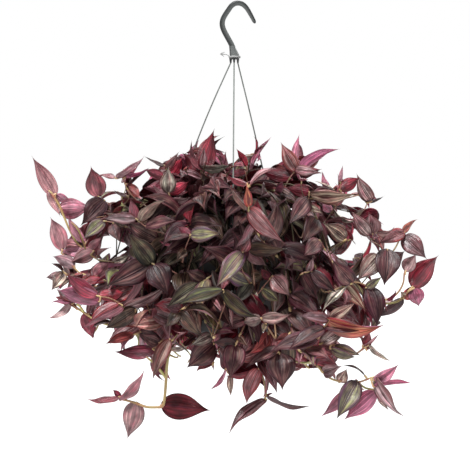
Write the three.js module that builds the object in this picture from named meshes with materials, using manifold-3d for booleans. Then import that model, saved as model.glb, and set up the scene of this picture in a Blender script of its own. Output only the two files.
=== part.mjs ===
// Potted tradescantia in a hanging pot.
// Millimetres, +Z up. The origin is the seat of the hook: the point inside the top of its arch that bears on a rail.
// A moulded hook carries a pot on three wires. The pot holds soil, and rooted stems with their leaves spill over its rim.
import * as THREE from "three";
import { mergeVertices } from "three/addons/utils/BufferGeometryUtils.js";
import { ConvexGeometry } from "three/addons/geometries/ConvexGeometry.js";
import Module from "manifold-3d";

// ---- driving dimensions (mm, degrees)
const GAP = 0.35; // clearance kept between pieces that touch
const HOOK_BAR = 6.5; // hook bar's thickness in the middle
const CROWN_X = -3.9; // crown axis
const CROWN_TOP_Z = -56.8;
const CROWN_BASE_Z = -67.8;
const FLANGE_BOTTOM_Z = -72.4;
const CROWN_R = 6.8;
const SOCKET_R = 5.2; // pitch radius of the three wire sockets
const SOCKET_BOTTOM_Z = -77.5;
const WIRE_D = 1.6;
const WIRE_AZIMUTHS = { wire_left: 158.6, wire_middle: -81.4, wire_right: 38.6 };
const WIRE_BOWS = { wire_left: 6, wire_middle: 0, wire_right: 2 };
const POT_X = -15; // pot axis
const RIM_Z = -296; // top of the pot's rim
const RIM_OUTER_R = 90;
const RIM_SKIRT = 10; // depth of the rim's outer skirt
const RIM_THICK = 3;
const WIRE_HOLE_R = 85; // pitch radius of the wire holes in the rim
const WIRE_HOLE_D = 4.6;
const POT_TOP_R = 80; // body under the rim
const POT_TAPER = 0.15; // loss of radius for each mm of depth
const POT_WALL = 2.2;
const POT_BOTTOM_Z = -426;
const POT_FLOOR = 2.6;
const DRAIN_D = 9;
const SOIL_Z = -309;
const SAUCER_BOTTOM_Z = -439;
const SAUCER_TOP_Z = -421;
const SAUCER_R = 71;
const ROOTED = 0.3; // how far a blade's base runs into its stem
const STEM_SIDES = 3;

const wasm = await Module();
wasm.setup();

const rad = THREE.MathUtils.degToRad;

// A closed geometry as a solid, with only its positions kept and merged.
function solid(geometry) {
  const bare = new THREE.BufferGeometry();
  const source = geometry.index ? geometry.toNonIndexed() : geometry;
  bare.setAttribute("position", source.getAttribute("position").clone());
  const merged = mergeVertices(bare, 1e-4);
  return new wasm.Manifold(
    new wasm.Mesh({
      numProp: 3,
      vertProperties: new Float32Array(merged.attributes.position.array),
      triVerts: new Uint32Array(merged.index.array),
    }),
  );
}

// A solid back as a geometry.
function geometryOf(manifold) {
  const m = manifold.getMesh();
  const g = new THREE.BufferGeometry();
  const v = new Float32Array((m.vertProperties.length / m.numProp) * 3);
  for (let i = 0; i < v.length / 3; i++)
    v.set(m.vertProperties.subarray(i * m.numProp, i * m.numProp + 3), i * 3);
  g.setAttribute("position", new THREE.BufferAttribute(v, 3));
  g.setIndex(new THREE.BufferAttribute(new Uint32Array(m.triVerts), 1));
  g.computeVertexNormals();
  return g;
}

// A closed tube through points, with its own radius at each: rings of SIDES corners in frames carried along without twist.
function tube(points, radii, sides, flat = 1) {
  const n = points.length;
  const tangents = points.map((p, i) =>
    new THREE.Vector3()
      .subVectors(points[Math.min(i + 1, n - 1)], points[Math.max(i - 1, 0)])
      .normalize(),
  );
  let u = new THREE.Vector3().crossVectors(tangents[0], new THREE.Vector3(0, 0, 1));
  if (u.length() < 0.1) u = new THREE.Vector3().crossVectors(tangents[0], new THREE.Vector3(1, 0, 0));
  u.normalize();
  const position = [];
  for (let i = 0; i < n; i++) {
    u.addScaledVector(tangents[i], -u.dot(tangents[i])).normalize();
    const w = new THREE.Vector3().crossVectors(tangents[i], u);
    for (let k = 0; k < sides; k++) {
      const a = (k / sides) * 2 * Math.PI;
      const p = points[i]
        .clone()
        .addScaledVector(u, radii[i] * Math.cos(a) * flat)
        .addScaledVector(w, radii[i] * Math.sin(a));
      position.push(p.x, p.y, p.z);
    }
  }
  position.push(...points[0].toArray(), ...points[n - 1].toArray());
  const index = [];
  for (let i = 0; i < n - 1; i++)
    for (let k = 0; k < sides; k++) {
      const a = i * sides + k;
      const b = i * sides + ((k + 1) % sides);
      index.push(a, b, b + sides, a, b + sides, a + sides);
    }
  for (let k = 0; k < sides; k++) {
    index.push(n * sides, (k + 1) % sides, k);
    index.push(n * sides + 1, (n - 1) * sides + k, (n - 1) * sides + ((k + 1) % sides));
  }
  const g = new THREE.BufferGeometry();
  g.setAttribute("position", new THREE.Float32BufferAttribute(position, 3));
  g.setIndex(index);
  return g;
}

function lathe(profile, segments, x = 0, y = 0) {
  const g = new THREE.LatheGeometry(
    profile.map(([r, z]) => new THREE.Vector2(r, z)),
    segments,
  );
  g.rotateX(Math.PI / 2); // the lathe turns about Y: stand its axis up along Z
  g.translate(x, y, 0);
  return g;
}

function upright(geometryRadiusTop, geometryRadiusBottom, zTop, zBottom, x, y, sides) {
  const g = new THREE.CylinderGeometry(geometryRadiusTop, geometryRadiusBottom, zTop - zBottom, sides);
  g.rotateX(Math.PI / 2);
  g.translate(x, y, (zTop + zBottom) / 2);
  return g;
}

const vec = (a) => new THREE.Vector3(a[0], a[1], a[2]);

// ---- materials
const plastic = (color, roughness) =>
  new THREE.MeshStandardMaterial({ color, roughness, metalness: 0 });
const HOOK_PLASTIC = plastic(0x3d4142, 0.5);
const TIE_PLASTIC = plastic(0xb9bcba, 0.55);
const POT_PLASTIC = plastic(0x2b2d30, 0.55);
const SAUCER_PLASTIC = plastic(0x2b2d30, 0.55);
const WIRE_STEEL = new THREE.MeshStandardMaterial({ color: 0x8b8f90, roughness: 0.4, metalness: 1 });
const SOIL = plastic(0x2c2019, 0.95);
const FOLIAGE = new THREE.MeshStandardMaterial({ color: 0x6a3a4a, roughness: 0.5, metalness: 0, side: THREE.DoubleSide });

const plant = new THREE.Group();
function add(name, geometry, material) {
  const mesh = new THREE.Mesh(geometry, material);
  mesh.name = name;
  plant.add(mesh);
  return mesh;
}

// ---- hook with its crown: a bar that tapers to its tip, a flared crown, a flange and three wire sockets
{
  // centre line of the bar from the tip, over the arch and down to the crown: x, z, thickness
  const line = [
    [22.4, -22.4, 4.4], [20.3, -18.6, 4.7], [18.0, -14.4, 5.0], [15.2, -9.4, 5.3], [12.4, -4.6, 5.6], [9.6, -0.9, 5.9],
    [5.6, 2.3, 6.2], [0.4, 3.4, 6.3], [-4.6, 2.2, 6.4], [-8.6, -0.9, 6.5], [-12.0, -5.6, 6.5], [-15.4, -10.6, 6.5],
    [-18.6, -16.0, 6.6], [-20.5, -22.0, 6.7], [-20.2, -28.4, 6.8], [-17.6, -35.2, 6.8], [-13.4, -43.0, 6.8],
    [-9.2, -50.6, 6.9], [-6.2, -57.0, 7.2],
  ];
  const scale = HOOK_BAR / 6.5;
  const bar = solid(
    tube(
      line.map(([x, z]) => new THREE.Vector3(x, 0, z)),
      line.map(([, , t]) => (t / 2) * scale),
      10,
    ),
  );
  const crown = solid(
    lathe(
      [[0, FLANGE_BOTTOM_Z], [CROWN_R - 0.4, FLANGE_BOTTOM_Z], [CROWN_R, FLANGE_BOTTOM_Z + 0.5], [CROWN_R, CROWN_BASE_Z],
       [CROWN_R - 0.6, CROWN_BASE_Z + 0.6], [4.6, -61.5], [3.3, CROWN_TOP_Z], [2.6, CROWN_TOP_Z + 2.2], [0, CROWN_TOP_Z + 2.8]],
      20, CROWN_X, 0,
    ),
  );
  let hook = bar.add(crown);
  for (const azimuth of Object.values(WIRE_AZIMUTHS)) {
    const a = rad(azimuth);
    hook = hook.add(
      solid(
        upright(2.0, 1.35, FLANGE_BOTTOM_Z + 1.5, SOCKET_BOTTOM_Z, CROWN_X + SOCKET_R * Math.cos(a), SOCKET_R * Math.sin(a), 10),
      ),
    );
  }
  add("hanger_hook", geometryOf(hook), HOOK_PLASTIC);
}

// ---- thin tie round the crown's flange, with a free tail that ends in a barb
{
  const ring = solid(
    lathe(
      [[CROWN_R + GAP, -70.6], [CROWN_R + GAP + 0.9, -70.6], [CROWN_R + GAP + 0.9, -68.4], [CROWN_R + GAP, -68.4], [CROWN_R + GAP, -70.6]],
      20, CROWN_X, 0,
    ),
  );
  const x0 = CROWN_X - CROWN_R - GAP - 0.5;
  const tail = solid(
    tube([vec([x0, 0, -69.4]), vec([x0 - 1.2, 0, -67.2]), vec([x0 - 4.0, 0, -66.0]), vec([x0 - 9.4, 0, -65.4]), vec([x0 - 12.2, 0, -65.2])], [0.55, 0.55, 0.5, 0.6, 0.2], 6),
  );
  const barbUp = solid(tube([vec([x0 - 11.2, 0, -65.3]), vec([x0 - 8.0, 0, -63.4]), vec([x0 - 5.6, 0, -63.2])], [0.6, 0.6, 0.25], 6));
  const barbDown = solid(tube([vec([x0 - 11.2, 0, -65.3]), vec([x0 - 8.4, 0, -67.4]), vec([x0 - 6.6, 0, -69.0])], [0.6, 0.6, 0.25], 6));
  add("crown_tie", geometryOf(ring.add(tail).add(barbUp).add(barbDown)), TIE_PLASTIC);
}

// ---- three wires from the crown's sockets through the rim's holes, each turned along under the rim
for (const [name, azimuth] of Object.entries(WIRE_AZIMUTHS)) {
  const a = rad(azimuth);
  const out = new THREE.Vector3(Math.cos(a), Math.sin(a), 0);
  const along = new THREE.Vector3(-Math.sin(a), Math.cos(a), 0);
  const top = new THREE.Vector3(CROWN_X, 0, SOCKET_BOTTOM_Z - GAP).addScaledVector(out, SOCKET_R);
  const hole = new THREE.Vector3(POT_X, 0, RIM_Z - RIM_THICK / 2).addScaledVector(out, WIRE_HOLE_R);
  const line = [];
  for (let i = 0; i <= 7; i++) {
    const t = i / 7;
    line.push(top.clone().lerp(hole, t).addScaledVector(out, WIRE_BOWS[name] * 4 * t * (1 - t)));
  }
  for (const [s, z] of [[0, -3.2], [1.0, -5.0], [3.0, -5.8], [6.5, -5.8]])
    line.push(new THREE.Vector3(hole.x, hole.y, RIM_Z + z).addScaledVector(along, s));
  add(name, geometryOf(solid(tube(line, line.map(() => WIRE_D / 2), 6))), WIRE_STEEL);
}

// ---- pot: tapered wall, rolled rim with three wire holes, floor with drain holes
const wallR = (z) => POT_TOP_R - (RIM_Z - RIM_THICK - z) * POT_TAPER;
{
  const zr = RIM_Z - RIM_THICK;
  const inner = (z) => wallR(z) - POT_WALL;
  const body = solid(
    lathe(
      [
        [0, POT_BOTTOM_Z], [wallR(POT_BOTTOM_Z) - 1.5, POT_BOTTOM_Z], [wallR(POT_BOTTOM_Z), POT_BOTTOM_Z + 1.5],
        [wallR(zr), zr], [RIM_OUTER_R - 2, zr], [RIM_OUTER_R - 2, RIM_Z - RIM_SKIRT], [RIM_OUTER_R - 0.4, RIM_Z - RIM_SKIRT],
        [RIM_OUTER_R, RIM_Z - 2], [RIM_OUTER_R - 1.5, RIM_Z], [inner(zr) + 0.8, RIM_Z], [inner(zr), zr],
        [inner(POT_BOTTOM_Z + POT_FLOOR), POT_BOTTOM_Z + POT_FLOOR], [0, POT_BOTTOM_Z + POT_FLOOR],
      ],
      36, POT_X, 0,
    ),
  );
  let pot = body;
  for (const azimuth of Object.values(WIRE_AZIMUTHS)) {
    const a = rad(azimuth);
    pot = pot.subtract(
      solid(upright(WIRE_HOLE_D / 2, WIRE_HOLE_D / 2, RIM_Z + 2, zr - 2, POT_X + WIRE_HOLE_R * Math.cos(a), WIRE_HOLE_R * Math.sin(a), 12)),
    );
  }
  for (const [r, azimuth] of [[0, 0], [36, 30], [36, 120], [36, 210], [36, 300]]) {
    const a = rad(azimuth);
    pot = pot.subtract(
      solid(upright(DRAIN_D / 2, DRAIN_D / 2, POT_BOTTOM_Z + POT_FLOOR + 2, POT_BOTTOM_Z - 2, POT_X + r * Math.cos(a), r * Math.sin(a), 12)),
    );
  }
  add("pot", geometryOf(pot), POT_PLASTIC);
}

// ---- drip saucer: a dish pushed on round the foot of the pot
{
  const z = SAUCER_BOTTOM_Z;
  const grip = wallR(SAUCER_TOP_Z) + GAP + 0.2;
  add(
    "drip_saucer",
    geometryOf(
      solid(
        lathe(
          [
            [0, z], [SAUCER_R - 8, z], [SAUCER_R - 4.5, z + 1.5], [SAUCER_R, SAUCER_TOP_Z - 1], [SAUCER_R - 0.4, SAUCER_TOP_Z],
            [grip, SAUCER_TOP_Z], [grip, SAUCER_TOP_Z - 2.2], [SAUCER_R - 2.4, SAUCER_TOP_Z - 3.4], [SAUCER_R - 6.4, z + 4.4],
            [SAUCER_R - 9, z + 2.6], [52, z + 2.6], [52, POT_BOTTOM_Z - GAP], [48, POT_BOTTOM_Z - GAP], [48, z + 2.6], [0, z + 2.6],
          ],
          36, POT_X, 0,
        ),
      ),
    ),
    SAUCER_PLASTIC,
  );
}

// ---- potting soil: fills the pot to a little under the rim
{
  const fit = (z) => wallR(z) - POT_WALL - GAP;
  const bottom = POT_BOTTOM_Z + POT_FLOOR + GAP;
  add(
    "potting_soil",
    geometryOf(
      solid(lathe([[0, bottom], [fit(bottom), bottom], [fit(SOIL_Z), SOIL_Z], [0, SOIL_Z]], 36, POT_X, 0)),
    ),
    SOIL,
  );
}

// ---- shoots. Each is one rooted stem with its side shoots and leaves, grown as one piece.
// stems: x, y, z, radius at each point. fine and plain: its leaves, with two cross-sections or one:
// base, tip, direction of the upper face, width, arch, fold of the blade in radians.
const SHOOTS = [
{ name: "shoot_right_bottom", stems: [[-1.1,-11.9,-308,2.1,3.5,-17,-281.8,2.07,18.3,-39.9,-270.7,2.04,34.2,-64.4,-266.3,2,49.2,-86.8,-275.6,1.97,57.2,-98.9,-301.1,1.94,62,-106.3,-329.2,1.91,65.8,-111.8,-358.1,1.88,69.2,-116.1,-387.1,1.85,72.8,-119.4,-416.3,1.81,77.5,-121.6,-445.4,1.78,82,-122,-459.9,1.75,95.3,-117,-471,1.65,107.4,-111.8,-483.2,1.55,120,-108.9,-495,1.45,137.2,-106.3,-499.5,1.35,155.1,-104.4,-500.4,1.25,172,-103,-494.8,1.15],[155.1,-104.4,-500.36,1.6,159.3,-94.2,-503.6,1.5,166.3,-92,-508.6,1.4,182.1,-90,-511.4,1.15]],
  fine: [[147.2,-105.2,-500,128.3,-121.2,-542.2,0.13,-0.95,0.3,23.3,0.08,0.17],
   [143.4,-105.6,-499.8,110.9,-107.6,-540.9,0.35,0.88,-0.32,22,0.06,0.17],
   [138.2,-106.2,-499.5,142,-106.2,-481.6,0,-1,0,12.9,0.06,0.34],
   [172,-103,-494.8,133.2,-103,-479.3,0.34,-0.4,0.85,9.7,0.16,0.17],
   [172,-103,-494.8,203.6,-111,-482.6,-0.12,-0.95,-0.3,14.6,0.12,0.34],
   [172,-103,-494.8,226,-107,-497.1,0.07,0.45,0.89,22.8,0.05,0.34],
   [172,-103,-494.8,208.6,-113,-546.9,-0.78,-0.43,-0.46,27.1,0.06,0.17],
   [108.1,-111.6,-483.9,128,-125.6,-475.1,-0.5,-0.84,-0.22,18.1,0.08,0.34],
   [179.7,-90.3,-511,143.8,-98.3,-549.6,0.02,0.98,-0.22,22.4,0.08,0.34],
   [182.1,-90,-511.4,192,-96,-538.2,-0.55,-0.83,-0.02,12.2,0.08,0.17]],
  plain: [] },
{ name: "shoot_right_front", stems: [[-25.1,-23.9,-308,2.1,-18.6,-28.1,-280,2.07,-3,-47,-260.7,2.04,14.2,-68.7,-246.6,2.01,32.1,-92.8,-245.8,1.98,42.7,-110.1,-268.9,1.95,49.1,-122.5,-296.8,1.93,54.2,-133.2,-325.6,1.9,58.7,-143,-354.9,1.87,63,-152.4,-384.3,1.84,67.6,-161.8,-413.7,1.81,73.3,-172.1,-442.5,1.78,79.1,-179.6,-455.9,1.75,92.7,-190.1,-446.7,1.45,104.8,-195.3,-431.5,1.3,114,-199,-414.1,1.15],[-3,-47,-260.74,1.5,-8.1,-28.9,-237.5,1.27,-6.4,-20.4,-218.2,1.05]],
  fine: [[113.7,-198.9,-414.6,146.9,-208.9,-392.6,0,-0.91,-0.42,17.2,0.06,0.17],
   [113,-198.6,-416,180.8,-202.6,-423.8,-0.12,-0.73,-0.67,28.7,0.08,0.34],
   [109.1,-197,-423.4,167.4,-199,-431.5,0.07,-0.7,0.71,24.8,0.06,0.17],
   [108.3,-196.7,-424.9,60.3,-208.7,-453.2,-0.22,-0.71,0.67,23.9,0.06,0.17],
   [113.7,-198.9,-414.6,74,-206.9,-408.8,0.24,-0.85,0.47,17.2,0.06,0.17],
   [99.5,-193,-438.2,37,-197,-455.2,-0.09,-0.85,0.53,27.3,0.06,0.17]],
  plain: [[-6.5,-21,-219.5,10.3,-10.6,-206.5,-0.57,-0.09,0.82,6.6,0.07,0.34],
   [-7.9,-28.1,-235.6,31.8,-10.3,-233.6,0.31,-0.76,0.58,22,0.09,0.17]] },
{ name: "shoot_right_low_b", stems: [[-2,6.8,-308,2.1,-1.9,4.7,-281.9,2.07,9.8,-18.3,-268.7,2.05,22.4,-42.8,-259.5,2.02,35.7,-68,-253.4,1.99,49.6,-93.4,-252.6,1.97,62.4,-114,-266.5,1.94,68.6,-122.3,-293.6,1.91,72.4,-126.4,-322.1,1.88,75.4,-128.5,-351,1.86,78.2,-129.5,-379.9,1.83,81.4,-129.4,-408.8,1.8,86.3,-128.7,-437.4,1.78,92,-128,-450.6,1.75,112.2,-124.1,-448.8,1.6,131,-119.6,-453.4,1.45,148.3,-115.7,-463.8,1.3,164.9,-112,-454.1,1.15],[9.8,-18.3,-268.69,1.5,-2,-17.9,-252,1.27,-12.1,-18.1,-232.2,1.05]],
  fine: [[122.4,-121.6,-451.3,151,-127.6,-462.1,-0.24,-0.96,-0.1,13.1,0.1,0.17],
   [119.3,-122.4,-450.5,151.8,-134.4,-466.8,-0.51,-0.68,-0.52,16.1,0.06,0.17],
   [164.9,-112,-454.1,164.5,-118,-433.2,-0.01,0.96,0.28,14.2,0.05,0.34],
   [164.9,-112,-454.1,199.4,-116,-475.8,-0.52,-0.4,-0.76,16.1,0.05,0.17],
   [164.9,-112,-454.1,182.9,-112,-438.7,0.6,-0.4,-0.7,8.1,0.05,0.34]],
  plain: [[-11.4,-18.1,-233.6,-23.1,-23.9,-214.7,0.82,0.15,0.55,11.7,0.13,0.17],
   [-4.2,-17.9,-247.7,-25.7,-45.8,-250.3,0.32,-0.33,0.89,10.6,0.07,0.34]] },
{ name: "shoot_bottom_center", stems: [[23,-48.9,-308,2.1,28.5,-49.3,-281.6,2.06,43.2,-65.3,-261.7,2.03,56.6,-87.4,-259,2,57.1,-100.9,-285.1,1.96,55.2,-110.8,-312.9,1.93,52.4,-119.4,-341,1.89,48.9,-127.3,-369.2,1.85,45.1,-134.8,-397.6,1.82,40.7,-142.1,-425.9,1.78,37.9,-146,-440.6,1.75,31,-150.5,-458.9,1.6,28.9,-152,-478.7,1.45,34,-150.7,-498,1.3,35.3,-150,-517.8,1.15],[48.9,-127.3,-369.24,1.5,47.1,-128.4,-407.9,1.27,50.8,-129.3,-438.6,1.05],[48.9,-127.3,-369.24,1.5,33.7,-130.9,-394.8,1.35,18.6,-134.8,-418.9,1.2,12.1,-150.9,-433.3,1.05]],
  fine: [[35.3,-150,-517.8,-17.9,-162,-558.4,-0.48,-0.44,0.76,28.6,0.06,0.17],
   [35.3,-150,-517.8,88.4,-156,-532.5,-0.29,-0.4,-0.87,19,0.08,0.17],
   [35,-150.1,-514,45.4,-150.1,-507.7,-0.41,0.62,0.67,5.1,0.05,0.34],
   [29,-152,-478.3,16.4,-138,-522.7,-0.4,-0.9,-0.17,20.2,0.06,0.34],
   [29.1,-151.9,-477.1,-5.3,-133.9,-489.9,0.52,0.53,-0.67,17.2,0.06,0.34]],
  plain: [[50.6,-129.2,-437.1,51.7,-138.5,-463.3,0.2,-0.92,0.33,11.5,0.07,0.16],
   [48.6,-128.7,-420.6,66.7,-106.8,-449.8,0.77,-0.64,0,19.6,0.1,0.19],
   [47.2,-128.3,-405.8,25.4,-144.9,-443.7,-0.65,-0.49,0.59,20.1,0.08,0.17],
   [12.6,-149.9,-432.4,-1.3,-166.8,-452.5,-0.06,-0.74,0.67,8.5,0.12,0.34],
   [16.7,-139.6,-423.2,30.8,-162.5,-454,0.45,-0.61,0.66,20,0.09,0.2],
   [21.8,-134,-413.8,-20.2,-119.8,-438,-0.52,-0.07,0.85,24.4,0.08,0.13],
   [30.9,-131.6,-399.2,36.7,-153.1,-435.9,-0.21,-0.86,0.47,21,0.1,0.2]] },
{ name: "shoot_front_green_b", stems: [[10.2,-57,-308,2.1,8.6,-62.4,-281,2.06,13.5,-92.3,-273.9,2.02,19.6,-122.2,-279,1.98,26.2,-138.6,-304.3,1.94,32.1,-148.1,-333.6,1.91,37.6,-155.4,-363.5,1.87,42.6,-162,-393.7,1.83,46.8,-169.2,-424,1.79,47.4,-176,-439,1.75,38.7,-187.2,-426.8,1.45,29.5,-196,-413,1.15],[42.6,-162,-393.75,1.5,44.8,-154.2,-375.4,1.41,41,-133.6,-346.3,1.32,33.2,-111.7,-314.8,1.23,24,-100,-289.2,1.14,15.5,-109.9,-277.8,1.05]],
  fine: [[29.5,-196,-413,67.8,-206,-407.6,-0.2,-0.93,-0.29,16.8,0.06,0.17],
   [29.5,-196,-413,5.9,-204,-418.8,-0.3,0.95,-0.07,17.4,0.08,0.34],
   [34.6,-191.1,-420.7,29.5,-201.1,-432.6,0.24,-0.79,0.56,10,0.06,0.34]],
  plain: [[16.2,-109,-278.8,3.8,-127.4,-270.6,0.8,-0.31,0.52,6.9,0.1,0.34],
   [23.9,-100.1,-289.1,10.5,-112.6,-260.2,-0.42,-0.75,-0.52,8.7,0.12,0.34],
   [28.3,-105.5,-301.2,-8.9,-84.1,-282.9,0.16,-0.46,0.87,23.6,0.08,0.2],
   [33.5,-112.6,-316.1,25.9,-73.3,-282.9,0.21,-0.6,0.77,21.7,0.06,0.16],
   [37.4,-123.6,-331.9,-7.8,-115.2,-317.8,0.13,-0.6,0.79,21.6,0.1,0.22],
   [41,-134.1,-347,33.1,-99.5,-370.8,-0.56,-0.55,-0.62,20,0.07,0.14]] },
{ name: "shoot_front_green", stems: [[0.1,-27.4,-308,2.1,-1.5,-31.5,-279.7,2.06,-8,-60.1,-271.6,2.03,-14.4,-89.9,-272.5,2,-19.7,-115.7,-286.8,1.96,-23.1,-132.1,-312.4,1.93,-25.6,-144.9,-340.1,1.89,-27.8,-156.4,-368.4,1.85,-29.5,-167.4,-396.9,1.82,-30.7,-179,-425.3,1.78,-30.3,-188,-438.3,1.75,-25.6,-196.3,-424.3,1.6,-21.1,-202.9,-409.5,1.45,-15.8,-207.2,-394,1.3,-17.7,-210,-377.7,1.15],[-30.7,-179,-425.26,1.6,-42,-166.5,-404.7,1.5,-53.3,-162,-391.8,1.4,-62.5,-169.5,-398.5,1.45,-73.1,-175,-405.1,1.15]],
  fine: [[-17.7,-210,-377.7,-76.7,-220,-397.1,-0.14,-0.65,0.75,26.4,0.06,0.17],
   [-17.7,-210,-377.7,28,-220,-411.9,-0.49,-0.75,-0.44,24.3,0.1,0.17],
   [-16.3,-207.9,-390.1,10.8,-215.9,-407.1,0.32,0.94,0.07,12.4,0.02,0.17],
   [-73.1,-175,-405.1,-44.1,-183,-437.3,-0.35,-0.93,-0.08,18.5,0.08,0.17],
   [-71.3,-174.1,-404,-95.4,-182.1,-394.8,0.28,-0.96,-0.11,13.8,0.08,0.17],
   [-73.1,-175,-405.1,-91.7,-181,-426.2,0.14,-0.98,0.16,16.3,0.08,0.17]],
  plain: [] },
{ name: "shoot_bottom_left_side", stems: [[-33,-31.6,-308,2.1,-30.8,-37.8,-282.4,2.06,-41.6,-61.8,-268.6,2.03,-54.1,-87.4,-260.4,2,-66.3,-108.7,-271,1.96,-70,-111.6,-300.2,1.93,-71.6,-110.3,-329.8,1.89,-72.7,-107.3,-359.3,1.85,-74.1,-103.7,-388.8,1.82,-76.8,-99.7,-418.1,1.78,-80.6,-98,-432.9,1.75,-96,-97.1,-444.7,1.45,-110.5,-96,-457.7,1.15],[-71.6,-110.3,-329.81,1.6,-75.3,-102.2,-358.5,1.55,-79.9,-94.6,-386.9,1.5,-88.5,-88.8,-410.7,1.45,-104.4,-86,-425.7,1.4,-119.7,-87,-434.1,1.45,-135.8,-85,-438.8,1.15],[-41.6,-61.8,-268.63,1.5,-58.9,-70.5,-255.8,1.27,-70.6,-85.1,-244.4,1.05]],
  fine: [[-110.5,-96,-457.7,-158.2,-101,-461.3,-0.06,0.89,-0.44,20.2,0.1,0.17],
   [-101.5,-96.7,-449.7,-126.9,-104.7,-436.5,0.24,-0.96,-0.12,18.2,0.08,0.17],
   [-135.8,-85,-438.8,-173.2,-91,-452.8,0.07,0.84,-0.54,17,-0.1,0.17],
   [-127.3,-86,-436.3,-91.1,-94,-453.9,-0.18,-0.98,0.09,18.2,0.08,0.17],
   [-134.6,-85.1,-438.4,-151.3,-87.1,-458.2,-0.65,-0.48,0.6,10.9,0.05,0.34]],
  plain: [[-69.8,-84.1,-245.2,-87.6,-103.3,-239.6,-0.17,0.42,0.89,7.2,0.08,0.34],
   [-62.9,-75.6,-251.9,-82.8,-103.9,-267.1,-0.02,-0.46,0.89,18,0.08,0.2]] },
{ name: "shoot_bottom_right_big", stems: [[-9.5,-36.4,-308,2.1,-0.2,-41.1,-282.1,2.06,16.1,-61.5,-267.5,2.03,33.1,-85,-260.7,2,46.5,-105.5,-275.6,1.96,53.9,-118.4,-301.5,1.93,59.3,-128.8,-329.1,1.89,63.4,-138,-357.4,1.85,66.6,-146.6,-386,1.82,68.4,-155.1,-414.7,1.78,68,-160,-429.7,1.75,60.7,-165.8,-444,1.45,48.8,-169,-455.7,1.15]],
  fine: [[48.8,-169,-455.7,54.8,-183,-502.4,-0.04,-0.96,0.28,31.5,0.08,0.17],
   [53.2,-167.8,-451.3,8.5,-171.8,-478.2,-0.38,-0.57,0.72,22,0.06,0.17],
   [61.3,-165.2,-442.6,60.9,-143.2,-496.8,0.63,-0.71,-0.3,24.5,0.08,0.17],
   [64.4,-162.8,-436.7,42.4,-174.8,-444,0.44,-0.89,0.15,13.9,0.06,0.34]],
  plain: [] },
{ name: "shoot_bottom_left_trail", stems: [[-48.4,-13.2,-308,2.1,-53.6,-18.1,-282.3,2.06,-58,-42.9,-267.8,2.03,-62,-70.4,-259.5,2,-65.3,-93.9,-271.4,1.96,-65.4,-102.5,-299.1,1.93,-64.9,-107,-327.8,1.89,-64.4,-109.6,-356.8,1.85,-64.3,-111.2,-385.8,1.82,-65.2,-111.9,-414.9,1.78,-67.2,-112,-429.6,1.75,-77.2,-109.1,-444.7,1.68,-87.4,-106.9,-459.7,1.62,-91.3,-105.7,-477.4,1.55,-92.2,-104.9,-495.6,1.48,-93.7,-104.2,-513.8,1.42,-99.6,-103.2,-531,1.35,-117,-102,-532.4,1.28,-134.3,-100.6,-526.6,1.22,-151.8,-100,-522.2,1.15],[-67.2,-112,-429.63,1.6,-70.6,-120.9,-430.6,1.5,-74.4,-130,-433.8,1.4,-79.7,-128.4,-440.4,1.45,-86.1,-126,-445.6,1.15]],
  fine: [[-98.2,-103.4,-526.8,-40.2,-109.4,-536.9,0.1,0.99,-0.02,32.4,0.1,0.17],
   [-125.3,-101.3,-529.6,-130.6,-109.3,-570.5,-0.02,0.98,-0.19,32.4,0.08,0.17],
   [-144.2,-100.2,-524.1,-112.7,-104.2,-492.1,-0.48,0.68,0.55,18.9,-0.22,0.34],
   [-150.9,-100,-522.5,-162,-103,-509,-0.11,0.99,0.13,9.1,0.05,0.34],
   [-151.8,-100,-522.2,-201,-100,-520.9,-0.02,0.44,-0.9,20.7,0.08,0.17],
   [-86.5,-107,-458.4,-62.2,-109,-455.6,0.02,-0.75,-0.67,10.4,0.05,0.34],
   [-86.1,-126,-445.6,-104.7,-140,-494.5,0.09,-0.97,0.24,23.1,0.1,0.17],
   [-84.7,-126.5,-444.4,-63,-128.5,-465.9,-0.66,-0.4,-0.63,9.6,-0.1,0.17]],
  plain: [] },
{ name: "shoot_left_low", stems: [[-19.2,-50.9,-308,2.1,-19.2,-51.6,-281.5,2.06,-34,-74,-272.1,2.01,-49.8,-97.6,-272.7,1.97,-58.2,-111.3,-294.6,1.93,-60.1,-116.5,-322.7,1.88,-60.8,-119.4,-351.1,1.84,-61.5,-121.1,-379.7,1.79,-68.3,-122,-421.4,1.75,-85.7,-119.3,-421.8,1.66,-103.1,-116.4,-420.6,1.58,-120.2,-113.8,-417.4,1.49,-136.9,-111.8,-412.1,1.41,-149.6,-109.5,-400.2,1.32,-164.1,-106.7,-391.8,1.24,-181.3,-104,-388.6,1.15]],
  fine: [[-181.3,-104,-388.6,-221.4,-118,-358.6,-0.47,0.86,-0.23,21.9,0.1,0.17],
   [-181.3,-104,-388.6,-231.5,-120,-385.5,-0.26,0.89,0.38,22.2,0.08,0.34],
   [-180,-104.2,-388.9,-145.5,-118.2,-383,0.37,0.93,0.06,18.1,0.1,0.34],
   [-148.4,-109.7,-401.3,-201.6,-139.7,-432.1,0.31,0.36,-0.88,25.8,-0.06,0.17],
   [-149.1,-109.6,-400.7,-119.3,-127.6,-328.9,0.88,0.39,-0.27,19.4,0.1,0.34],
   [-147.1,-110,-402.6,-88.4,-134,-371,0.25,-0.49,-0.84,29.8,0.06,0.17],
   [-135.9,-111.9,-412.4,-174.7,-105.9,-427.3,-0.13,-0.99,-0.05,23.2,0.06,0.17]],
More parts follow.
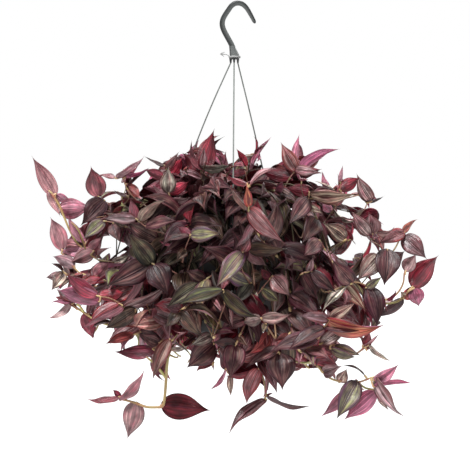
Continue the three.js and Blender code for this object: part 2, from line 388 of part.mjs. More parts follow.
  plain: [] },
{ name: "shoot_bottom_dark_left", stems: [[-19.2,-30.6,-308,2.1,-22.2,-39.9,-282.9,2.06,-28.3,-65,-269.8,2.03,-34.6,-92,-261.6,2,-40.8,-119.3,-264.4,1.96,-43.6,-130.3,-290.5,1.93,-44.5,-133.4,-319.3,1.89,-44.8,-134.2,-348.3,1.85,-44.4,-133.8,-377.3,1.82,-43,-132.6,-406.2,1.78,-41.1,-132,-420.9,1.75,-33.7,-130.1,-435.8,1.45,-29.7,-128,-451.9,1.15],[-34.6,-92,-261.6,1.5,-25.1,-71.1,-251.7,1.27,-18.9,-54,-240.3,1.05]],
  fine: [[-29.7,-128,-451.9,-65.3,-138,-474.2,0.2,-0.97,0.12,28.2,0.08,0.17],
   [-33,-129.7,-438.5,-61.4,-140.7,-451.1,0.31,-0.94,0.14,17.9,0.08,0.17]],
  plain: [[-19.4,-55.2,-241.1,-0.7,-43.2,-246.4,0.5,-0.46,0.74,5.7,0.1,0.34],
   [-24.7,-70,-250.9,-43.4,-47.4,-231.3,-0.02,-0.67,0.75,15.8,0.08,0.18]] },
{ name: "shoot_bottom_left_big", stems: [[-20.9,-43,-308,2.1,-18.4,-47.1,-279.2,2.06,-15.4,-67.9,-257.4,2.03,-11.6,-94,-243.6,2,-6.3,-115.6,-261.5,1.96,-1.9,-128.3,-288.6,1.93,1.9,-138.3,-316.9,1.89,5.4,-147.3,-345.6,1.85,8.2,-155.5,-374.6,1.82,10.1,-163.5,-403.7,1.78,9.8,-168,-419.3,1.75,3.8,-171.9,-433.5,1.45,-2.8,-173,-447.9,1.15],[9.8,-168,-419.26,1.6,-6.5,-139.7,-427.9,1.5,-15.6,-118,-444.8,1.4,-12,-118.1,-465.3,1.45,-13.1,-117,-486,1.15],[1.9,-138.3,-316.9,1.5,5.3,-123.3,-302.1,1.39,10.3,-101.4,-274.5,1.27,13,-85.3,-245.2,1.16,9.4,-87.9,-225.4,1.05],[-1.9,-128.3,-288.61,1.5,0.5,-131,-322.6,1.35,1.1,-132.7,-352.3,1.2,0.2,-140.4,-378.5,1.05]],
  fine: [[-2.8,-173,-447.9,-10.3,-187,-492.1,0.05,-0.95,0.29,31.4,0.08,0.17],
   [2.3,-172.1,-436.7,14.7,-186.1,-450.9,-0.39,-0.8,0.45,10.1,0.06,0.34],
   [-1.6,-172.8,-445.4,-32.9,-178.8,-443.8,0.19,-0.98,-0.01,15.1,0.06,0.17],
   [-13.1,-117,-486,-31,-122,-516.4,0.76,0.4,-0.51,12.9,0.1,0.17],
   [-13.1,-117,-486,-2.8,-123,-516.4,-0.67,-0.74,-0.08,13.7,-0.08,0.17]],
  plain: [[12.4,-89,-251.9,46.4,-100.9,-267.6,0.14,-0.62,0.77,15.9,0.09,0.21],
   [10.9,-97.9,-268.1,-18.8,-89.4,-248.3,0.46,-0.33,0.83,18.5,0.05,0.19],
   [0.2,-139.9,-377.1,3.6,-143.8,-404.6,-0.22,-0.97,0.11,7,0.04,0.34],
   [0.7,-136.1,-363.8,-12.4,-153.8,-389.6,-0.05,-0.81,0.58,14.7,0.13,0.13],
   [1,-132.4,-347.7,23.1,-141.1,-392.3,0.72,-0.52,0.46,22.7,0.11,0.13],
   [0.6,-131.3,-327.7,-16.5,-146.2,-369,-0.19,-0.9,0.4,22.7,0.07,0.12]] },
{ name: "shoot_right_far", stems: [[1.8,-3.2,-308,2.1,7.5,-0.8,-280.4,2.06,31,-7.6,-262.7,2.03,57.3,-15.9,-250.5,2,85.2,-24.5,-251,1.96,102.6,-30,-274.6,1.93,113.9,-33.8,-302.4,1.89,123.4,-36.8,-331,1.85,132.4,-39.4,-359.8,1.82,142.7,-41.5,-388.2,1.78,151.2,-42,-401.3,1.75,170.5,-39.1,-399.6,1.63,189.7,-36.6,-397.2,1.51,208.1,-34.1,-391.5,1.39,219.9,-32.8,-376.2,1.27,222.6,-31,-357.7,1.15],[170.5,-39.1,-399.6,1.6,184.8,-33.3,-402.4,1.5,196,-30,-401.7,1.4,215,-27.2,-397.9,1.45,228.5,-25,-384.5,1.15],[102.6,-30,-274.59,1.5,109.9,-28.2,-302.2,1.41,116,-23.8,-332.6,1.32,122.8,-20,-363,1.23,132.1,-20.2,-390.7,1.14,145.8,-27.6,-413.2,1.05],[57.3,-15.9,-250.47,1.5,79.1,-20.5,-272.6,1.44,98.9,-21.6,-296.5,1.39,116.8,-20.9,-321.3,1.33,132.8,-20.3,-346.5,1.27,146.8,-21.3,-371.2,1.22,158.8,-25.7,-394.7,1.16,168.8,-35.3,-416.3,1.11,176.7,-51.7,-435.2,1.05]],
  fine: [[222.6,-31,-357.7,233.1,-33,-336.3,0.04,1,0.08,16,0.06,0.34],
   [228.5,-25,-384.5,262.4,-33,-339,0.08,0.99,0.11,29.4,0.1,0.34],
   [228.5,-25,-384.5,239.5,-35,-406.9,0.17,0.93,-0.33,21.4,0.06,0.17],
   [223.8,-25.8,-389.2,217.2,-31.8,-381.7,0.34,-0.86,-0.39,8,0.05,0.34],
   [219.7,-26.4,-393.2,195.3,-38.4,-422.7,-0.19,0.95,-0.23,17.4,0.08,0.17]],
  plain: [[145,-27.2,-411.9,157.8,-26.4,-439.8,0.9,-0.15,0.41,13.4,0.13,0.21],
   [138.2,-23.5,-400.7,152.6,-47.5,-420.7,0.48,-0.37,0.79,17.3,0.1,0.15],
   [131.4,-20.2,-388.6,161.7,3.1,-416.6,0.4,-0.87,-0.29,23.3,0.09,0.2],
   [125.7,-20.1,-371.7,128.2,-57.2,-413.3,0.97,-0.14,0.18,27.7,0.12,0.16],
   [121.4,-20.8,-357,132.1,8.9,-394.9,0.97,-0.02,0.26,23.8,0.05,0.13],
   [117.5,-22.9,-339.6,127.4,-48.1,-384.5,0.94,0.33,0.02,21.9,0.05,0.2],
   [176.3,-50.7,-434.1,170.8,-70.8,-455.7,-0.83,-0.29,0.48,7.9,0.1,0.34],
   [167.1,-33.6,-412.6,164.1,-73.2,-436.9,0.94,-0.22,0.25,18.7,0.1,0.1],
   [160.2,-27.1,-397.7,176.1,0.4,-441.7,0.72,0.44,0.54,24.1,0.04,0.21],
   [151.7,-23.1,-380.7,156.3,-67.5,-419.3,0.83,-0.31,0.46,25.7,0.11,0.16],
   [141.9,-20.9,-362.5,176.5,-6.8,-401,0.71,-0.56,0.43,25.1,0.09,0.16],
   [133.5,-20.3,-347.6,139.5,-54.2,-388,0.87,-0.3,0.38,27,0.09,0.19]] },
{ name: "shoot_front_right_grey", stems: [[-1.2,-57.7,-308,2.1,8,-67.1,-284.8,2.05,33.5,-84.5,-277.1,2,46.7,-106.9,-289.7,1.95,42.1,-123.5,-316.5,1.9,34.9,-138.3,-343.9,1.85,27.2,-153.3,-371,1.8,25,-164,-384.1,1.75,33.8,-171.2,-372.7,1.45,43.6,-177,-361.1,1.15]],
  fine: [[43.6,-177,-361.1,66,-185,-387.2,-0.15,-0.97,0.17,25.1,0.06,0.17],
   [40.1,-174.9,-365.3,28.5,-178.9,-351.1,-0.13,0.98,0.17,11.3,0.08,0.34],
   [30.5,-168.5,-376.9,52.8,-160.5,-394.3,0.21,-0.96,-0.17,16.4,0.08,0.17]],
  plain: [] },
{ name: "shoot_right_low_dark", stems: [[31.1,-23,-308,2.1,33.2,-19.3,-281.5,2.06,49.1,-40.4,-269.1,2.02,65.5,-64,-264.1,1.98,79.9,-87.3,-272.3,1.94,87.3,-105.1,-294.3,1.91,92.5,-120.1,-319,1.87,97.3,-133.7,-344.5,1.83,103.5,-146.3,-370.3,1.79,110.1,-152,-382,1.75,130.5,-147.8,-376.5,1.55,149.9,-143.5,-369.8,1.35,169.5,-137,-376.1,1.15]],
  fine: [[168.7,-137.3,-375.8,178.6,-151.3,-417.5,-0.07,-0.95,0.3,30.6,0.08,0.17],
   [145.4,-144.5,-371.3,118.7,-156.5,-338.8,0.17,-0.96,-0.21,25.4,0.08,0.17],
   [138.5,-146,-373.7,105.9,-160,-407,-0.48,-0.54,0.7,20.4,0.04,0.17],
   [158.9,-140.5,-372.7,179,-146.5,-361.8,-0.22,-0.97,-0.12,11.5,0.06,0.34]],
  plain: [] },
{ name: "shoot_left_mid", stems: [[-61,-20.9,-308,2.1,-62.4,-26.4,-281.1,2.06,-76.4,-48.6,-269.7,2.01,-92.3,-72.2,-265.9,1.97,-104.8,-87.6,-282.6,1.93,-107.3,-88.4,-311.2,1.88,-108.5,-86.2,-339.9,1.84,-110.7,-82.5,-368.4,1.79,-115.1,-80,-381.6,1.75,-134,-75.4,-378.9,1.66,-152.8,-70.6,-375.8,1.58,-171.1,-65.5,-370.6,1.49,-189,-59.8,-364.9,1.41,-206.9,-52.9,-360.8,1.32,-220.6,-47,-348.3,1.24,-233.4,-45,-333.6,1.15],[-104.8,-87.6,-282.56,1.6,-103.8,-83.8,-317,1.56,-102.7,-79.6,-354.6,1.52,-104.5,-74.6,-389.7,1.48,-112.3,-68.8,-416.1,1.44,-129.1,-62,-428.2,1.4,-148.2,-55,-429.9,1.63,-167.6,-48.7,-429.4,1.51,-186.6,-44,-423.6,1.39,-203.6,-39.9,-413.1,1.27,-220.8,-37,-402.8,1.15],[-171.1,-65.5,-370.63,1.6,-169.3,-56,-377.1,1.5,-170,-42,-382.7,1.4,-185.9,-37.2,-378.7,1.6,-201.8,-32.6,-374.4,1.45,-217.2,-28.8,-367.9,1.3,-232.4,-27,-360.4,1.15]],
  fine: [[-233.4,-45,-333.6,-241.3,-59,-284.7,-0.04,0.96,0.27,29.2,0.1,0.17],
   [-219,-47.7,-349.8,-241.3,-59.7,-336.1,-0.35,0.91,0.22,13.2,0.05,0.17],
   [-188.5,-60,-365.1,-168.1,-70,-345.1,0.24,0.94,0.23,19.8,0.06,0.17],
   [-185.7,-60.9,-366,-196,-48.9,-345.4,-0.21,-0.89,0.41,11.9,0.06,0.34],
   [-219.9,-37.2,-403.4,-245.1,-47.2,-428.9,0.21,0.82,-0.53,15.7,0.16,0.17],
   [-220.8,-37,-402.8,-247.4,-37,-398.8,0.13,-0.47,0.87,11.3,0.05,0.17],
   [-220.8,-37,-402.8,-245.6,-29,-391.1,0.29,-0.38,0.88,10,0.05,0.17],
   [-200.8,-40.6,-414.9,-191.7,-52.6,-444.5,0.11,0.93,-0.35,19.9,0.06,0.17],
   [-166.8,-48.9,-429.4,-187.7,-52.9,-443.2,-0.45,-0.39,0.8,9.9,0.05,0.34],
   [-200.4,-40.7,-415.1,-195,-26.7,-393.8,0.13,-0.84,0.52,12,0.05,0.34],
   [-232.4,-27,-360.4,-250.7,-31,-347,0.57,-0.54,0.62,9.7,0.05,0.34],
   [-232.4,-27,-360.4,-255.6,-35,-365.6,-0.31,0.95,-0.07,13.4,0.08,0.34],
   [-229.2,-27.4,-362,-248.5,-39.4,-377.5,0.34,-0.9,0.27,16,0.05,0.17]],
  plain: [] },
{ name: "shoot_front_mid", stems: [[13.5,-49.2,-308,2.1,11.9,-54.3,-281.6,2.06,7.4,-73.9,-260.7,2.02,3.4,-98.3,-246,1.98,4.8,-121.4,-259.8,1.94,8.8,-136.1,-284.5,1.91,13,-148.8,-310.3,1.87,16.9,-160.7,-336.4,1.83,20.1,-173.3,-362.4,1.79,19.8,-182.1,-373.5,1.75,10.3,-192.2,-362.6,1.45,4.3,-199.2,-347.7,1.3,5.9,-204,-330.8,1.15],[13,-148.8,-310.26,1.6,4,-157.6,-338.9,1.5,-2.8,-168,-353.8,1.4,4.1,-175.5,-339.6,1.45,13.5,-181,-326,1.15]],
  fine: [[5.9,-204,-330.8,15.6,-221,-312.2,0.18,-0.68,-0.71,11.4,0.05,0.34],
   [5.9,-204,-330.9,-27.4,-222,-374.9,0.19,-0.95,0.25,24.8,0.08,0.17],
   [4.7,-200.4,-343.2,-2.8,-210.4,-359.2,0.21,-0.87,0.45,8.7,0.05,0.34],
   [13.5,-181,-326,64.3,-199,-327.1,-0.31,-0.83,-0.46,22.6,0.08,0.17],
   [10.3,-179.2,-330.6,37.2,-185.2,-348.5,0.15,0.98,-0.1,15,0.08,0.17]],
  plain: [] },
{ name: "shoot_right_mid_c", stems: [[39.5,2,-308,2.1,42.6,2.3,-281.3,2.06,63.7,-15,-271.6,2.01,84,-35.3,-273.6,1.97,95.5,-54.9,-291.6,1.93,103,-72.4,-313.7,1.88,109.7,-89,-336.9,1.84,117.6,-104.8,-360.1,1.79,124.9,-112,-370.3,1.75,141.1,-109,-365.1,1.63,156.4,-107,-357.6,1.51,170.4,-105.7,-347.8,1.39,183.1,-103.7,-336.2,1.27,198,-102,-329.1,1.15],[103,-72.4,-313.74,1.5,104.9,-83.8,-341.5,1.39,105.9,-92.4,-369,1.27,109.7,-100.7,-393.2,1.16,120,-111.1,-411.3,1.05]],
  fine: [[196.9,-102.1,-329.6,186.3,-118.1,-375.3,0.07,-0.95,0.31,32.4,0.08,0.17],
   [182.3,-103.9,-336.9,155.5,-117.9,-365,0.23,-0.94,0.25,24.6,0.08,0.17],
   [176.2,-104.8,-342.5,162.2,-112.8,-363.8,0.59,0.55,-0.59,11.2,0.05,0.17]],
  plain: [[119.3,-110.4,-410.1,131,-124.8,-430.3,0.65,-0.39,0.65,6.8,0.12,0.34],
   [110.9,-101.9,-395.4,143.1,-95,-409.2,0.43,-0.53,0.73,18.4,0.06,0.13],
   [107.2,-95.2,-377.2,100.2,-117.2,-416.5,0.61,-0.73,0.3,22.5,0.05,0.2],
   [105.6,-89.6,-360.1,125.5,-79.6,-396.3,0.86,0.09,0.5,22,0.05,0.11]] },
{ name: "shoot_right_mid_a", stems: [[11.4,1.2,-308,2.1,19.4,-2.2,-284.1,2.06,37.2,-22.1,-272,2.02,56.2,-42.9,-263.6,1.98,76.8,-63.3,-260.1,1.94,96.9,-75,-274.6,1.91,108.2,-74.7,-301.6,1.87,117.2,-71.6,-329.4,1.83,126.4,-66.9,-356.9,1.79,134.1,-64,-368.9,1.75,148.8,-61,-355.6,1.6,163.1,-58.8,-341.7,1.45,172.6,-57,-324.5,1.3,179.5,-55,-305.7,1.15],[148.8,-61,-355.59,1.6,155.1,-52.4,-368.8,1.5,161.7,-44,-376,1.4,174.4,-41.7,-363.4,1.63,187.3,-39.6,-351.1,1.51,200.5,-37.8,-339,1.39,211.2,-35.6,-324.7,1.27,218.3,-34,-308.4,1.15],[37.2,-22.1,-271.98,1.5,57.9,-39.9,-267.8,1.35,81.2,-55.2,-263.8,1.2,101.9,-68.2,-261.3,1.05],[76.8,-63.3,-260.11,1.5,80.1,-66,-287.9,1.41,76.8,-64.1,-322.1,1.32,73.3,-60.2,-357.3,1.23,75.9,-56.8,-387.7,1.14,90.8,-56.5,-408,1.05]],
  fine: [[178.6,-55.3,-308.1,153.5,-69.3,-280.8,0.24,-0.94,-0.26,19.8,0.1,0.17],
   [179.5,-55,-305.7,184.1,-63,-274.2,-0.04,-0.97,-0.24,25.1,0.12,0.17],
   [179.5,-55,-305.7,211.7,-49,-296.5,0.32,-0.45,-0.83,14.3,0.18,0.17],
   [218.3,-34,-308.4,235.6,-34,-288.4,-0.52,0.72,0.45,11.1,0.05,0.17],
   [217.6,-34.2,-310,247.9,-44.2,-338.9,-0.17,-0.97,0.16,29.3,0.1,0.17],
   [218.3,-34,-308.4,185.1,-50,-326.9,0.34,-0.92,0.19,20,0.12,0.17]],
  plain: [[100.7,-67.4,-261.5,122,-81,-268.2,0.17,-0.22,0.96,7.1,0.05,0.34],
   [85.1,-57.6,-263.3,125.4,-53.5,-269.5,0.18,-0.47,0.86,12.8,0.1,0.34],
   [68.9,-47.1,-265.9,93.1,-90.1,-268,0.54,0.26,0.8,23.6,0.12,0.18],
   [89.9,-56.5,-406.8,105,-57.7,-433.6,0.81,-0.36,0.47,9.5,0.11,0.34],
   [79.9,-56.7,-393.2,107.9,-27.6,-402.6,0.5,-0.2,0.84,16.9,0.07,0.15],
   [75.1,-57.9,-378.1,73.1,-74.9,-424.1,0.77,-0.61,0.19,22.8,0.12,0.22],
   [73.4,-60.3,-356.8,95.1,-25.5,-396.6,0.85,0.07,0.53,26.6,0.08,0.21],
   [75.3,-62.4,-337.5,76.2,-74,-390.9,0.82,-0.55,0.13,27.9,0.06,0.22]] },
{ name: "shoot_left_front_dark", stems: [[-32,-13.3,-308,2.1,-33.8,-20.2,-280.1,2.06,-33.4,-46.2,-262.4,2.02,-33.2,-74.5,-248.4,1.98,-34.3,-104.7,-240,1.94,-40.2,-127.5,-256.3,1.91,-46.5,-135.1,-286.2,1.87,-53,-138.9,-316.8,1.83,-61.1,-141,-347.2,1.79,-69,-142,-361.9,1.75,-89.8,-140.3,-352.6,1.45,-111.2,-137,-345.4,1.15],[-34.3,-104.7,-240.04,1.5,-43.8,-124.9,-263.5,1.35,-52.7,-142.9,-290.6,1.2,-64.1,-163.9,-300.6,1.05],[-40.2,-127.5,-256.27,1.5,-46.4,-130.7,-283.9,1.39,-54.5,-128.3,-314,1.27,-62,-128.2,-342.3,1.16,-65.8,-138.1,-364.4,1.05]],
  fine: [[-111.2,-137,-345.4,-169.2,-147,-375.8,0.13,-0.99,0.07,33.2,0.08,0.17],
   [-107.4,-137.6,-346.7,-91.5,-153.6,-384.5,-0.14,-0.93,0.34,33.2,0.08,0.17],
   [-108.9,-137.3,-346.2,-140,-147.3,-305.9,0.12,-0.98,-0.15,28.1,0.08,0.17]],
  plain: [[-63.4,-162.7,-300,-63.4,-179.4,-313.4,-0.07,-0.62,0.78,5.5,0.08,0.34],
   [-56.6,-150,-294,-89.5,-159.6,-313.2,-0.26,-0.61,0.75,18.8,0.05,0.2],
   [-51.3,-140.1,-286.4,-39.9,-172.6,-311.5,-0.6,-0.61,0.51,19.9,0.1,0.1],
   [-46.7,-130.7,-272.3,-88.3,-149.2,-310.1,0.13,-0.94,0.32,29.4,0.06,0.13],
   [-65.6,-137.5,-363,-68.3,-153.6,-383.1,-0.72,-0.49,0.49,13.1,0.09,0.21],
   [-63.4,-131.9,-350.5,-79.1,-138.2,-376.4,-0.3,-0.87,0.4,8.5,0.08,0.34],
   [-61.1,-128.2,-339.1,-41,-149.6,-371.3,-0.4,-0.86,0.32,18.9,0.05,0.11],
   [-57.7,-128.3,-325.9,-100.4,-132.8,-356.6,-0.26,-0.84,0.48,21.6,0.04,0.13],
   [-53.1,-128.8,-308.6,-48.6,-142.9,-348.5,-0.42,-0.87,0.26,17.1,0.09,0.12]] },
{ name: "shoot_left_high", stems: [[-37.2,-1.5,-308,2.1,-41.8,-6.5,-281.2,2.06,-70.2,-6.1,-268.6,2.01,-100.4,-6,-260.8,1.97,-129.7,-11,-263,1.93,-130.8,-26,-289.4,1.88,-124.1,-39.9,-316.5,1.84,-116.7,-53.2,-343.6,1.79,-116,-60,-358.5,1.75,-133.2,-54.9,-352.9,1.69,-150.5,-49.7,-347.9,1.63,-168.2,-44.4,-345.1,1.57,-186.2,-40.2,-342.1,1.51,-201,-37.6,-331.2,1.45,-214.5,-33.2,-319.2,1.39,-223.9,-30.1,-303.4,1.33,-231.3,-27.9,-286.3,1.27,-238.8,-25.8,-269.3,1.21,-248.7,-24,-253.5,1.15],[-124.1,-39.9,-316.47,1.5,-109.8,-36.6,-295.9,1.39,-88.9,-21.8,-256.6,1.27,-77.4,-6.7,-219.3,1.16,-91.1,-2.6,-204.8,1.05],[-100.4,-6,-260.83,1.5,-111.4,-20.9,-277,1.41,-121,-39.7,-302.9,1.32,-131.5,-58.5,-330.9,1.23,-145,-73.4,-353.8,1.14,-164,-80.4,-364,1.05]],
  fine: [[-248.7,-24,-253.5,-267.7,-34,-203.2,-0.06,0.98,0.17,26.7,0.1,0.17],
   [-246.1,-24.5,-257.6,-227.9,-2.5,-266.5,0.2,-0.5,-0.84,12.6,0.15,0.17],
   [-247.9,-24.2,-254.9,-234.4,-34.2,-285.7,-0.28,0.87,-0.41,14.8,0.05,0.17],
   [-237.3,-26.2,-272.6,-201.5,-12.2,-274.8,-0.36,0.93,0.02,25.4,0.08,0.17],
   [-208.9,-35.1,-324.3,-222.6,-47.1,-291.2,-0.61,0.79,0.04,15.9,0.05,0.17],
   [-192.6,-39.1,-337.4,-219.4,-53.1,-348,-0.41,0.9,-0.16,22.6,0.08,0.17],
   [-198.4,-38.1,-333.1,-179.5,-20.1,-316.4,-0.44,0.81,-0.38,14.6,0.08,0.17],
   [-165.8,-45.1,-345.5,-141.1,-59.1,-334.7,-0.26,-0.83,-0.49,12.7,0.08,0.17]],
  plain: [[-77.5,-6.7,-219.2,-110.6,8.1,-223.6,-0.4,-0.74,0.53,16.8,0.11,0.17],
   [-82.1,-12.9,-234.5,-46.8,-18.3,-212.3,-0.53,-0.02,0.84,19.3,0.09,0.15],
   [-87.6,-20.2,-252.5,-103.7,36,-231,-0.78,-0.4,0.47,26.7,0.05,0.21],
   [-97.7,-28,-273.2,-62.7,-41.9,-251.3,-0.53,-0.77,0.36,20.1,0.11,0.21],
   [-162.7,-79.9,-363.3,-185.5,-97.4,-373.8,-0.45,0.05,0.89,15.3,0.09,0.15],
   [-149.5,-75,-356.2,-169.1,-68,-378.9,-0.42,-0.9,0.08,13,0.08,0.1],
   [-140.2,-68.1,-345.7,-132.4,-104.8,-381.5,-0.79,-0.51,0.35,21.4,0.09,0.14],
   [-133.2,-60.4,-333.9,-162.3,-54.5,-383.8,-0.87,-0.04,0.5,23.9,0.09,0.11],
   [-126.7,-49.9,-318.1,-128.3,-105,-346.2,-0.57,-0.36,0.74,32,0.07,0.12]] },
{ name: "shoot_front_left_olive", stems: [[-34.6,-23.2,-308,2.1,-39.5,-30,-281.4,2.06,-29.6,-54.7,-266.8,2.01,-18.6,-81.5,-258,1.97,-11.2,-109.7,-261.5,1.93,-12.2,-128.2,-285.3,1.88,-15.7,-141.4,-312.4,1.84,-21,-153.2,-339.9,1.79,-25.5,-160,-353.9,1.75,-36,-167.5,-363.2,1.45,-48,-174,-371.2,1.15]],
  fine: [[-48,-174,-371.2,-90.3,-184,-402.2,0.15,-0.98,0.11,22.6,0.08,0.17],
   [-41.4,-170.4,-366.8,-65.5,-178.4,-353.6,0.24,-0.96,-0.13,17.6,0.08,0.17]],
  plain: [] },
{ name: "shoot_right_front_mauve", stems: [[16.9,-36.5,-308,2.1,20.2,-38.9,-277.9,2.06,39.9,-52.2,-256.8,2.01,63.1,-68.6,-242.8,1.97,84.6,-86.5,-253.1,1.93,98,-99.1,-279,1.88,109,-110.3,-306.7,1.84,118.5,-121.5,-334.9,1.79,122.7,-130,-349.4,1.75,114,-135.6,-332.6,1.45,104.3,-140,-316.1,1.15],[109,-110.3,-306.69,1.6,93,-124,-336.6,1.53,73.1,-136.1,-365.2,1.47,73.4,-150,-369.3,1.4,80.8,-154.9,-358.6,1.45,93.3,-158,-355.2,1.15]],
  fine: [[104.3,-140,-316.1,82.2,-150,-337.6,0.22,-0.95,0.22,21.7,0.08,0.17],
   [110.4,-137.2,-326.5,82.9,-131.2,-319.9,-0.2,-0.98,0.05,15.3,0.08,0.17],
   [93,-157.9,-355.3,125.8,-165.9,-382.8,-0.14,-0.98,0.12,19,0.06,0.17],
   [88.6,-156.8,-356.5,95.6,-164.8,-336.2,-0.11,-0.94,-0.33,10.1,0.05,0.34],
   [82.2,-155.2,-358.3,101.3,-149.2,-392.2,0.07,-0.99,-0.13,22.8,0.08,0.17]],
  plain: [] },
{ name: "shoot_front_high", stems: [[25.3,-33.2,-308,2.1,27.2,-36.6,-280,2.05,23.1,-64.8,-271.2,2,21.7,-94.5,-272.3,1.95,30.4,-117.1,-289,1.9,42.2,-133.5,-311.2,1.85,53.9,-149.2,-333.9,1.8,57.9,-160,-343.8,1.75,48.5,-173.3,-335.4,1.66,38.9,-186.1,-326.5,1.58,28.4,-195.2,-314.6,1.49,19.6,-201.3,-299.8,1.41,14.3,-205.2,-282.8,1.32,12.2,-206.2,-264.6,1.24,12.1,-204,-246.5,1.15]],
  fine: [[13.4,-205.7,-274.9,10.7,-217.7,-245.6,0.4,-0.86,-0.32,13.3,0.05,0.34],
   [13.7,-205.5,-277.4,-9,-219.5,-250.6,-0.75,0.58,-0.33,15.9,0.05,0.17],
   [13.7,-205.5,-277.6,58.6,-225.5,-320.8,-0.55,-0.82,-0.19,27.5,0.08,0.17],
   [12.1,-204,-246.5,-12.7,-216,-235.7,-0.54,0.73,-0.42,12.4,0.08,0.34],
   [12.1,-204,-246.5,52.7,-214,-225.8,-0.49,-0.39,0.78,18.6,0.12,0.17],
   [18,-202.5,-294.5,-5.3,-222.5,-326.9,0.5,0.53,-0.69,18.7,0.06,0.17]],
  plain: [] },
{ name: "shoot_front_grey", stems: [[-58.4,-49.1,-308,2.1,-61.6,-57.5,-282.2,2.04,-72.9,-85.2,-278.9,1.98,-75.5,-111.2,-293.5,1.93,-74.3,-133.1,-314.6,1.87,-71.7,-154.7,-335.8,1.81,-69.5,-168,-343.7,1.75,-65.8,-175.7,-326.7,1.45,-59.1,-181,-309.7,1.15],[-71.7,-154.7,-335.81,1.5,-71.4,-135.4,-319.5,1.27,-79.2,-128.5,-305.9,1.05]],
  fine: [[-59.1,-181,-309.7,-17.8,-193,-307.2,-0.28,-0.96,-0.02,21.3,0.08,0.17],
   [-59.7,-180.5,-311.2,-96.4,-188.5,-320.9,-0.11,-0.53,0.84,16.3,0.08,0.17],
   [-59.1,-181,-309.7,-76.7,-181,-298.4,0,1,0,11.3,0.08,0.34],
   [-65.9,-175.5,-327.2,-77.8,-185.5,-343.4,0.26,-0.9,0.36,15.1,0.08,0.34]],
  plain: [[-78.5,-129.1,-307.1,-89.5,-121.1,-278.6,-0.19,-0.96,0.2,9.6,0.13,0.34],
   [-71.4,-135.4,-319.5,-101.3,-144.3,-317,-0.1,0.07,-0.99,14.5,0.11,0.15]] },
{ name: "shoot_right_upper", stems: [[5.4,15,-308,2.1,9.5,14.2,-281.8,2.06,32.9,4.5,-264.4,2.01,58.3,-6.2,-250.8,1.97,85.9,-17.5,-244.1,1.93,105.3,-25.1,-264.4,1.88,114.7,-28.6,-293.5,1.84,122.5,-30.9,-323.2,1.79,129.2,-32,-337.7,1.75,140.3,-30.4,-319.8,1.6,153.4,-28.2,-303.6,1.45,164.6,-26.4,-285.9,1.3,173.7,-25,-266.9,1.15]],
  fine: [[173.7,-25,-266.9,158.3,-35,-231.2,0.1,-0.97,-0.23,18.7,0.05,0.17],
   [173.7,-25,-266.9,201.8,-25,-257.6,0.29,-0.4,-0.87,8.4,0.05,0.17],
   [144.1,-29.7,-315.1,111.3,-43.7,-292.5,0.27,-0.94,-0.19,24,0.1,0.17],
   [141.7,-30.1,-318,127.3,-42.1,-337.6,0.26,-0.9,0.36,17.3,0.06,0.17]],
  plain: [] },
{ name: "shoot_top_right_front", stems: [[-11.7,-29.1,-308,2.1,-9.7,-29.2,-279.2,2.05,5,-50.6,-263.5,2,21.7,-74.2,-254,1.95,41,-97,-254.5,1.9,57.9,-109.9,-276,1.85,72.5,-118.2,-301.4,1.8,82,-122,-313.6,1.75,85.7,-117.8,-293.8,1.55,89.6,-113.8,-274.1,1.35,92.7,-110,-254.2,1.15]],
  fine: [[92.3,-110.5,-256.7,153.9,-122.5,-258.3,-0.14,-0.63,-0.77,26.3,0.05,0.17],
   [92.7,-110,-254.4,61.9,-104,-247.6,0.18,0.98,-0.04,18.1,0.08,0.17],
   [91.5,-111.5,-262,63.7,-133.5,-298.2,0.26,-0.9,0.34,24.5,0.08,0.17],
   [89.8,-113.5,-272.5,111.5,-121.5,-282.7,-0.29,-0.95,0.13,11.6,0.06,0.34]],
  plain: [] },
{ name: "shoot_left_center", stems: [[8.1,-39.5,-308,2.1,-0.7,-48.2,-283.2,2.04,-20.3,-71.4,-272.2,1.98,-40.6,-95.8,-266.1,1.93,-59.6,-119.8,-272.7,1.87,-68.9,-135.6,-299.1,1.81,-76.6,-142,-313.5,1.75,-95.4,-138,-307.3,1.55,-114.1,-133.3,-301.3,1.35,-129.5,-129,-289.2,1.15],[-76.6,-142,-313.52,1.6,-95.7,-116.6,-316.9,1.5,-114.6,-92,-313.6,1.4,-129.2,-88.4,-306.4,1.6,-143.9,-84.9,-299.5,1.45,-159.3,-81.2,-294.1,1.3,-175.4,-78,-291.4,1.15]],
  fine: [[-129.5,-129,-289.2,-173.6,-139,-289.3,0.18,-0.79,0.59,19,0.06,0.17],
   [-129.5,-129,-289.2,-137,-133,-262.4,-0.04,0.99,0.14,14.1,0.06,0.34],
   [-125.1,-130.2,-292.7,-90.3,-150.2,-264,-0.31,0.56,0.77,20.7,0.06,0.17],
   [-117.9,-132.2,-298.3,-74.9,-156.2,-292,-0.47,-0.7,0.54,20.9,0.06,0.17],
   [-175.2,-78,-291.4,-201.5,-94,-316.2,0.29,-0.91,0.28,19.6,0.08,0.17],
   [-164.9,-80.1,-293.1,-153.5,-94.1,-320.1,-0.17,-0.9,0.4,18.3,0.08,0.17],
   [-147.6,-84,-298.2,-172,-108,-280,0.64,-0.76,-0.14,16.3,0.05,0.17]],
  plain: [] },
{ name: "shoot_top_left_front", stems: [[-12.9,-59.4,-308,2.1,-14.4,-63.4,-283.6,2.01,-28.3,-85.8,-273.6,1.93,-43.6,-108.9,-272.9,1.84,-54.2,-120,-311,1.75,-63.9,-117.7,-297.3,1.6,-73.4,-114.3,-283.7,1.45,-81.9,-109.4,-269.9,1.3,-89.4,-105,-255.4,1.15]],
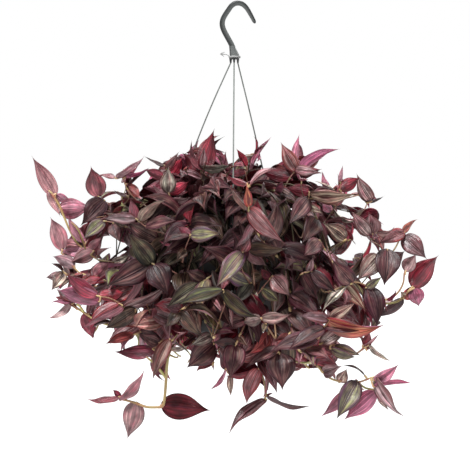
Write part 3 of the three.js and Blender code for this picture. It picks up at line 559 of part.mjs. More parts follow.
  fine: [[-89.4,-105,-255.4,-89.1,-115,-220.8,0,-0.96,-0.28,22,0.06,0.17],
   [-89.1,-105.2,-255.9,-62,-115.2,-240.2,0.26,0.95,0.15,16.8,0.1,0.34],
   [-89.4,-105,-255.4,-111,-113,-244,-0.54,0.57,-0.62,10.8,0.06,0.34],
   [-84.6,-107.8,-264.7,-59.2,-123.8,-260.9,-0.34,-0.69,-0.64,12.7,0.06,0.17]],
  plain: [] },
{ name: "shoot_right_top", stems: [[40.3,-22.6,-308,2.1,46.4,-26.9,-281.9,2.03,63.4,-34.2,-260.3,1.96,84.1,-43.9,-244.2,1.89,95.8,-53.5,-265.7,1.82,105.2,-62,-305.8,1.75,116.3,-57.9,-290.5,1.6,127.6,-53.7,-275.5,1.45,136.1,-50.1,-258.6,1.3,136.3,-48,-239.5,1.15],[84.1,-43.9,-244.22,1.6,120.1,-31.9,-280.9,1.5,133.9,-20,-292.3,1.4,130.5,-18.2,-270.3,1.45,123.4,-16,-249.3,1.15]],
  fine: [[136.3,-48,-239.5,137.5,-50,-215.8,-0.75,0.66,0.09,10,-0.08,0.34],
   [136.1,-49.4,-252.8,154.1,-59.4,-235.9,0.27,0.93,0.26,19.8,0.1,0.34],
   [129.9,-52.7,-270.9,164.3,-64.7,-282.1,-0.4,-0.39,-0.83,16,0.16,0.17],
   [125.6,-54.4,-278.2,110.4,-64.4,-268.9,-0.42,0.87,0.25,13.2,0.06,0.34],
   [123.4,-16,-249.3,114,-16,-226.5,-0.58,0.78,-0.24,10.4,0.05,0.34],
   [125.3,-16.6,-255,96.5,-16.6,-237.3,0.48,-0.4,0.78,6.7,0.05,0.17]],
  plain: [] },
{ name: "shoot_upper_left_tip", stems: [[-55.2,1.6,-308,2.1,-60.5,-6,-285.4,2.01,-73.8,-27.9,-276.4,1.93,-87.5,-50.9,-271.3,1.84,-95.8,-72,-292.7,1.75,-108.9,-67.5,-280.9,1.63,-122.6,-62.4,-270.2,1.51,-136.6,-56.8,-260.4,1.39,-147,-53.7,-245.9,1.27,-153.4,-52,-229.1,1.15],[-60.5,-6,-285.41,1.6,-86.1,-16,-274.1,1.5,-117.9,-20,-265.5,1.4,-135.3,-18.8,-262.1,1.6,-152.5,-17.1,-263.7,1.45,-169.6,-15.3,-267.3,1.3,-186.6,-14,-262.7,1.15]],
  fine: [[-151,-52.6,-235.3,-124,-58.6,-208.2,-0.47,0.64,0.61,16.3,-0.14,0.34],
   [-148.3,-53.3,-242.4,-113.2,-65.3,-221.6,-0.37,0.38,0.85,16.5,-0.12,0.17],
   [-145.2,-54.2,-248.4,-114.6,-62.2,-233.3,0.32,-0.39,-0.86,8.3,-0.12,0.17],
   [-151.7,-52.5,-233.7,-181.7,-44.5,-228.8,0.01,-0.48,0.88,13.2,0.1,0.17],
   [-153.4,-52,-229.1,-153.4,-52,-217.2,-0.85,0.53,0,5,0.05,0.34],
   [-146.3,-53.9,-246.9,-128.8,-67.9,-259.8,0.44,0.84,-0.32,15.9,0.1,0.34],
   [-186.6,-14,-262.7,-191.2,-24,-222.8,-0.03,0.97,0.24,29.5,0.1,0.17],
   [-176.8,-14.8,-265.3,-205.4,-30.8,-292.4,0.27,-0.93,0.26,26.8,0.1,0.17],
   [-147.2,-17.6,-263.2,-167.3,-22.6,-252.2,0.52,-0.4,0.76,9.8,-0.15,0.34]],
  plain: [] },
{ name: "shoot_top_right_tuft", stems: [[33.6,-35.1,-308,2.1,36,-35.1,-280.5,2.01,64,-41.6,-274.6,1.93,64.9,-61.5,-286.1,1.84,56.3,-72,-292.7,1.75,59.6,-67.4,-274.6,1.6,60,-63.3,-256.2,1.45,65.9,-58.6,-239.2,1.3,76.5,-55,-223.9,1.15]],
  fine: [[76.5,-55,-223.9,56.5,-63,-189.9,0.1,-0.98,-0.17,19.8,0.05,0.17],
   [76.5,-55,-223.9,79.3,-49,-177.3,-0.75,0.66,-0.04,19.7,0.05,0.17],
   [76.5,-55,-223.9,125.2,-57,-192.3,-0.4,0.65,0.65,24.4,0.08,0.34],
   [76.5,-55,-223.9,108.8,-71,-229.7,-0.43,-0.9,0.08,15.8,0.16,0.17],
   [69.4,-57.4,-234.2,26.4,-47.4,-223.6,0.15,0.95,-0.29,19,0.1,0.17]],
  plain: [] },
{ name: "shoot_top_center", stems: [[7.2,-14,-308,2.1,4.8,-23.2,-293,1.93,15.8,-50,-289.9,1.75,15.2,-47,-271.2,1.6,14.5,-44,-252.5,1.45,13.4,-40.4,-234,1.3,11.9,-38,-215.3,1.15],[15.8,-50,-289.86,1.6,-2.8,-17.6,-281.3,1.5,-16.2,10,-262.3,1.4,-15,13,-246.3,1.55,-15.5,15.7,-230.3,1.35,-19,18,-214.5,1.15]],
  fine: [[11.9,-38,-215.3,-1.4,-51,-193.3,0.2,0.78,0.59,12.1,0.06,0.34],
   [11.9,-38,-215.3,42.4,-42,-175.6,-0.71,0.4,0.58,19.9,0.05,0.34],
   [12.9,-39.6,-227.3,31.6,-51.6,-221.1,-0.38,-0.82,-0.43,9.7,0.06,0.34],
   [12.8,-39.4,-225.9,-18.7,-31.4,-225.7,0.21,0.85,-0.48,13.6,0.06,0.17],
   [-19,18,-214.5,-33.9,14,-194.3,0.09,-0.99,-0.13,13.6,0.05,0.34],
   [-19,18,-214.5,-13.6,32,-193.5,-0.13,0.84,-0.52,16.3,0.05,0.34]],
  plain: [] },
{ name: "shoot_top_left_back", stems: [[-61,-41,-308,2.1,-60.8,-41.6,-283.1,1.93,-68.5,-64,-270.2,1.75,-78.9,-59.3,-255,1.55,-88,-55,-238.9,1.35,-93.9,-52,-221.1,1.15],[-68.5,-64,-270.24,1.6,-55.9,-61.7,-280.1,1.5,-44.9,-60,-283.3,1.4,-47.2,-53.7,-262.9,1.55,-47.8,-49,-242,1.35,-47.8,-45,-220.9,1.15]],
  fine: [[-93.9,-52,-221.1,-124.3,-52,-203.9,0.45,-0.4,0.8,13.2,-0.08,0.17],
   [-93.9,-52,-221.1,-79.2,-58,-198.9,-0.12,-0.98,-0.18,11.9,0.05,0.17],
   [-92.2,-52.9,-226.3,-118.7,-58.9,-222.7,-0.22,0.98,0.03,15.9,0.06,0.17],
   [-90.2,-53.9,-232.3,-72.6,-57.9,-206.8,0.07,0.99,0.11,18.5,0.08,0.34],
   [-84.5,-56.6,-245,-127.4,-44.6,-247.4,0.27,0.96,0.01,23.7,0.1,0.17],
   [-47.8,-45,-220.9,-72.8,-53,-180.2,-0.8,0.45,-0.4,20.3,0.12,0.17],
   [-47.8,-45,-220.9,-43.6,-57,-192.3,-0.06,-0.92,-0.38,13.3,0.06,0.34],
   [-47.8,-45,-220.9,-35.9,-39,-174.1,-0.25,0.97,-0.06,20.4,0.08,0.34],
   [-47.8,-45,-220.9,-6.7,-59,-216.1,-0.12,-0.62,-0.78,18.4,0.08,0.17],
   [-47.8,-45.5,-223.6,-76.1,-29.5,-201.6,0.32,0.91,-0.25,26.5,0.1,0.17],
   [-47.8,-47.5,-234.2,-77.7,-63.5,-225.5,0.52,-0.72,0.46,14.7,0.06,0.17]],
  plain: [] },
{ name: "shoot_back_01", stems: [[-44,20.3,-308,2,-42.6,26.4,-282.2,1.93,-42.3,50.3,-264.7,1.85,-42.7,76.5,-250.7,1.77,-44.3,104.7,-242.3,1.7,-49.7,127,-256.8,1.62,-55.5,135.1,-284.6,1.55,-61,139.4,-313.5,1.48,-66.4,142.1,-342.5,1.4,-72.2,144,-371.6,1.33,-78.3,145.7,-400.6,1.25,-85.6,148.3,-429.2,1.18,-91,151.3,-443.2,1.1],[-49.7,127,-256.81,1.5,-47.3,137.3,-277.7,1.44,-44.5,144,-302.1,1.39,-41.3,148.2,-328.7,1.33,-37.9,150.8,-356.6,1.27,-34.3,153,-384.7,1.22,-30.8,155.9,-412,1.16,-27.4,160.5,-437.4,1.11,-24.1,168,-459.8,1.05],[-42.7,76.5,-250.75,1.5,-50.8,93.6,-262.4,1.41,-65.9,109.6,-282.9,1.32,-84.5,125.4,-305.5,1.23,-103,142,-323,1.14,-117.7,160.4,-328.5,1.05]],
  fine: [],
  plain: [[-90.5,151,-441.9,-98,164.4,-462.5,-0.81,0.31,0.49,7,0.06,0.34],
   [-85.1,148.1,-427.3,-112.7,147.1,-455.4,-0.6,0.57,0.57,18.1,0.13,0.18],
   [-81,146.7,-411.3,-64.8,172.1,-449.4,-0.87,0.49,-0.05,24.8,0.06,0.21],
   [-76,145.1,-390,-113.6,137.9,-420.7,-0.43,0.84,0.32,22.5,0.09,0.15],
   [-70.9,143.6,-365.4,-61.1,150.1,-409.4,-0.33,0.94,0.07,20,0.06,0.16],
   [-65.9,141.8,-339.7,-96,139.8,-381.1,-0.55,0.75,0.36,21.6,0.13,0.12],
   [-61.5,139.6,-316.2,-39.8,162.2,-362.5,-0.73,0.68,-0.01,22.4,0.06,0.19],
   [-57.4,136.6,-294.6,-94.1,117.7,-319,-0.64,0.43,0.63,20.7,0.08,0.11],
   [-24.3,167.5,-458.3,-15.6,179,-483.8,0.52,0.7,0.49,8.6,0.09,0.34],
   [-26.5,162.5,-443.3,-41,181.8,-475.4,0.15,0.88,0.46,11,0.04,0.34],
   [-28.9,158.4,-425.8,-0.8,166.6,-458.3,0.14,0.93,0.35,19.6,0.12,0.17],
   [-31.2,155.6,-409.2,-48.8,155.9,-455.3,-0.25,0.96,0.1,25,0.12,0.16],
   [-33.5,153.7,-391.4,6.3,157.5,-433.3,0.21,0.93,0.29,25.4,0.08,0.21],
   [-36.3,151.8,-369.4,-62.3,146.8,-410.6,-0.59,0.76,0.28,20.5,0.13,0.13],
   [-39,149.9,-347.4,-14.1,151,-403.6,0.69,0.64,0.32,31.2,0.11,0.11],
   [-116.8,159.3,-328.1,-128.5,182.9,-341,-0.09,0.44,0.89,12.9,0.07,0.2],
   [-106.7,146.6,-324.4,-150.5,158.3,-326.9,0.16,0.75,0.64,13.4,0.06,0.34],
   [-96.3,136,-316.7,-97.7,181.2,-344.2,-0.38,0.47,0.79,25.1,0.05,0.18],
   [-85.5,126.3,-306.4,-142.2,126.7,-325.6,-0.25,0.59,0.77,27.8,0.12,0.12]] },
{ name: "shoot_left_01", stems: [[-68.5,16.2,-308,2,-70.7,14.5,-280.3,1.91,-95.2,5.5,-264.6,1.82,-123.5,-3.4,-258.6,1.73,-143.8,-5.4,-279.5,1.64,-154.9,-3.6,-307.9,1.55,-163.4,-1,-337.1,1.46,-170.9,1.9,-366.6,1.37,-178.2,4.7,-396.1,1.28,-186.4,7,-425.5,1.19,-192.7,7.3,-440.5,1.1],[-163.4,-1,-337.1,1.5,-163.6,-6.9,-307.5,1.27,-172.5,-13,-282.8,1.05],[-70.7,14.5,-280.27,1.5,-92.1,4.5,-276.2,1.41,-116.4,-5.9,-276.7,1.32,-141.8,-15.9,-279.8,1.23,-166.4,-25,-283.6,1.14,-188.5,-32.5,-286.2,1.05],[-163.4,-1,-337.1,1.5,-180.2,21.1,-348.5,1.27,-196.8,37.3,-360.8,1.05],[-143.8,-5.4,-279.46,1.5,-147.3,-6.6,-308.4,1.43,-145.5,-10.6,-339.4,1.35,-142,-16.1,-370.1,1.27,-140.4,-21.5,-398,1.2,-144.3,-25.4,-420.7,1.12,-157.3,-26.5,-435.8,1.05]],
  fine: [],
  plain: [[-186.2,7,-425,-197.5,28.5,-450.7,-0.91,0.03,0.42,16.2,0.08,0.17],
   [-181.9,5.7,-409.4,-198.2,-1.6,-443.7,-0.9,0.02,0.43,15.8,0.04,0.19],
   [-176.7,4.1,-389.9,-195.9,46.3,-418.5,-0.88,-0.08,0.48,23.2,0.09,0.16],
   [-171.8,2.2,-370,-185.3,-19.4,-411.9,-0.85,-0.3,0.43,23.7,0.11,0.11],
   [-166.2,0.1,-348.2,-167.5,32.7,-389.8,-0.99,-0.1,-0.04,21.2,0.05,0.17],
   [-172,-12.7,-284.2,-183.3,-12.5,-268,-0.73,-0.47,-0.51,9.7,0.09,0.2],
   [-167.9,-9.9,-295.5,-169.8,-41,-278.4,-0.84,0.3,0.46,9.7,0.06,0.34],
   [-163.6,-6.4,-309.9,-160.3,18.3,-268.4,-0.32,-0.8,0.5,20.7,0.06,0.17],
   [-173.1,-27.3,-284.4,-201,-11.3,-298.8,-0.56,-0.27,0.78,15.1,0.08,0.18],
   [-158.7,-22.1,-282.4,-169.8,-71.7,-282.4,-0.59,0.13,0.79,26.1,0.12,0.11],
   [-142.2,-16.1,-279.8,-195,11.7,-289.1,-0.44,-0.61,0.67,24.5,0.07,0.13],
   [-126.5,-9.9,-277.9,-157.8,-49.6,-293.3,-0.79,0.61,0.03,25.9,0.06,0.18],
   [-195.9,36.4,-360.1,-212.4,44.1,-387.2,-0.77,0.3,0.56,9.9,0.09,0.34],
   [-187.5,28.3,-354,-201,69.8,-371.8,-0.74,0.05,0.67,19.7,0.08,0.22],
   [-177.2,17.2,-346.5,-212,9.6,-386,-0.72,0.42,0.55,26.4,0.11,0.18],
   [-156.3,-26.4,-434.7,-171.2,-41.8,-455.8,-0.84,0.5,0.23,8.7,0.05,0.34],
   [-148.9,-25.8,-426.1,-163.5,3.3,-447.5,-0.36,0.43,0.83,16.4,0.1,0.2],
   [-140.8,-21.9,-400.1,-169.8,23.7,-441.6,-0.9,-0.24,0.37,30,0.07,0.19],
   [-141.2,-18.9,-384.7,-137.2,-69.7,-420.3,-0.66,-0.46,0.59,32.2,0.06,0.21],
   [-142.1,-16,-369.9,-128.3,13.1,-404.2,0.7,0.38,0.6,24,0.11,0.17],
   [-143.8,-13.4,-354.9,-136.6,-66.5,-389.7,-0.92,-0.29,0.26,30.6,0.08,0.17]] },
{ name: "shoot_back_02", stems: [[-23.3,33.2,-308,2,-23.4,29.5,-280.7,1.77,-7.8,23.7,-257.4,1.55,-17.2,26.7,-231.8,1.33,-25.1,31.9,-220.8,1.1],[-23.4,29.5,-280.69,1.5,-33,30.5,-250.4,1.35,-50.2,34,-219.7,1.2,-72.1,42.9,-201.1,1.05]],
  fine: [],
  plain: [[-24.3,31.3,-221.9,-32.4,42.5,-200.2,-0.93,0.04,-0.37,7.3,0.11,0.34],
   [-16.3,26.4,-234.3,-48.3,37.5,-225.4,0.41,0.68,0.62,10.6,0.11,0.34],
   [-10.8,24.6,-249.1,-7.6,48.7,-205.3,0.14,0.86,-0.48,21.3,0.08,0.13],
   [-12.9,25.6,-265,-41.7,1.6,-233.6,-0.24,0.86,0.44,22.9,0.08,0.11],
   [-71,42.4,-202.1,-88.1,54.7,-206.1,0.3,0.65,0.69,6.3,0.12,0.34],
   [-50.8,34.2,-219.2,-95.3,56.6,-237.6,-0.17,0.41,0.9,25.6,0.06,0.13],
   [-43.6,32.7,-231.4,-46.6,64.5,-184.7,-0.18,-0.82,0.55,25,0.07,0.16],
   [-36.1,31.1,-244.9,-85.8,9.7,-228.8,-0.33,0.92,0.21,28,0.11,0.15]] },
{ name: "shoot_right_01", stems: [[18.9,21.9,-308,2,28.4,28.8,-281.6,1.89,49.7,41.9,-263.5,1.77,73.4,57,-250.9,1.66,95.8,74.1,-258.5,1.55,109,87,-283.2,1.44,119.2,97.9,-310.3,1.33,128.8,108.5,-337.8,1.21,135.2,114.9,-352,1.1],[49.7,41.9,-263.47,1.5,77.4,50.7,-261.4,1.41,106,58,-266,1.32,134.7,63.3,-273.1,1.23,162.9,66.2,-278.3,1.14,189.7,66.4,-277.3,1.05],[49.7,41.9,-263.47,1.5,64.4,40.5,-243.9,1.27,79.1,46.1,-228,1.05],[109,87,-283.25,1.5,97,74.7,-259.6,1.35,81,56.6,-227.3,1.2,81.2,57.1,-211.1,1.05],[73.4,57,-250.92,1.5,93.6,57.3,-265.1,1.39,118.3,59.6,-279.9,1.27,143.2,63.3,-298.2,1.16,163.9,67.3,-322.5,1.05]],
  fine: [],
  plain: [[134.6,114.3,-350.8,146.8,121.1,-374.1,0.87,0.09,0.48,12.5,0.1,0.13],
   [128.4,108,-336.6,119.7,130.2,-363,0.44,0.75,0.49,16.7,0.07,0.13],
   [117.4,96,-305.4,105,145.2,-339.2,0.7,0.51,0.49,30,0.08,0.14],
   [110.5,88.6,-287.2,147.1,90.9,-325.8,0.73,0.02,0.69,21.5,0.05,0.15],
   [101.2,79.4,-268.6,113.6,124.1,-299.5,0.68,0.28,0.68,22.3,0.07,0.22],
   [90.5,70.1,-256.7,141.8,56.8,-259.5,0.23,0.76,0.61,26.8,0.04,0.21],
   [169.9,66.3,-278,196.8,81.2,-291.8,0.2,0.44,0.87,9,0.07,0.34],
   [152.3,65.1,-276.4,195.1,47.2,-278.8,0.23,0.42,0.88,19.7,0.05,0.16],
   [114.7,59.6,-268.2,144,35.7,-293.7,0.7,0.11,0.7,19.2,0.08,0.2],
   [78.1,45.8,-229,102.1,67.7,-219.6,-0.56,0.76,-0.34,10.1,0.09,0.34],
   [68.4,42,-239.6,97.6,17.1,-237.3,0.62,0.75,0.25,17.5,0.08,0.21],
   [81.2,57,-212.6,84.3,40,-186,0.68,0.65,0.34,13.7,0.12,0.2],
   [81,56.6,-226.3,61.7,89.7,-208.4,0.89,0.36,0.3,19.3,0.11,0.16],
   [92.2,69.3,-250,61,109.7,-222.6,0.81,0.27,0.52,29.8,0.1,0.21],
   [139.3,62.7,-295.3,161.3,106.3,-304.3,0.23,0.09,0.97,21,0.06,0.16],
   [123.7,60.4,-283.9,152.5,34.7,-307.6,0.55,-0.15,0.82,21,0.1,0.11]] },
{ name: "shoot_right_02", stems: [[39.2,11.5,-308,2,45.9,14.1,-281.4,1.9,66.1,34.8,-272.9,1.8,86.6,46.1,-289.3,1.7,100.9,47.6,-316.1,1.6,113.3,47.2,-344,1.5,124.7,46.2,-372.2,1.4,135.5,45.1,-400.7,1.3,146.1,45,-429.3,1.2,151.7,46.7,-444.5,1.1],[100.9,47.6,-316.1,1.5,115.3,41.7,-344,1.41,128,30.5,-371.6,1.32,139.5,18.7,-398.1,1.23,150.5,11.1,-422.8,1.14,161.6,12.4,-444.8,1.05]],
  fine: [],
  plain: [[146.1,45,-429.3,173.4,31.3,-449.9,0.62,0.07,0.78,16,0.12,0.15],
   [141.3,45,-416.4,153.4,75,-449.4,0.96,-0.12,0.25,20,0.09,0.11],
   [136.2,45.1,-402.5,160.2,8.8,-444.7,0.92,0.26,0.3,28.2,0.11,0.15],
   [130.4,45.6,-387.1,128.5,71,-439.6,0.85,0.49,0.21,27.5,0.07,0.18],
   [123.3,46.3,-368.7,147.4,14.2,-411.4,0.9,0.14,0.41,24.1,0.08,0.15],
   [115.9,47,-350.5,142,75,-398.5,0.5,0.6,0.62,29.3,0.07,0.2],
   [107.7,47.4,-331.4,134.6,16,-376.7,0.78,-0.2,0.6,27.9,0.07,0.11],
   [160.9,12.4,-443.4,175.7,15.8,-462.9,0.8,-0.2,0.57,6.9,0.08,0.34],
   [146.1,14.1,-412.9,172.8,-12.9,-434.1,0.51,-0.16,0.84,19.7,0.07,0.2],
   [137.4,20.8,-393.2,131.3,46.8,-422.6,0.78,0.54,0.32,18.4,0.08,0.11],
   [130.2,28.2,-376.7,142.1,-10.7,-381.1,0.96,0.29,0.02,16.5,0.12,0.13]] },
{ name: "shoot_back_03", stems: [[0.8,37.7,-308,2,8.8,43.8,-285.2,1.91,32,59.1,-276.3,1.82,54.8,77,-273.8,1.73,66.8,97.4,-288.2,1.64,66.3,113.6,-312.4,1.55,62.6,127.5,-337.8,1.46,57.6,140.4,-363.6,1.37,52.3,152.7,-389.6,1.28,47.3,164.8,-415.7,1.19,46,171.3,-429.3,1.1],[32,59.1,-276.27,1.5,38.6,72.6,-291.7,1.44,43.4,86.8,-313.2,1.37,46,101.4,-338.6,1.31,46,116.1,-365.3,1.24,43.1,130.6,-391,1.18,36.9,144.6,-413.3,1.11,27.1,157.9,-429.9,1.05]],
  fine: [],
  plain: [[46.1,170.6,-428,41.2,177.3,-451.4,-0.02,0.96,0.28,7.7,0.07,0.34],
   [47.3,165,-416.2,64.2,179.2,-445.8,0.23,0.82,0.53,16.4,0.12,0.17],
   [50.3,157.6,-400.2,15.6,185.3,-424.6,0.4,0.83,0.39,25.9,0.06,0.15],
   [53.3,150.3,-384.5,81.2,175.5,-421.9,0.17,0.75,0.64,25.3,0.1,0.11],
   [56.8,142.4,-367.8,8.1,153.4,-378.4,-0.07,0.51,0.86,24.6,0.1,0.12],
   [60.3,133.5,-349.8,81,150.4,-385.7,0.51,0.63,0.59,22.6,0.07,0.22],
   [63.3,124.8,-332.9,31.2,153.8,-354.5,0.08,0.65,0.76,23.2,0.09,0.19],
   [66.1,114,-313.3,83.9,131.9,-351,0.47,0.69,0.55,23.1,0.07,0.19],
   [27.7,157,-428.8,23.2,169.8,-453,0.17,0.88,0.43,8.3,0.08,0.34],
   [32.9,150.1,-420.2,-1.9,165.1,-435.3,0.22,0.9,0.38,21,0.04,0.17],
   [37.9,142.4,-409.8,51.4,162,-451.9,0.25,0.85,0.47,24.5,0.1,0.2],
   [41.7,133.9,-396.2,11.5,167.1,-430.2,0.02,0.73,0.69,24.2,0.04,0.19],
   [44.2,125,-381.1,65.3,151.6,-425.6,0.25,0.78,0.58,22.8,0.09,0.19],
   [46,115.1,-363.5,15.1,140.6,-401.3,-0.06,0.81,0.59,26.9,0.09,0.12],
   [46,106.7,-348.3,79.1,115.2,-390.9,0.76,0.18,0.63,23.7,0.11,0.11]] },
{ name: "shoot_back_04", stems: [[24.5,29.8,-308,2,26.8,37.3,-279.3,1.77,38.4,64.8,-266.9,1.55,41.9,91.3,-249.3,1.33,42.8,105.8,-238.5,1.1]],
  fine: [],
  plain: [[42.7,104.6,-239.3,44.2,133.9,-233.7,-0.04,-0.19,0.98,9,0.05,0.34],
   [41.8,90.1,-250,40.1,112.7,-222.2,0.68,0.59,-0.44,17.7,0.09,0.2],
   [39.6,74.1,-260.7,55.7,114.2,-287.2,0.45,0.36,0.82,25.9,0.07,0.2],
   [35.8,58.6,-269.7,20.3,102.9,-254.3,0.94,0.24,0.24,25.6,0.09,0.17]] },
{ name: "shoot_left_02", stems: [[-68.1,23.8,-308,2,-74.8,27.7,-280.9,1.77,-100,47.2,-287.9,1.55,-124.8,61.6,-276,1.33,-137.7,67.7,-264.4,1.1]],
  fine: [],
  plain: [[-136.7,67.2,-265.3,-152.7,77.6,-246.9,-0.6,-0.79,-0.08,11.2,0.1,0.18],
   [-128.6,63.4,-272.5,-169.4,52.1,-275.7,-0.26,0.77,0.58,17.8,0.06,0.14],
   [-117.9,57.6,-279.3,-154.7,21.8,-294,-0.61,0.34,0.72,22.1,0.04,0.12],
   [-107.2,51.4,-284.4,-120.5,105.2,-274.6,-0.97,-0.25,0.06,26.7,0.09,0.2],
   [-94.1,42.6,-286.2,-145.5,26.1,-299.6,-0.38,0.72,0.57,28,0.12,0.11]] },
{ name: "shoot_right_03", stems: [[30.3,-5.5,-308,2,30.2,-1,-279.2,1.77,40.5,13.9,-255.2,1.55,55.1,13.2,-229,1.33,64.5,13.7,-216.2,1.1],[40.5,13.9,-255.22,1.5,22.6,4.7,-233.4,1.27,23.6,2.1,-213.8,1.05]],
  fine: [],
  plain: [[63.6,13.7,-217.4,88.7,19.2,-197.2,-0.55,-0.3,0.77,13.7,0.07,0.18],
   [56.4,13.3,-227.3,89.7,-2.1,-217.6,0.1,0.67,0.74,10.9,0.1,0.34],
   [49.8,13.5,-238.5,59.6,55.4,-220.2,0.81,-0.38,0.45,23.8,0.06,0.11],
   [41.4,13.8,-253.6,67.5,-30.8,-230.6,0.45,0.6,0.66,23.3,0.12,0.18],
   [22.8,4.1,-228.8,29.6,-33,-213.2,0.33,0.42,0.85,12.7,0.04,0.34],
   [28.7,7.8,-240.8,12.6,27.6,-201.5,0.92,-0.01,0.39,19.4,0.06,0.19]] },
{ name: "shoot_back_05", stems: [[-13.5,32.3,-308,2,-10,39.2,-280.5,1.85,0.8,64.3,-264,1.7,11.8,91.7,-251.7,1.55,20.5,121.7,-248.7,1.4,20.3,148.2,-266.3,1.25,22.9,160.8,-277.6,1.1],[-13.5,32.3,-308,1.5,-14.3,39.5,-276.3,1.39,-19.2,47.8,-244.1,1.27,-23.2,61.1,-220.7,1.16,-21.1,83.4,-215.7,1.05]],
  fine: [],
  plain: [[22.7,159.7,-276.6,31.3,174.6,-293,0.14,0.7,0.7,11.5,0.07,0.17],
   [20.8,150.4,-268.3,11,169.7,-298.8,0.79,0.6,0.13,9.4,0.12,0.34],
   [20.4,137,-258.8,47.6,162.2,-283.5,0.11,0.63,0.77,21.7,0.09,0.16],
   [20.5,123,-249.5,-13.1,155.6,-266.1,0.44,0.73,0.53,25.4,0.04,0.14],
   [16.4,107.6,-250.1,61.1,121,-242.9,-0.25,0.33,0.91,19.9,0.11,0.17],
   [11.6,91.2,-252,2.3,139.2,-267.1,0.64,0.34,0.69,22.5,0.06,0.14],
   [-19.2,47.8,-244,20.3,74.1,-211.1,-0.63,0.76,0.15,26.7,0.07,0.19],
   [-16.3,42.8,-263.3,-60.7,46.5,-236.5,0.36,0.79,0.5,22.7,0.11,0.14]] },
{ name: "shoot_left_03", stems: [[-37.9,6.4,-308,2,-46,15.6,-282.9,1.9,-63.3,36.5,-269,1.8,-82.7,58.6,-261.3,1.7,-102.3,76.5,-272.3,1.6,-115,83,-299.2,1.5,-124.8,86.2,-327.9,1.4,-133.6,88.6,-357.1,1.3,-142.4,91.8,-386.2,1.2,-148.1,95.9,-400.9,1.1],[-115,83,-299.17,1.5,-121.1,81.2,-322.5,1.43,-125.8,75.7,-350.6,1.35,-130.8,68.3,-380.8,1.27,-137.4,60.6,-410.3,1.2,-147.1,54.3,-436.4,1.12,-161.5,51,-456.4,1.05],[-115,83,-299.17,1.5,-126.6,95.7,-321.3,1.39,-141.5,107.3,-346.3,1.27,-153.9,117.2,-372.8,1.16,-158.5,124.6,-399.1,1.05]],
  fine: [],
  plain: [[-147.5,95.5,-399.5,-153.1,107.8,-418.1,-0.63,0.55,0.55,6.7,0.08,0.34],
   [-142.4,91.8,-386.1,-163.9,83.5,-408.4,-0.74,0.15,0.66,14.8,0.11,0.21],
   [-137.9,90.2,-371.2,-145.1,108.9,-414.6,-0.63,0.67,0.39,20.2,0.11,0.16],
   [-131.6,88.1,-350.5,-168.1,66.5,-377.1,-0.68,0.34,0.65,20,0.11,0.21],
   [-125.2,86.3,-329.3,-119.9,123.4,-362.3,-0.34,0.65,0.68,25.8,0.09,0.19],
   [-118.4,84.1,-309.3,-142.5,53.7,-346.3,-0.87,0.46,0.19,27.8,0.13,0.11],
   [-111.4,81.2,-291.6,-112.6,116,-320.1,-0.9,0.26,0.36,21.8,0.08,0.17],
   [-152.6,53,-444,-156.4,71.4,-472.5,-0.92,0.26,0.29,14.2,0.07,0.13],
   [-145.2,55.5,-431.2,-159.4,16.7,-467.3,-0.94,0.34,0.01,22.1,0.11,0.11],
   [-139.8,59,-416.9,-136.1,96.5,-459.5,-0.6,-0.58,-0.56,24.8,0.12,0.21],
   [-134.5,63.9,-397.5,-155.8,18.3,-425.3,-0.88,0.14,0.45,25.2,0.1,0.14],
   [-130.6,68.5,-379.7,-144.6,83.3,-423.6,-0.66,0.62,0.42,20.9,0.1,0.1],
   [-158.3,124.2,-397.7,-167.3,125.8,-424.4,-0.74,0.61,0.29,8.8,0.07,0.34],
   [-155.6,119.9,-382.5,-126.6,146.4,-395.1,-0.4,0.72,0.57,18.1,0.1,0.18],
   [-150.8,114.7,-366.2,-180.6,105.9,-396.7,-0.33,0.94,0.05,22.5,0.09,0.15],
   [-143.4,108.8,-350.3,-144.4,153.4,-389.5,-0.75,0.42,0.5,26,0.06,0.18],
   [-134.9,102.2,-335.3,-184.8,110.1,-355.1,-0.3,0.35,0.89,27,0.11,0.1]] },
{ name: "shoot_back_06", stems: [[-2.5,59,-308,2,-6.8,65.4,-282.5,1.82,-32.2,70.8,-272,1.64,-55.5,77.8,-258.7,1.46,-68.3,87.7,-235.7,1.28,-74.1,93.8,-224.4,1.1],[-32.2,70.8,-272.05,1.5,-40.2,70.4,-238.5,1.27,-48.4,76.3,-212.2,1.05]],
  fine: [],
  plain: [[-73.4,93.2,-225.6,-83,108.5,-209.5,0.51,0.75,-0.41,6,0.13,0.34],
   [-68.1,87.4,-236.3,-105.6,99,-232.8,0.3,0.95,0.07,16.8,0.04,0.13],
   [-61,82,-248.8,-41.2,102,-208.2,-0.88,0.4,0.23,24.3,0.1,0.14],
   [-50.4,76.3,-261.6,-98,91.8,-294.7,-0.39,0.47,0.79,27.4,0.06,0.11],
   [-33.1,71.1,-271.5,-61.8,74.3,-245.7,-0.46,0.66,-0.59,16.1,0.06,0.2],
   [-48,76,-213.6,-55.7,83.2,-191.7,0.48,0.87,-0.12,10,0.11,0.11],
   [-43.3,72.6,-228.6,-80.6,78.2,-227.7,0.13,0.79,0.6,17.7,0.06,0.15],
   [-38.8,70.5,-244.5,-15.6,97,-222.4,-0.82,0.53,0.22,17.2,0.08,0.15]] },
{ name: "shoot_right_04", stems: [[15.6,31.9,-308,2,19.4,30.7,-280.4,1.92,32.1,46.4,-260,1.84,47.1,65.8,-245.1,1.75,64.8,86.3,-246.7,1.67,77.6,97.8,-269.6,1.59,87.6,105.8,-295.4,1.51,96.5,112.7,-321.9,1.43,105,119.2,-348.7,1.35,113.2,125.9,-375.4,1.26,121.8,134.1,-401.7,1.18,126.8,140.5,-413.5,1.1]],
  fine: [],
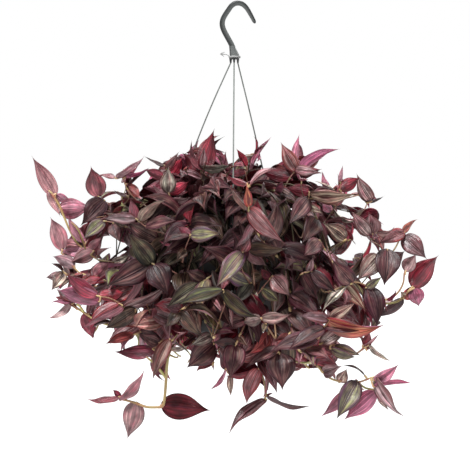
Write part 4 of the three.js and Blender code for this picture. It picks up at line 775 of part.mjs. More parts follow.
  plain: [[126.3,139.9,-412.3,126.4,153.1,-432.9,0.71,0.59,0.38,9.9,0.11,0.18],
   [121.3,133.6,-400.2,143.2,128.6,-428.7,0.63,0.68,0.37,16.2,0.06,0.19],
   [117,129.5,-387,110.3,146.4,-420.4,0.72,0.67,0.19,18.2,0.11,0.2],
   [111.1,124.2,-368.6,147.1,120.6,-390.8,0.26,0.92,0.28,17.6,0.05,0.16],
   [104.8,119.1,-348.2,105.9,153,-387,0.86,0.37,0.35,23.3,0.05,0.15],
   [98,113.8,-326.7,134.9,108.5,-367.9,0.64,0.59,0.5,26,0.06,0.15],
   [92.2,109.4,-309.2,87.4,127.8,-359.4,0.85,0.52,0.11,24.9,0.07,0.15],
   [86.3,104.7,-292,118.7,90,-319.8,0.58,0.77,0.27,18.2,0.07,0.13]] },
{ name: "shoot_right_05", stems: [[19,12.3,-308,2,23.4,12.7,-279.2,1.85,55.1,10.3,-273.8,1.7,87.4,7.4,-272,1.55,119.3,3.7,-267.4,1.4,150.3,-1.5,-259.3,1.25,167.9,-4.8,-254.7,1.1],[23.4,12.7,-279.22,1.5,51.4,11,-279,1.43,79.9,9.1,-281.6,1.35,108.3,6.9,-285.1,1.27,135.5,4.4,-287.7,1.2,160.8,1.3,-287.6,1.12,183.3,-2.4,-283,1.05]],
  fine: [],
  plain: [[166.5,-4.5,-255.1,187.2,-12,-262.2,0.43,0.81,0.41,6.4,0.13,0.34],
   [117.2,3.9,-267.7,141.8,38.4,-268.5,0.14,-0.07,0.99,21.9,0.08,0.13],
   [99.1,6.1,-270.3,123.3,-22.6,-279.9,0.4,0.03,0.92,17.5,0.06,0.11],
   [81,8,-272.3,118.8,40.7,-287.7,0.67,-0.54,0.5,25.5,0.12,0.14],
   [162.8,1,-287.2,191.2,19.9,-298.7,0.52,-0.3,0.8,16.5,0.08,0.15],
   [146.6,3,-287.7,174.6,-8,-302.1,0.42,-0.11,0.9,15.7,0.06,0.19],
   [126.7,5.2,-286.8,150.7,33.3,-309.8,0.69,0.01,0.73,21.3,0.09,0.11],
   [102.3,7.4,-284.3,138.1,-13.5,-304.2,0.54,0.14,0.83,22.1,0.13,0.16]] },
{ name: "shoot_left_04", stems: [[-50.1,14.4,-308,2,-54.2,19.5,-281.2,1.87,-81.1,19.5,-271.1,1.74,-109.8,19.1,-267.7,1.61,-138.2,21.5,-271,1.49,-163.2,27.6,-284.3,1.36,-185.8,34.8,-300.9,1.23,-197.5,38.9,-309.1,1.1]],
  fine: [],
  plain: [[-196.3,38.5,-308.3,-214,54,-325.8,-0.78,-0.22,0.59,7.5,0.08,0.34],
   [-186.3,35,-301.3,-214.5,20.1,-325.6,-0.59,-0.18,0.79,17.3,0.1,0.12],
   [-174,31,-292.3,-192.8,67.8,-310.4,-0.77,-0.08,0.63,20.8,0.09,0.12],
   [-161.3,27.1,-283.4,-215,9,-310.4,-0.51,0.57,0.64,30.1,0.11,0.12],
   [-147.9,23.9,-276.2,-190.4,66.1,-295.1,-0.48,-0.09,0.88,25.9,0.07,0.2],
   [-133.4,21.1,-270.5,-139.4,-23.8,-253.5,-0.93,0.23,0.28,23,0.07,0.16],
   [-115,19.5,-268.3,-147.2,51.8,-281.9,-0.21,0.19,0.96,24.1,0.13,0.15]] },
{ name: "shoot_back_07", stems: [[-16.4,56.5,-308,2,-14.3,54.7,-280.7,1.89,-11.9,73.7,-260,1.77,-8.7,98.8,-248.1,1.66,-4.2,124.8,-256.7,1.55,0.1,147.1,-273.6,1.44,4.2,168,-292.3,1.33,8.1,188.7,-311.3,1.21,10,199.9,-320.1,1.1],[-14.3,54.7,-280.72,1.5,-20.5,62.7,-241.3,1.27,-26.2,78.7,-220.8,1.05]],
  fine: [],
  plain: [[9.8,198.7,-319.1,21.2,223.9,-334,-0.41,0.59,0.69,16.1,0.09,0.15],
   [8.1,188.6,-311.2,-9.2,211.6,-340,-0.02,0.77,0.63,10.6,0.1,0.34],
   [6,177.5,-301.1,37.4,195.5,-328,-0.21,0.91,0.36,20.5,0.05,0.21],
   [3.6,164.9,-289.5,-24.5,203.8,-312.3,0.64,0.68,0.37,24.9,0.07,0.13],
   [1.2,153,-278.9,13,161.1,-322.9,0.38,0.89,0.26,21.1,0.06,0.21],
   [-1.5,138.6,-267.2,-33.4,174.2,-297.7,0.49,0.78,0.39,28.5,0.11,0.12],
   [-7.3,106.8,-250.8,-38.7,138.4,-282.4,0.38,0.82,0.44,22.7,0.04,0.17],
   [-25.9,77.8,-222,-44.8,100,-205.8,0.78,0.62,0.06,15.1,0.04,0.2],
   [-22.3,67.8,-234.8,8,87.7,-207.6,-0.52,0.85,-0.04,18.6,0.1,0.12],
   [-19.3,61.2,-248.6,-46.2,64.6,-201.9,-0.54,0.76,-0.37,23.5,0.13,0.1]] },
{ name: "shoot_back_08", stems: [[-1.9,49.7,-308,2,1.5,55,-281.2,1.91,-0.2,75.4,-260.7,1.82,-2.9,99.4,-244.7,1.73,-6.4,125.2,-249,1.64,-9.1,139,-274.2,1.55,-11.5,149.1,-301.4,1.46,-13.6,157.9,-329,1.37,-15.6,166.5,-356.7,1.28,-17.5,176.6,-383.8,1.19,-18.5,184.6,-395.9,1.1]],
  fine: [],
  plain: [[-18.4,183.7,-394.7,-30.7,195.2,-419,-0.41,0.73,0.55,13.5,0.11,0.2],
   [-17.3,175.3,-380.3,-3.1,188.9,-418.9,-0.53,0.84,0.11,17.9,0.08,0.17],
   [-16.3,170.2,-366.7,-51.2,185.7,-393,-0.14,0.76,0.64,19.4,0.06,0.17],
   [-15.2,164.7,-350.8,32.5,174.4,-393.5,0.44,0.64,0.63,28.4,0.06,0.17],
   [-13.8,158.7,-331.8,-43.6,177.6,-375.9,0.45,0.89,0.08,25.6,0.05,0.15],
   [-12.3,152.6,-312.3,11.5,176.2,-361.2,-0.13,0.92,0.38,25.9,0.05,0.2],
   [-10.9,146.7,-294.9,-44.2,158.7,-329.8,0.19,0.97,0.15,23.8,0.12,0.18],
   [-9.2,139.1,-274.4,9.3,152.7,-320.3,0.42,0.81,0.41,22.8,0.07,0.11]] },
{ name: "shoot_back_09", stems: [[38.6,35.1,-308,2,42.5,41.6,-280.8,1.9,66.5,52.4,-265.6,1.8,76.8,66.8,-290.1,1.7,80.3,77.9,-319.2,1.6,82.5,88.2,-348.7,1.5,84.3,98.2,-378.3,1.4,86.3,108.2,-407.9,1.3,89.6,118.9,-437.2,1.2,93.8,125.8,-452.1,1.1]],
  fine: [],
  plain: [[93.4,125.2,-450.7,98.5,138.8,-475.4,0.29,0.81,0.51,7.8,0.11,0.34],
   [90,119.5,-438.6,116,128.5,-464.8,0.48,0.57,0.67,16.7,0.08,0.18],
   [87.8,113.2,-421.6,70.5,150,-449.5,-0.01,0.6,0.8,23.9,0.06,0.14],
   [86.2,108,-407.2,112.2,99.1,-452.1,0.75,0.58,0.32,25.2,0.08,0.12],
   [85.2,102.7,-391.6,56.1,130.5,-422.2,0.42,0.83,0.36,22.9,0.07,0.13],
   [84.1,97.2,-375.4,119.1,102.4,-422.6,0.26,0.92,0.29,23.8,0.09,0.21],
   [82.8,90,-354.2,66.1,129.2,-382.9,0.67,0.6,0.43,25.3,0.12,0.18],
   [81.7,84.2,-337.2,119,72.6,-373.8,0.53,0.79,0.3,25,0.04,0.13]] },
];

// A leaf blade as a thin closed solid: base and tip points, and one or two cross-sections with a keel along the midrib.
const SECTIONS = { fine: [[0.2, 0.86], [0.56, 0.86]], plain: [[0.36, 1.0]] };
function blade([bx, by, bz, tx, ty, tz, nx, ny, nz, width, arch, fold], detail) {
  const base = new THREE.Vector3(bx, by, bz);
  const tip = new THREE.Vector3(tx, ty, tz);
  const length = base.distanceTo(tip);
  const axis = tip.clone().sub(base).normalize();
  const up = new THREE.Vector3(nx, ny, nz);
  up.addScaledVector(axis, -up.dot(axis)).normalize();
  const side = new THREE.Vector3().crossVectors(axis, up);
  const points = [base.clone().addScaledVector(axis, -ROOTED), tip]; // the blade starts a little past the stem's middle
  for (const [f, w] of SECTIONS[detail]) {
    const c = base.clone().addScaledVector(axis, length * f).addScaledVector(up, arch * length * 4 * f * (1 - f));
    const h = (width * w) / 2;
    const rise = h * Math.tan(fold);
    points.push(c.clone().addScaledVector(side, h).addScaledVector(up, rise));
    points.push(c.clone().addScaledVector(side, -h).addScaledVector(up, rise));
    points.push(c.clone().addScaledVector(up, -0.9));
  }
  return new ConvexGeometry(points);
}

for (const { name, stems, fine, plain } of SHOOTS) {
  const pieces = stems.map((s) => {
    const points = [];
    const radii = [];
    for (let i = 0; i < s.length; i += 4) {
      points.push(new THREE.Vector3(s[i], s[i + 1], s[i + 2]));
      radii.push(s[i + 3]);
    }
    return solid(tube(points, radii, STEM_SIDES));
  });
  for (const leaf of fine) pieces.push(solid(blade(leaf, "fine")));
  for (const leaf of plain) pieces.push(solid(blade(leaf, "plain")));
  add(name, geometryOf(wasm.Manifold.union(pieces).simplify(0.008)), FOLIAGE);
}

export default plant;
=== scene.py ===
"""Looks of the potted tradescantia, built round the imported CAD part. Metres, +Z up, the origin at the hook's seat."""
import math

import bpy
import numpy as np
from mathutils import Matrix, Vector


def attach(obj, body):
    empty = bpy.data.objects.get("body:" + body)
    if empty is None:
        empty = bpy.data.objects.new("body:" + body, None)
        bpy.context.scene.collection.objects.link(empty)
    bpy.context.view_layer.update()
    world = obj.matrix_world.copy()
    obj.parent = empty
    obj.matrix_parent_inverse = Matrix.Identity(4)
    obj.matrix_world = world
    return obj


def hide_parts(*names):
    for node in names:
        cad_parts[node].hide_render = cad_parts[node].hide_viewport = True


MM = 0.001
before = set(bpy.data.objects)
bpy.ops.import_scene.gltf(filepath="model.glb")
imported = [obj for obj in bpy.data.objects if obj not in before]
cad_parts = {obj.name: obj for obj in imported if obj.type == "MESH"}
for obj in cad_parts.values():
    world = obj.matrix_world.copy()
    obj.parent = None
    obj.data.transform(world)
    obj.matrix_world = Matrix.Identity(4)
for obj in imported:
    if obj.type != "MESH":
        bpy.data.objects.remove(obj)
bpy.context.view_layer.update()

# ---------------------------------------------------------------- camera: level with the middle of the plant
camera = bpy.data.objects.new("camera", bpy.data.cameras.new("camera"))
bpy.context.scene.collection.objects.link(camera)
camera.location = (-0.00340, -2.5, -0.3097)
camera.rotation_euler = (math.radians(90), 0, 0)
camera.data.sensor_width = 36
camera.data.lens = 141.84
camera.data.clip_start, camera.data.clip_end = 0.05, 200
bpy.context.scene.camera = camera
bpy.context.scene.view_settings.view_transform = "Standard"

# ---------------------------------------------------------------- helpers


def lin(rgb):
    """A colour given as 0 to 255 display values, in linear light."""
    c = np.asarray(rgb, float) / 255.0
    return np.where(c <= 0.04045, c / 12.92, ((c + 0.055) / 1.055) ** 2.4)


def node(tree, kind, *ins, **props):
    n = tree.nodes.new("ShaderNode" + kind)
    for k, v in props.items():
        setattr(n, k, v)
    for i, v in enumerate(ins):
        if v is None:
            continue
        if isinstance(v, bpy.types.NodeSocket):
            tree.links.new(v, n.inputs[i])
        else:
            n.inputs[i].default_value = v
    return n


def calc(tree, op, a, b=None, c=None, clamp=False):
    return node(tree, "Math", a, b, c, operation=op, use_clamp=clamp).outputs[0]


def step(tree, x, lo, hi, a=0.0, b=1.0):
    return node(tree, "MapRange", x, lo, hi, a, b, interpolation_type="SMOOTHSTEP").outputs[0]


def mix(tree, f, a, b, blend="MIX"):
    n = tree.nodes.new("ShaderNodeMix")
    n.data_type, n.blend_type, n.clamp_result = "RGBA", blend, False
    for i, v in ((0, f), (6, a), (7, b)):
        if isinstance(v, bpy.types.NodeSocket):
            tree.links.new(v, n.inputs[i])
        elif i == 0:
            n.inputs[i].default_value = v
        else:
            n.inputs[i].default_value = (*v[:3], 1.0)
    return n.outputs[2]


def attr(tree, name, out="Fac"):
    return node(tree, "Attribute", attribute_name=name).outputs[out]


def noise(tree, vector, scale, detail=2.0, rough=0.5):
    n = tree.nodes.new("ShaderNodeTexNoise")
    tree.links.new(vector, n.inputs["Vector"])
    n.inputs["Scale"].default_value = scale
    n.inputs["Detail"].default_value = detail
    n.inputs["Roughness"].default_value = rough
    return n.outputs["Fac"]


def vector(tree, x, y, z):
    return node(tree, "CombineXYZ", x, y, z).outputs[0]


def shader(name, **sockets):
    """A material with one Principled BSDF; the sockets that are uniform are set here."""
    m = bpy.data.materials.new(name)
    m.use_nodes = True
    t = m.node_tree
    b = next(n for n in t.nodes if n.type == "BSDF_PRINCIPLED")
    for k, v in sockets.items():
        b.inputs[k.replace("_", " ")].default_value = v
    return m, t, b


def bump(tree, bsdf, height, distance, strength=1.0):
    n = node(tree, "Bump")
    n.inputs["Strength"].default_value = strength
    n.inputs["Distance"].default_value = distance
    tree.links.new(height, n.inputs["Height"])
    tree.links.new(n.outputs[0], bsdf.inputs["Normal"])


def mesh_object(name, verts, faces, mats, attrs=None, colours=None, slots=None, smooth=True):
    """verts in millimetres."""
    me = bpy.data.meshes.new(name)
    me.from_pydata((np.asarray(verts) * MM).tolist(), [], faces)
    me.update()
    if smooth:
        me.shade_smooth()
    for k, a in (attrs or {}).items():
        me.attributes.new(k, "FLOAT", "POINT").data.foreach_set("value", np.asarray(a, np.float32))
    for k, a in (colours or {}).items():
        me.color_attributes.new(k, "FLOAT_COLOR", "POINT").data.foreach_set("color", np.asarray(a, np.float32).ravel())
    for m in mats:
        me.materials.append(m)
    if slots is not None:
        me.polygons.foreach_set("material_index", np.asarray(slots, np.int32))
    o = bpy.data.objects.new(name, me)
    bpy.context.scene.collection.objects.link(o)
    return o


def smooth_line(P, step_mm):
    """A Catmull-Rom curve through P, resampled about every step_mm; also gives each sample's place among the points."""
    P = np.asarray(P, float)
    Q = np.vstack([2 * P[0] - P[1], P, 2 * P[-1] - P[-2]])
    out, at = [], []
    for i in range(1, len(Q) - 2):
        p0, p1, p2, p3 = Q[i - 1 : i + 3]
        n = max(1, int(np.linalg.norm(p2 - p1) / step_mm + 0.5))
        for k in range(n):
            t = k / n
            out.append(0.5 * (2 * p1 + (p2 - p0) * t + (2 * p0 - 5 * p1 + 4 * p2 - p3) * t * t + (3 * p1 - p0 - 3 * p2 + p3) * t**3))
            at.append(i - 1 + t)
    out.append(P[-1])
    at.append(len(P) - 1)
    return np.array(out), np.array(at)


def unit(v):
    return v / (np.linalg.norm(v) + 1e-12)


def sweep(P, ring, offset=0):
    """Verts and faces of a closed tube along P. ring(i, side, up) gives the section's points at sample i."""
    T = np.gradient(P, axis=0)
    T /= np.linalg.norm(T, axis=1)[:, None] + 1e-12
    up = unit(np.cross(T[0], [0.31, 0.77, 0.55] if abs(T[0][2]) > 0.9 else [0, 0, 1]))
    V = []
    for i in range(len(P)):
        up = unit(up - T[i] * np.dot(up, T[i]))
        V.append(ring(i, np.cross(T[i], up), up))
    n, m = len(V), len(V[0])
    V = np.vstack(V + [P[:1], P[-1:]])
    F = []
    for i in range(n - 1):
        for j in range(m):
            k = (j + 1) % m
            F.append((offset + i * m + j, offset + i * m + k, offset + (i + 1) * m + k, offset + (i + 1) * m + j))
    for j in range(m):
        k = (j + 1) % m
        F.append((offset + n * m, offset + k, offset + j))
        F.append((offset + n * m + 1, offset + (n - 1) * m + j, offset + (n - 1) * m + k))
    return V, F


def round_tube(P, R, sides=10, offset=0):
    a = np.arange(sides) / sides * 2 * math.pi
    c, s = np.cos(a)[:, None], np.sin(a)[:, None]
    return sweep(P, lambda i, sd, up: P[i] + (c * sd + s * up) * R[i], offset)


def lathe(profile, segs, x=0.0, y=0.0, dent=None):
    """Closed solid of revolution about the vertical through x, y. The profile starts and ends on the axis."""
    inner = profile[1:-1]
    a = np.arange(segs) / segs * 2 * math.pi
    V = []
    for r, z in inner:
        rr = r if dent is None else r + dent(a, r, z)
        V.append(np.stack([x + rr * np.cos(a), y + rr * np.sin(a), np.full(segs, z)], 1))
    n = len(inner)
    V = np.vstack(V + [[[x, y, profile[0][1]]], [[x, y, profile[-1][1]]]])
    F = []
    for i in range(n - 1):
        for j in range(segs):
            k = (j + 1) % segs
            F.append((i * segs + j, i * segs + k, (i + 1) * segs + k, (i + 1) * segs + j))
    for j in range(segs):
        k = (j + 1) % segs
        F.append((n * segs, k, j))
        F.append((n * segs + 1, (n - 1) * segs + j, (n - 1) * segs + k))
    return V, F


# ---------------------------------------------------------------- colours of the leaves: display colours
# name: (colour, kind). g has silver stripes, G green ones, K bright green ones on plum, m is mauve, p pink and thin, r
# red and young, o red with yellow stripes, d dark, x deep crimson and dull, n nearly black. Each is the colour a leaf
# shows where it hangs, lit or in shade, so these carry painted light and shade: the dark kinds, n above all, are partly
# the leaves' own colour and partly painted shade for leaves deep in the mound.
TONES = {
    "pk": ((170, 116, 134), "p"), "mr": ((94, 34, 48), "m"), "mv": ((138, 98, 106), "m"), "pu": ((120, 66, 88), "m"), "gs": ((128, 114, 106), "g"),
    "dk": ((60, 34, 38), "d"), "rd": ((136, 36, 54), "r"), "rp": ((146, 74, 102), "r"), "pc": ((156, 82, 114), "p"), "ms": ((118, 88, 90), "m"),
    "ml": ((128, 60, 76), "m"), "gl": ((152, 144, 132), "g"), "rb": ((114, 54, 54), "r"), "mb": ((136, 100, 96), "m"), "gr": ((116, 82, 74), "g"),
    "pm": ((126, 82, 90), "p"), "br": ((148, 46, 58), "r"), "gg": ((130, 112, 108), "g"), "gb": ((128, 106, 100), "g"), "or": ((146, 72, 60), "o"),
    "bg": ((150, 124, 114), "g"), "mg": ((138, 112, 114), "m"), "rm": ((118, 64, 68), "m"), "cr": ((102, 28, 40), "r"), "rg": ((142, 76, 64), "o"),
    "gd": ((88, 70, 64), "G"), "pb": ((190, 112, 104), "p"), "mm": ((102, 56, 62), "m"), "md": ((76, 44, 50), "d"), "db": ((66, 50, 38), "d"),
    "dm": ((66, 16, 24), "x"), "go": ((94, 80, 60), "G"), "nk": ((50, 28, 32), "n"), "ng": ((50, 45, 37), "n"), "mq": ((92, 62, 66), "m"),
    "pv": ((140, 82, 104), "p"), "gk": ((56, 40, 36), "K"),
}
KIND = {
    "g": ((172, 168, 150), 0.70, 2.4, 1.0),
    "G": ((158, 164, 100), 0.90, 2.5, 1.0),
    "K": ((168, 174, 96), 1.00, 3.3, 1.0),
    "m": ((182, 164, 168), 0.65, 2.25, 0.95),
    "p": ((204, 162, 180), 0.50, 1.5, 0.6),
    "r": ((190, 110, 108), 0.45, 1.5, 0.55),
    "o": ((186, 150, 96), 0.70, 2.0, 0.9),
    "d": ((128, 114, 94), 0.60, 2.5, 0.9),
    "x": ((140, 84, 84), 0.35, 1.8, 0.7),
    "n": ((110, 100, 80), 0.50, 2.4, 0.9),
}
GAIN = 1.225


def blade_colours(code):
    """The blade's own colour and its stripes', so that the two together average the named tone."""
    rgb, kind = TONES[code]
    stripe, share, ratio, strength = KIND[kind]
    c, s = lin(rgb), lin(stripe)
    grey = np.dot(c, [0.21, 0.72, 0.07])
    c = np.clip(grey + (c - grey) * 1.04, 0.002, 1) * GAIN
    light = np.array([0.21, 0.72, 0.07])
    bright = c * ratio
    s = bright * (1 - share) + s * share * np.dot(bright, light) / np.dot(s, light)
    share = 0.40 * strength
    return np.maximum((c - share * s) / (1 - share), c * 0.18), s, strength


def under_colour(code):
    c = lin(TONES[code][0])
    grey = np.dot(c, [0.21, 0.72, 0.07])
    return np.clip(grey + (c - grey) * 1.04, 0.002, 1) * GAIN


# ---------------------------------------------------------------- materials


def leaf_material():
    m, t, b = shader("tradescantia_leaf")
    u, v, side, rnd = attr(t, "u"), attr(t, "v"), attr(t, "side"), attr(t, "rnd")
    au = calc(t, "ABSOLUTE", u)
    # streaks run along the veins: fine across the blade, long down it
    streak = noise(t, vector(t, calc(t, "MULTIPLY", u, 4.2), calc(t, "MULTIPLY", v, 0.9), calc(t, "MULTIPLY", rnd, 91.0)), 1.0, 3.0, 0.78)
    fine = noise(t, vector(t, calc(t, "MULTIPLY", u, 26.0), calc(t, "MULTIPLY", v, 5.0), calc(t, "MULTIPLY", rnd, 53.0)), 1.0, 2.0, 0.6)
    soft = noise(t, vector(t, u, calc(t, "MULTIPLY", v, 2.4), calc(t, "MULTIPLY", rnd, 37.0)), 1.3, 2.0, 0.5)
    light = step(t, streak, 0.44, 0.57)
    # a pale field each side of the rib, broken into lines by the streaks
    wob = calc(t, "MULTIPLY_ADD", calc(t, "SUBTRACT", soft, 0.5), 0.45, au)
    field = calc(t, "MULTIPLY", step(t, wob, 0.11, 0.24), step(t, wob, 0.50, 0.80, 1.0, 0.0))
    band = calc(t, "ADD", calc(t, "MULTIPLY", field, calc(t, "MULTIPLY_ADD", light, 0.70, 0.30)),
                calc(t, "MULTIPLY", calc(t, "SUBTRACT", 1.0, field), calc(t, "MULTIPLY", light, 0.34)))
    band = calc(t, "MULTIPLY", band, step(t, v, 0.0, 0.16, 0.3, 1.0))
    band = calc(t, "MULTIPLY", band, step(t, v, 0.76, 1.0, 1.0, 0.25))
    band = calc(t, "MULTIPLY", band, attr(t, "cb", "Alpha"), clamp=True)
    ca, cb, cl = attr(t, "ca", "Color"), attr(t, "cb", "Color"), attr(t, "cl", "Color")
    upper = mix(t, band, ca, cb)
    # dark line along the rib with a thin pale thread in it, and a reddish margin
    upper = mix(t, calc(t, "MULTIPLY", step(t, au, 0.05, 0.19, 1.0, 0.0), 0.62), upper, mix(t, 1.0, ca, (0.52, 0.40, 0.46), "MULTIPLY"))
    upper = mix(t, calc(t, "MULTIPLY", step(t, au, 0.012, 0.045, 1.0, 0.0), 0.60), upper, cb)
    upper = mix(t, calc(t, "MULTIPLY", step(t, au, 0.80, 0.94), 0.60), upper, mix(t, 1.0, ca, (1.25, 0.62, 0.72), "MULTIPLY"))
    wave = calc(t, "SINE", calc(t, "MULTIPLY_ADD", fine, 3.0, calc(t, "MULTIPLY", au, 31.0)))
    vein = step(t, wave, -0.2, 1.0)
    # the main veins: a few crisp pale lines each side, breaking off here and there
    phase = calc(t, "MULTIPLY_ADD", streak, 5.0, calc(t, "MULTIPLY_ADD", rnd, 6.28, calc(t, "MULTIPLY", au, 17.0)))
    line = calc(t, "MULTIPLY", step(t, calc(t, "SINE", phase), 0.10, 0.90), step(t, soft, 0.34, 0.56))
    lower = mix(t, calc(t, "MULTIPLY", light, 0.34), cl, mix(t, 1.0, cl, (1.7, 1.9, 1.8), "MULTIPLY"))
    lower = mix(t, calc(t, "MULTIPLY", step(t, au, 0.0, 0.10, 1.0, 0.0), 0.45), lower, mix(t, 0.7, cl, (0.10, 0.02, 0.05)))
    lower = mix(t, calc(t, "MULTIPLY", step(t, v, 0.45, 1.0), 0.35), lower, mix(t, 1.0, cl, (0.74, 0.50, 0.60), "MULTIPLY"))
    col = mix(t, step(t, side, 0.35, 0.65), lower, upper)
    # partly the blade's own uneven colour and partly painted light and shade: a broad random lightening and darkening
    # over the blade, standing in for light falling across its curves
    col = mix(t, 1.0, col, node(t, "ValToRGB", soft).outputs[0], "MULTIPLY")
    ramp = [n for n in t.nodes if n.type == "VALTORGB"][-1].color_ramp
    ramp.elements[0].position, ramp.elements[1].position = 0.30, 0.68
    ramp.elements[0].color, ramp.elements[1].color = (0.46, 0.37, 0.39, 1), (1.58, 1.56, 1.52, 1)
    # the blade runs from crimson to silver within itself
    hue = noise(t, vector(t, calc(t, "MULTIPLY", u, 1.5), calc(t, "MULTIPLY", v, 1.8), calc(t, "MULTIPLY_ADD", rnd, 61.0, 7.0)), 1.1, 2.0, 0.55)
    col = mix(t, calc(t, "MULTIPLY", step(t, hue, 0.50, 0.70), 0.75), col, mix(t, 1.0, col, (1.12, 0.58, 0.74), "MULTIPLY"))
    col = mix(t, calc(t, "MULTIPLY", step(t, hue, 0.30, 0.50, 1.0, 0.0), 0.60), col, mix(t, 1.0, col, (0.92, 1.16, 1.10), "MULTIPLY"))
    grey = calc(t, "MULTIPLY_ADD", line, 0.54, calc(t, "MULTIPLY_ADD", vein, 0.28, 0.76))
    col = mix(t, 1.0, col, node(t, "CombineColor", grey, grey, grey).outputs[0], "MULTIPLY")
    col = mix(t, calc(t, "MULTIPLY", step(t, au, 0.95, 0.985), 0.55), col, mix(t, 0.65, cl, cb))
    t.links.new(col, b.inputs["Base Color"])
    gloss = attr(t, "cl", "Alpha")
    t.links.new(calc(t, "MULTIPLY", gloss, calc(t, "MULTIPLY_ADD", light, 0.16, 0.50)), b.inputs["Specular IOR Level"])
    t.links.new(calc(t, "MULTIPLY_ADD", fine, 0.16, calc(t, "MULTIPLY_ADD", soft, 0.14, 0.24)), b.inputs["Roughness"])
    h = calc(t, "MULTIPLY_ADD", vein, 0.35, calc(t, "MULTIPLY_ADD", line, 0.7, calc(t, "MULTIPLY", light, 0.3)))
    bump(t, b, h, 0.00055, 0.9)
    return m


def stem_material():
    m, t, b = shader("tradescantia_stem", Specular_IOR_Level=0.45)
    v, knot, rnd = attr(t, "v"), attr(t, "knot"), attr(t, "rnd")
    obj = node(t, "TexCoord").outputs["Object"]
    n1 = noise(t, obj, 160.0, 3.0, 0.6)
    n2 = noise(t, vector(t, calc(t, "MULTIPLY", attr(t, "u"), 7.0), calc(t, "MULTIPLY", v, 2.0), calc(t, "MULTIPLY", rnd, 40.0)), 1.5, 3.0, 0.6)
    ca = attr(t, "ca", "Color")
    col = mix(t, step(t, n2, 0.35, 0.7), ca, mix(t, 1.0, ca, (0.62, 0.72, 0.42), "MULTIPLY"))
    n3 = noise(t, obj, 30.0, 2.0, 0.6)
    col = mix(t, calc(t, "MULTIPLY", step(t, n3, 0.48, 0.62), 0.28), col, mix(t, 1.0, ca, (0.86, 0.46, 0.60), "MULTIPLY"))
    col = mix(t, calc(t, "MULTIPLY", step(t, n1, 0.50, 0.80), 0.22), col, mix(t, 1.0, ca, (0.80, 0.34, 0.42), "MULTIPLY"))
    col = mix(t, calc(t, "MULTIPLY", knot, step(t, n1, 0.15, 0.7, 0.35, 1.0)), col, mix(t, 1.0, ca, (0.66, 0.24, 0.36), "MULTIPLY"))
    t.links.new(col, b.inputs["Base Color"])
    t.links.new(calc(t, "MULTIPLY_ADD", n1, 0.2, 0.36), b.inputs["Roughness"])
    bump(t, b, calc(t, "MULTIPLY_ADD", n2, 0.7, calc(t, "MULTIPLY", n1, 0.4)), 0.0003, 0.7)
    return m


def plastic_material(name, rgb, rough, grain=900.0, spread=0.25, painted_shade=None):
    """Moulded plastic: a faint grain, cloudy gloss and lighter scuffs. Its last argument, if given, is a colour of
    painted shade, mixed in where the mesh's tone attribute, which is painted light and shade, is low.
    """
    m, t, b = shader(name, Specular_IOR_Level=0.4)
    obj = node(t, "TexCoord").outputs["Object"]
    g, cloud = noise(t, obj, grain, 2.0, 0.6), noise(t, obj, 42.0, 4.0, 0.6)
    c = lin(rgb)
    col = mix(t, step(t, cloud, 0.3, 0.7), c * (1 - spread), c * (1 + spread))
    if painted_shade is not None:
        # painted shade: the colour goes toward the painted-shade colour where tone is low
        col = mix(t, attr(t, "tone"), lin(painted_shade), col)
    scuff = calc(t, "MULTIPLY", step(t, noise(t, obj, 210.0, 4.0, 0.7), 0.60, 0.78), 0.25)
    col = mix(t, scuff, col, mix(t, 1.0, col, (1.8, 1.8, 1.8), "MULTIPLY"))
    t.links.new(col, b.inputs["Base Color"])
    t.links.new(calc(t, "MULTIPLY_ADD", g, 0.18, calc(t, "MULTIPLY_ADD", cloud, 0.14, rough - 0.16)), b.inputs["Roughness"])
    bump(t, b, calc(t, "MULTIPLY_ADD", g, 0.6, cloud), 0.00012, 0.6)
    return m


def wire_material():
    m, t, b = shader("galvanised_wire", Metallic=0.35)
    obj = node(t, "TexCoord").outputs["Object"]
    a, g = noise(t, obj, 60.0, 3.0, 0.6), noise(t, obj, 900.0, 3.0, 0.6)
    t.links.new(mix(t, step(t, a, 0.3, 0.7), lin((108, 113, 109)), lin((122, 127, 123))), b.inputs["Base Color"])
    t.links.new(calc(t, "MULTIPLY_ADD", g, 0.15, 0.48), b.inputs["Roughness"])
    bump(t, b, g, 0.00004, 0.4)
    return m


def soil_material():
    m, t, b = shader("potting_mix", Specular_IOR_Level=0.25)
    obj = node(t, "TexCoord").outputs["Object"]
    a, g = noise(t, obj, 190.0, 5.0, 0.7), noise(t, obj, 700.0, 3.0, 0.7)
    col = mix(t, step(t, a, 0.3, 0.7), lin((30, 20, 14)), lin((86, 60, 42)))
    col = mix(t, step(t, g, 0.66, 0.74), col, lin((150, 140, 124)))
    t.links.new(col, b.inputs["Base Color"])
    t.links.new(calc(t, "MULTIPLY_ADD", g, 0.2, 0.75), b.inputs["Roughness"])
    bump(t, b, calc(t, "MULTIPLY_ADD", g, 0.4, a), 0.0022, 1.0)
    return m


LEAF, STEM = leaf_material(), stem_material()
# the hook's last colour is painted shade, put on its darker sides through the tone attribute set below
HOOK = plastic_material("hook_plastic", (92, 95, 94), 0.46, 1600.0, 0.08, (26, 29, 29))
TIE = plastic_material("tie_plastic", (146, 147, 146), 0.5, 900.0, 0.1)
POT = plastic_material("pot_plastic", (38, 38, 39), 0.5, 1400.0)
WIRE = wire_material()
SOIL = soil_material()

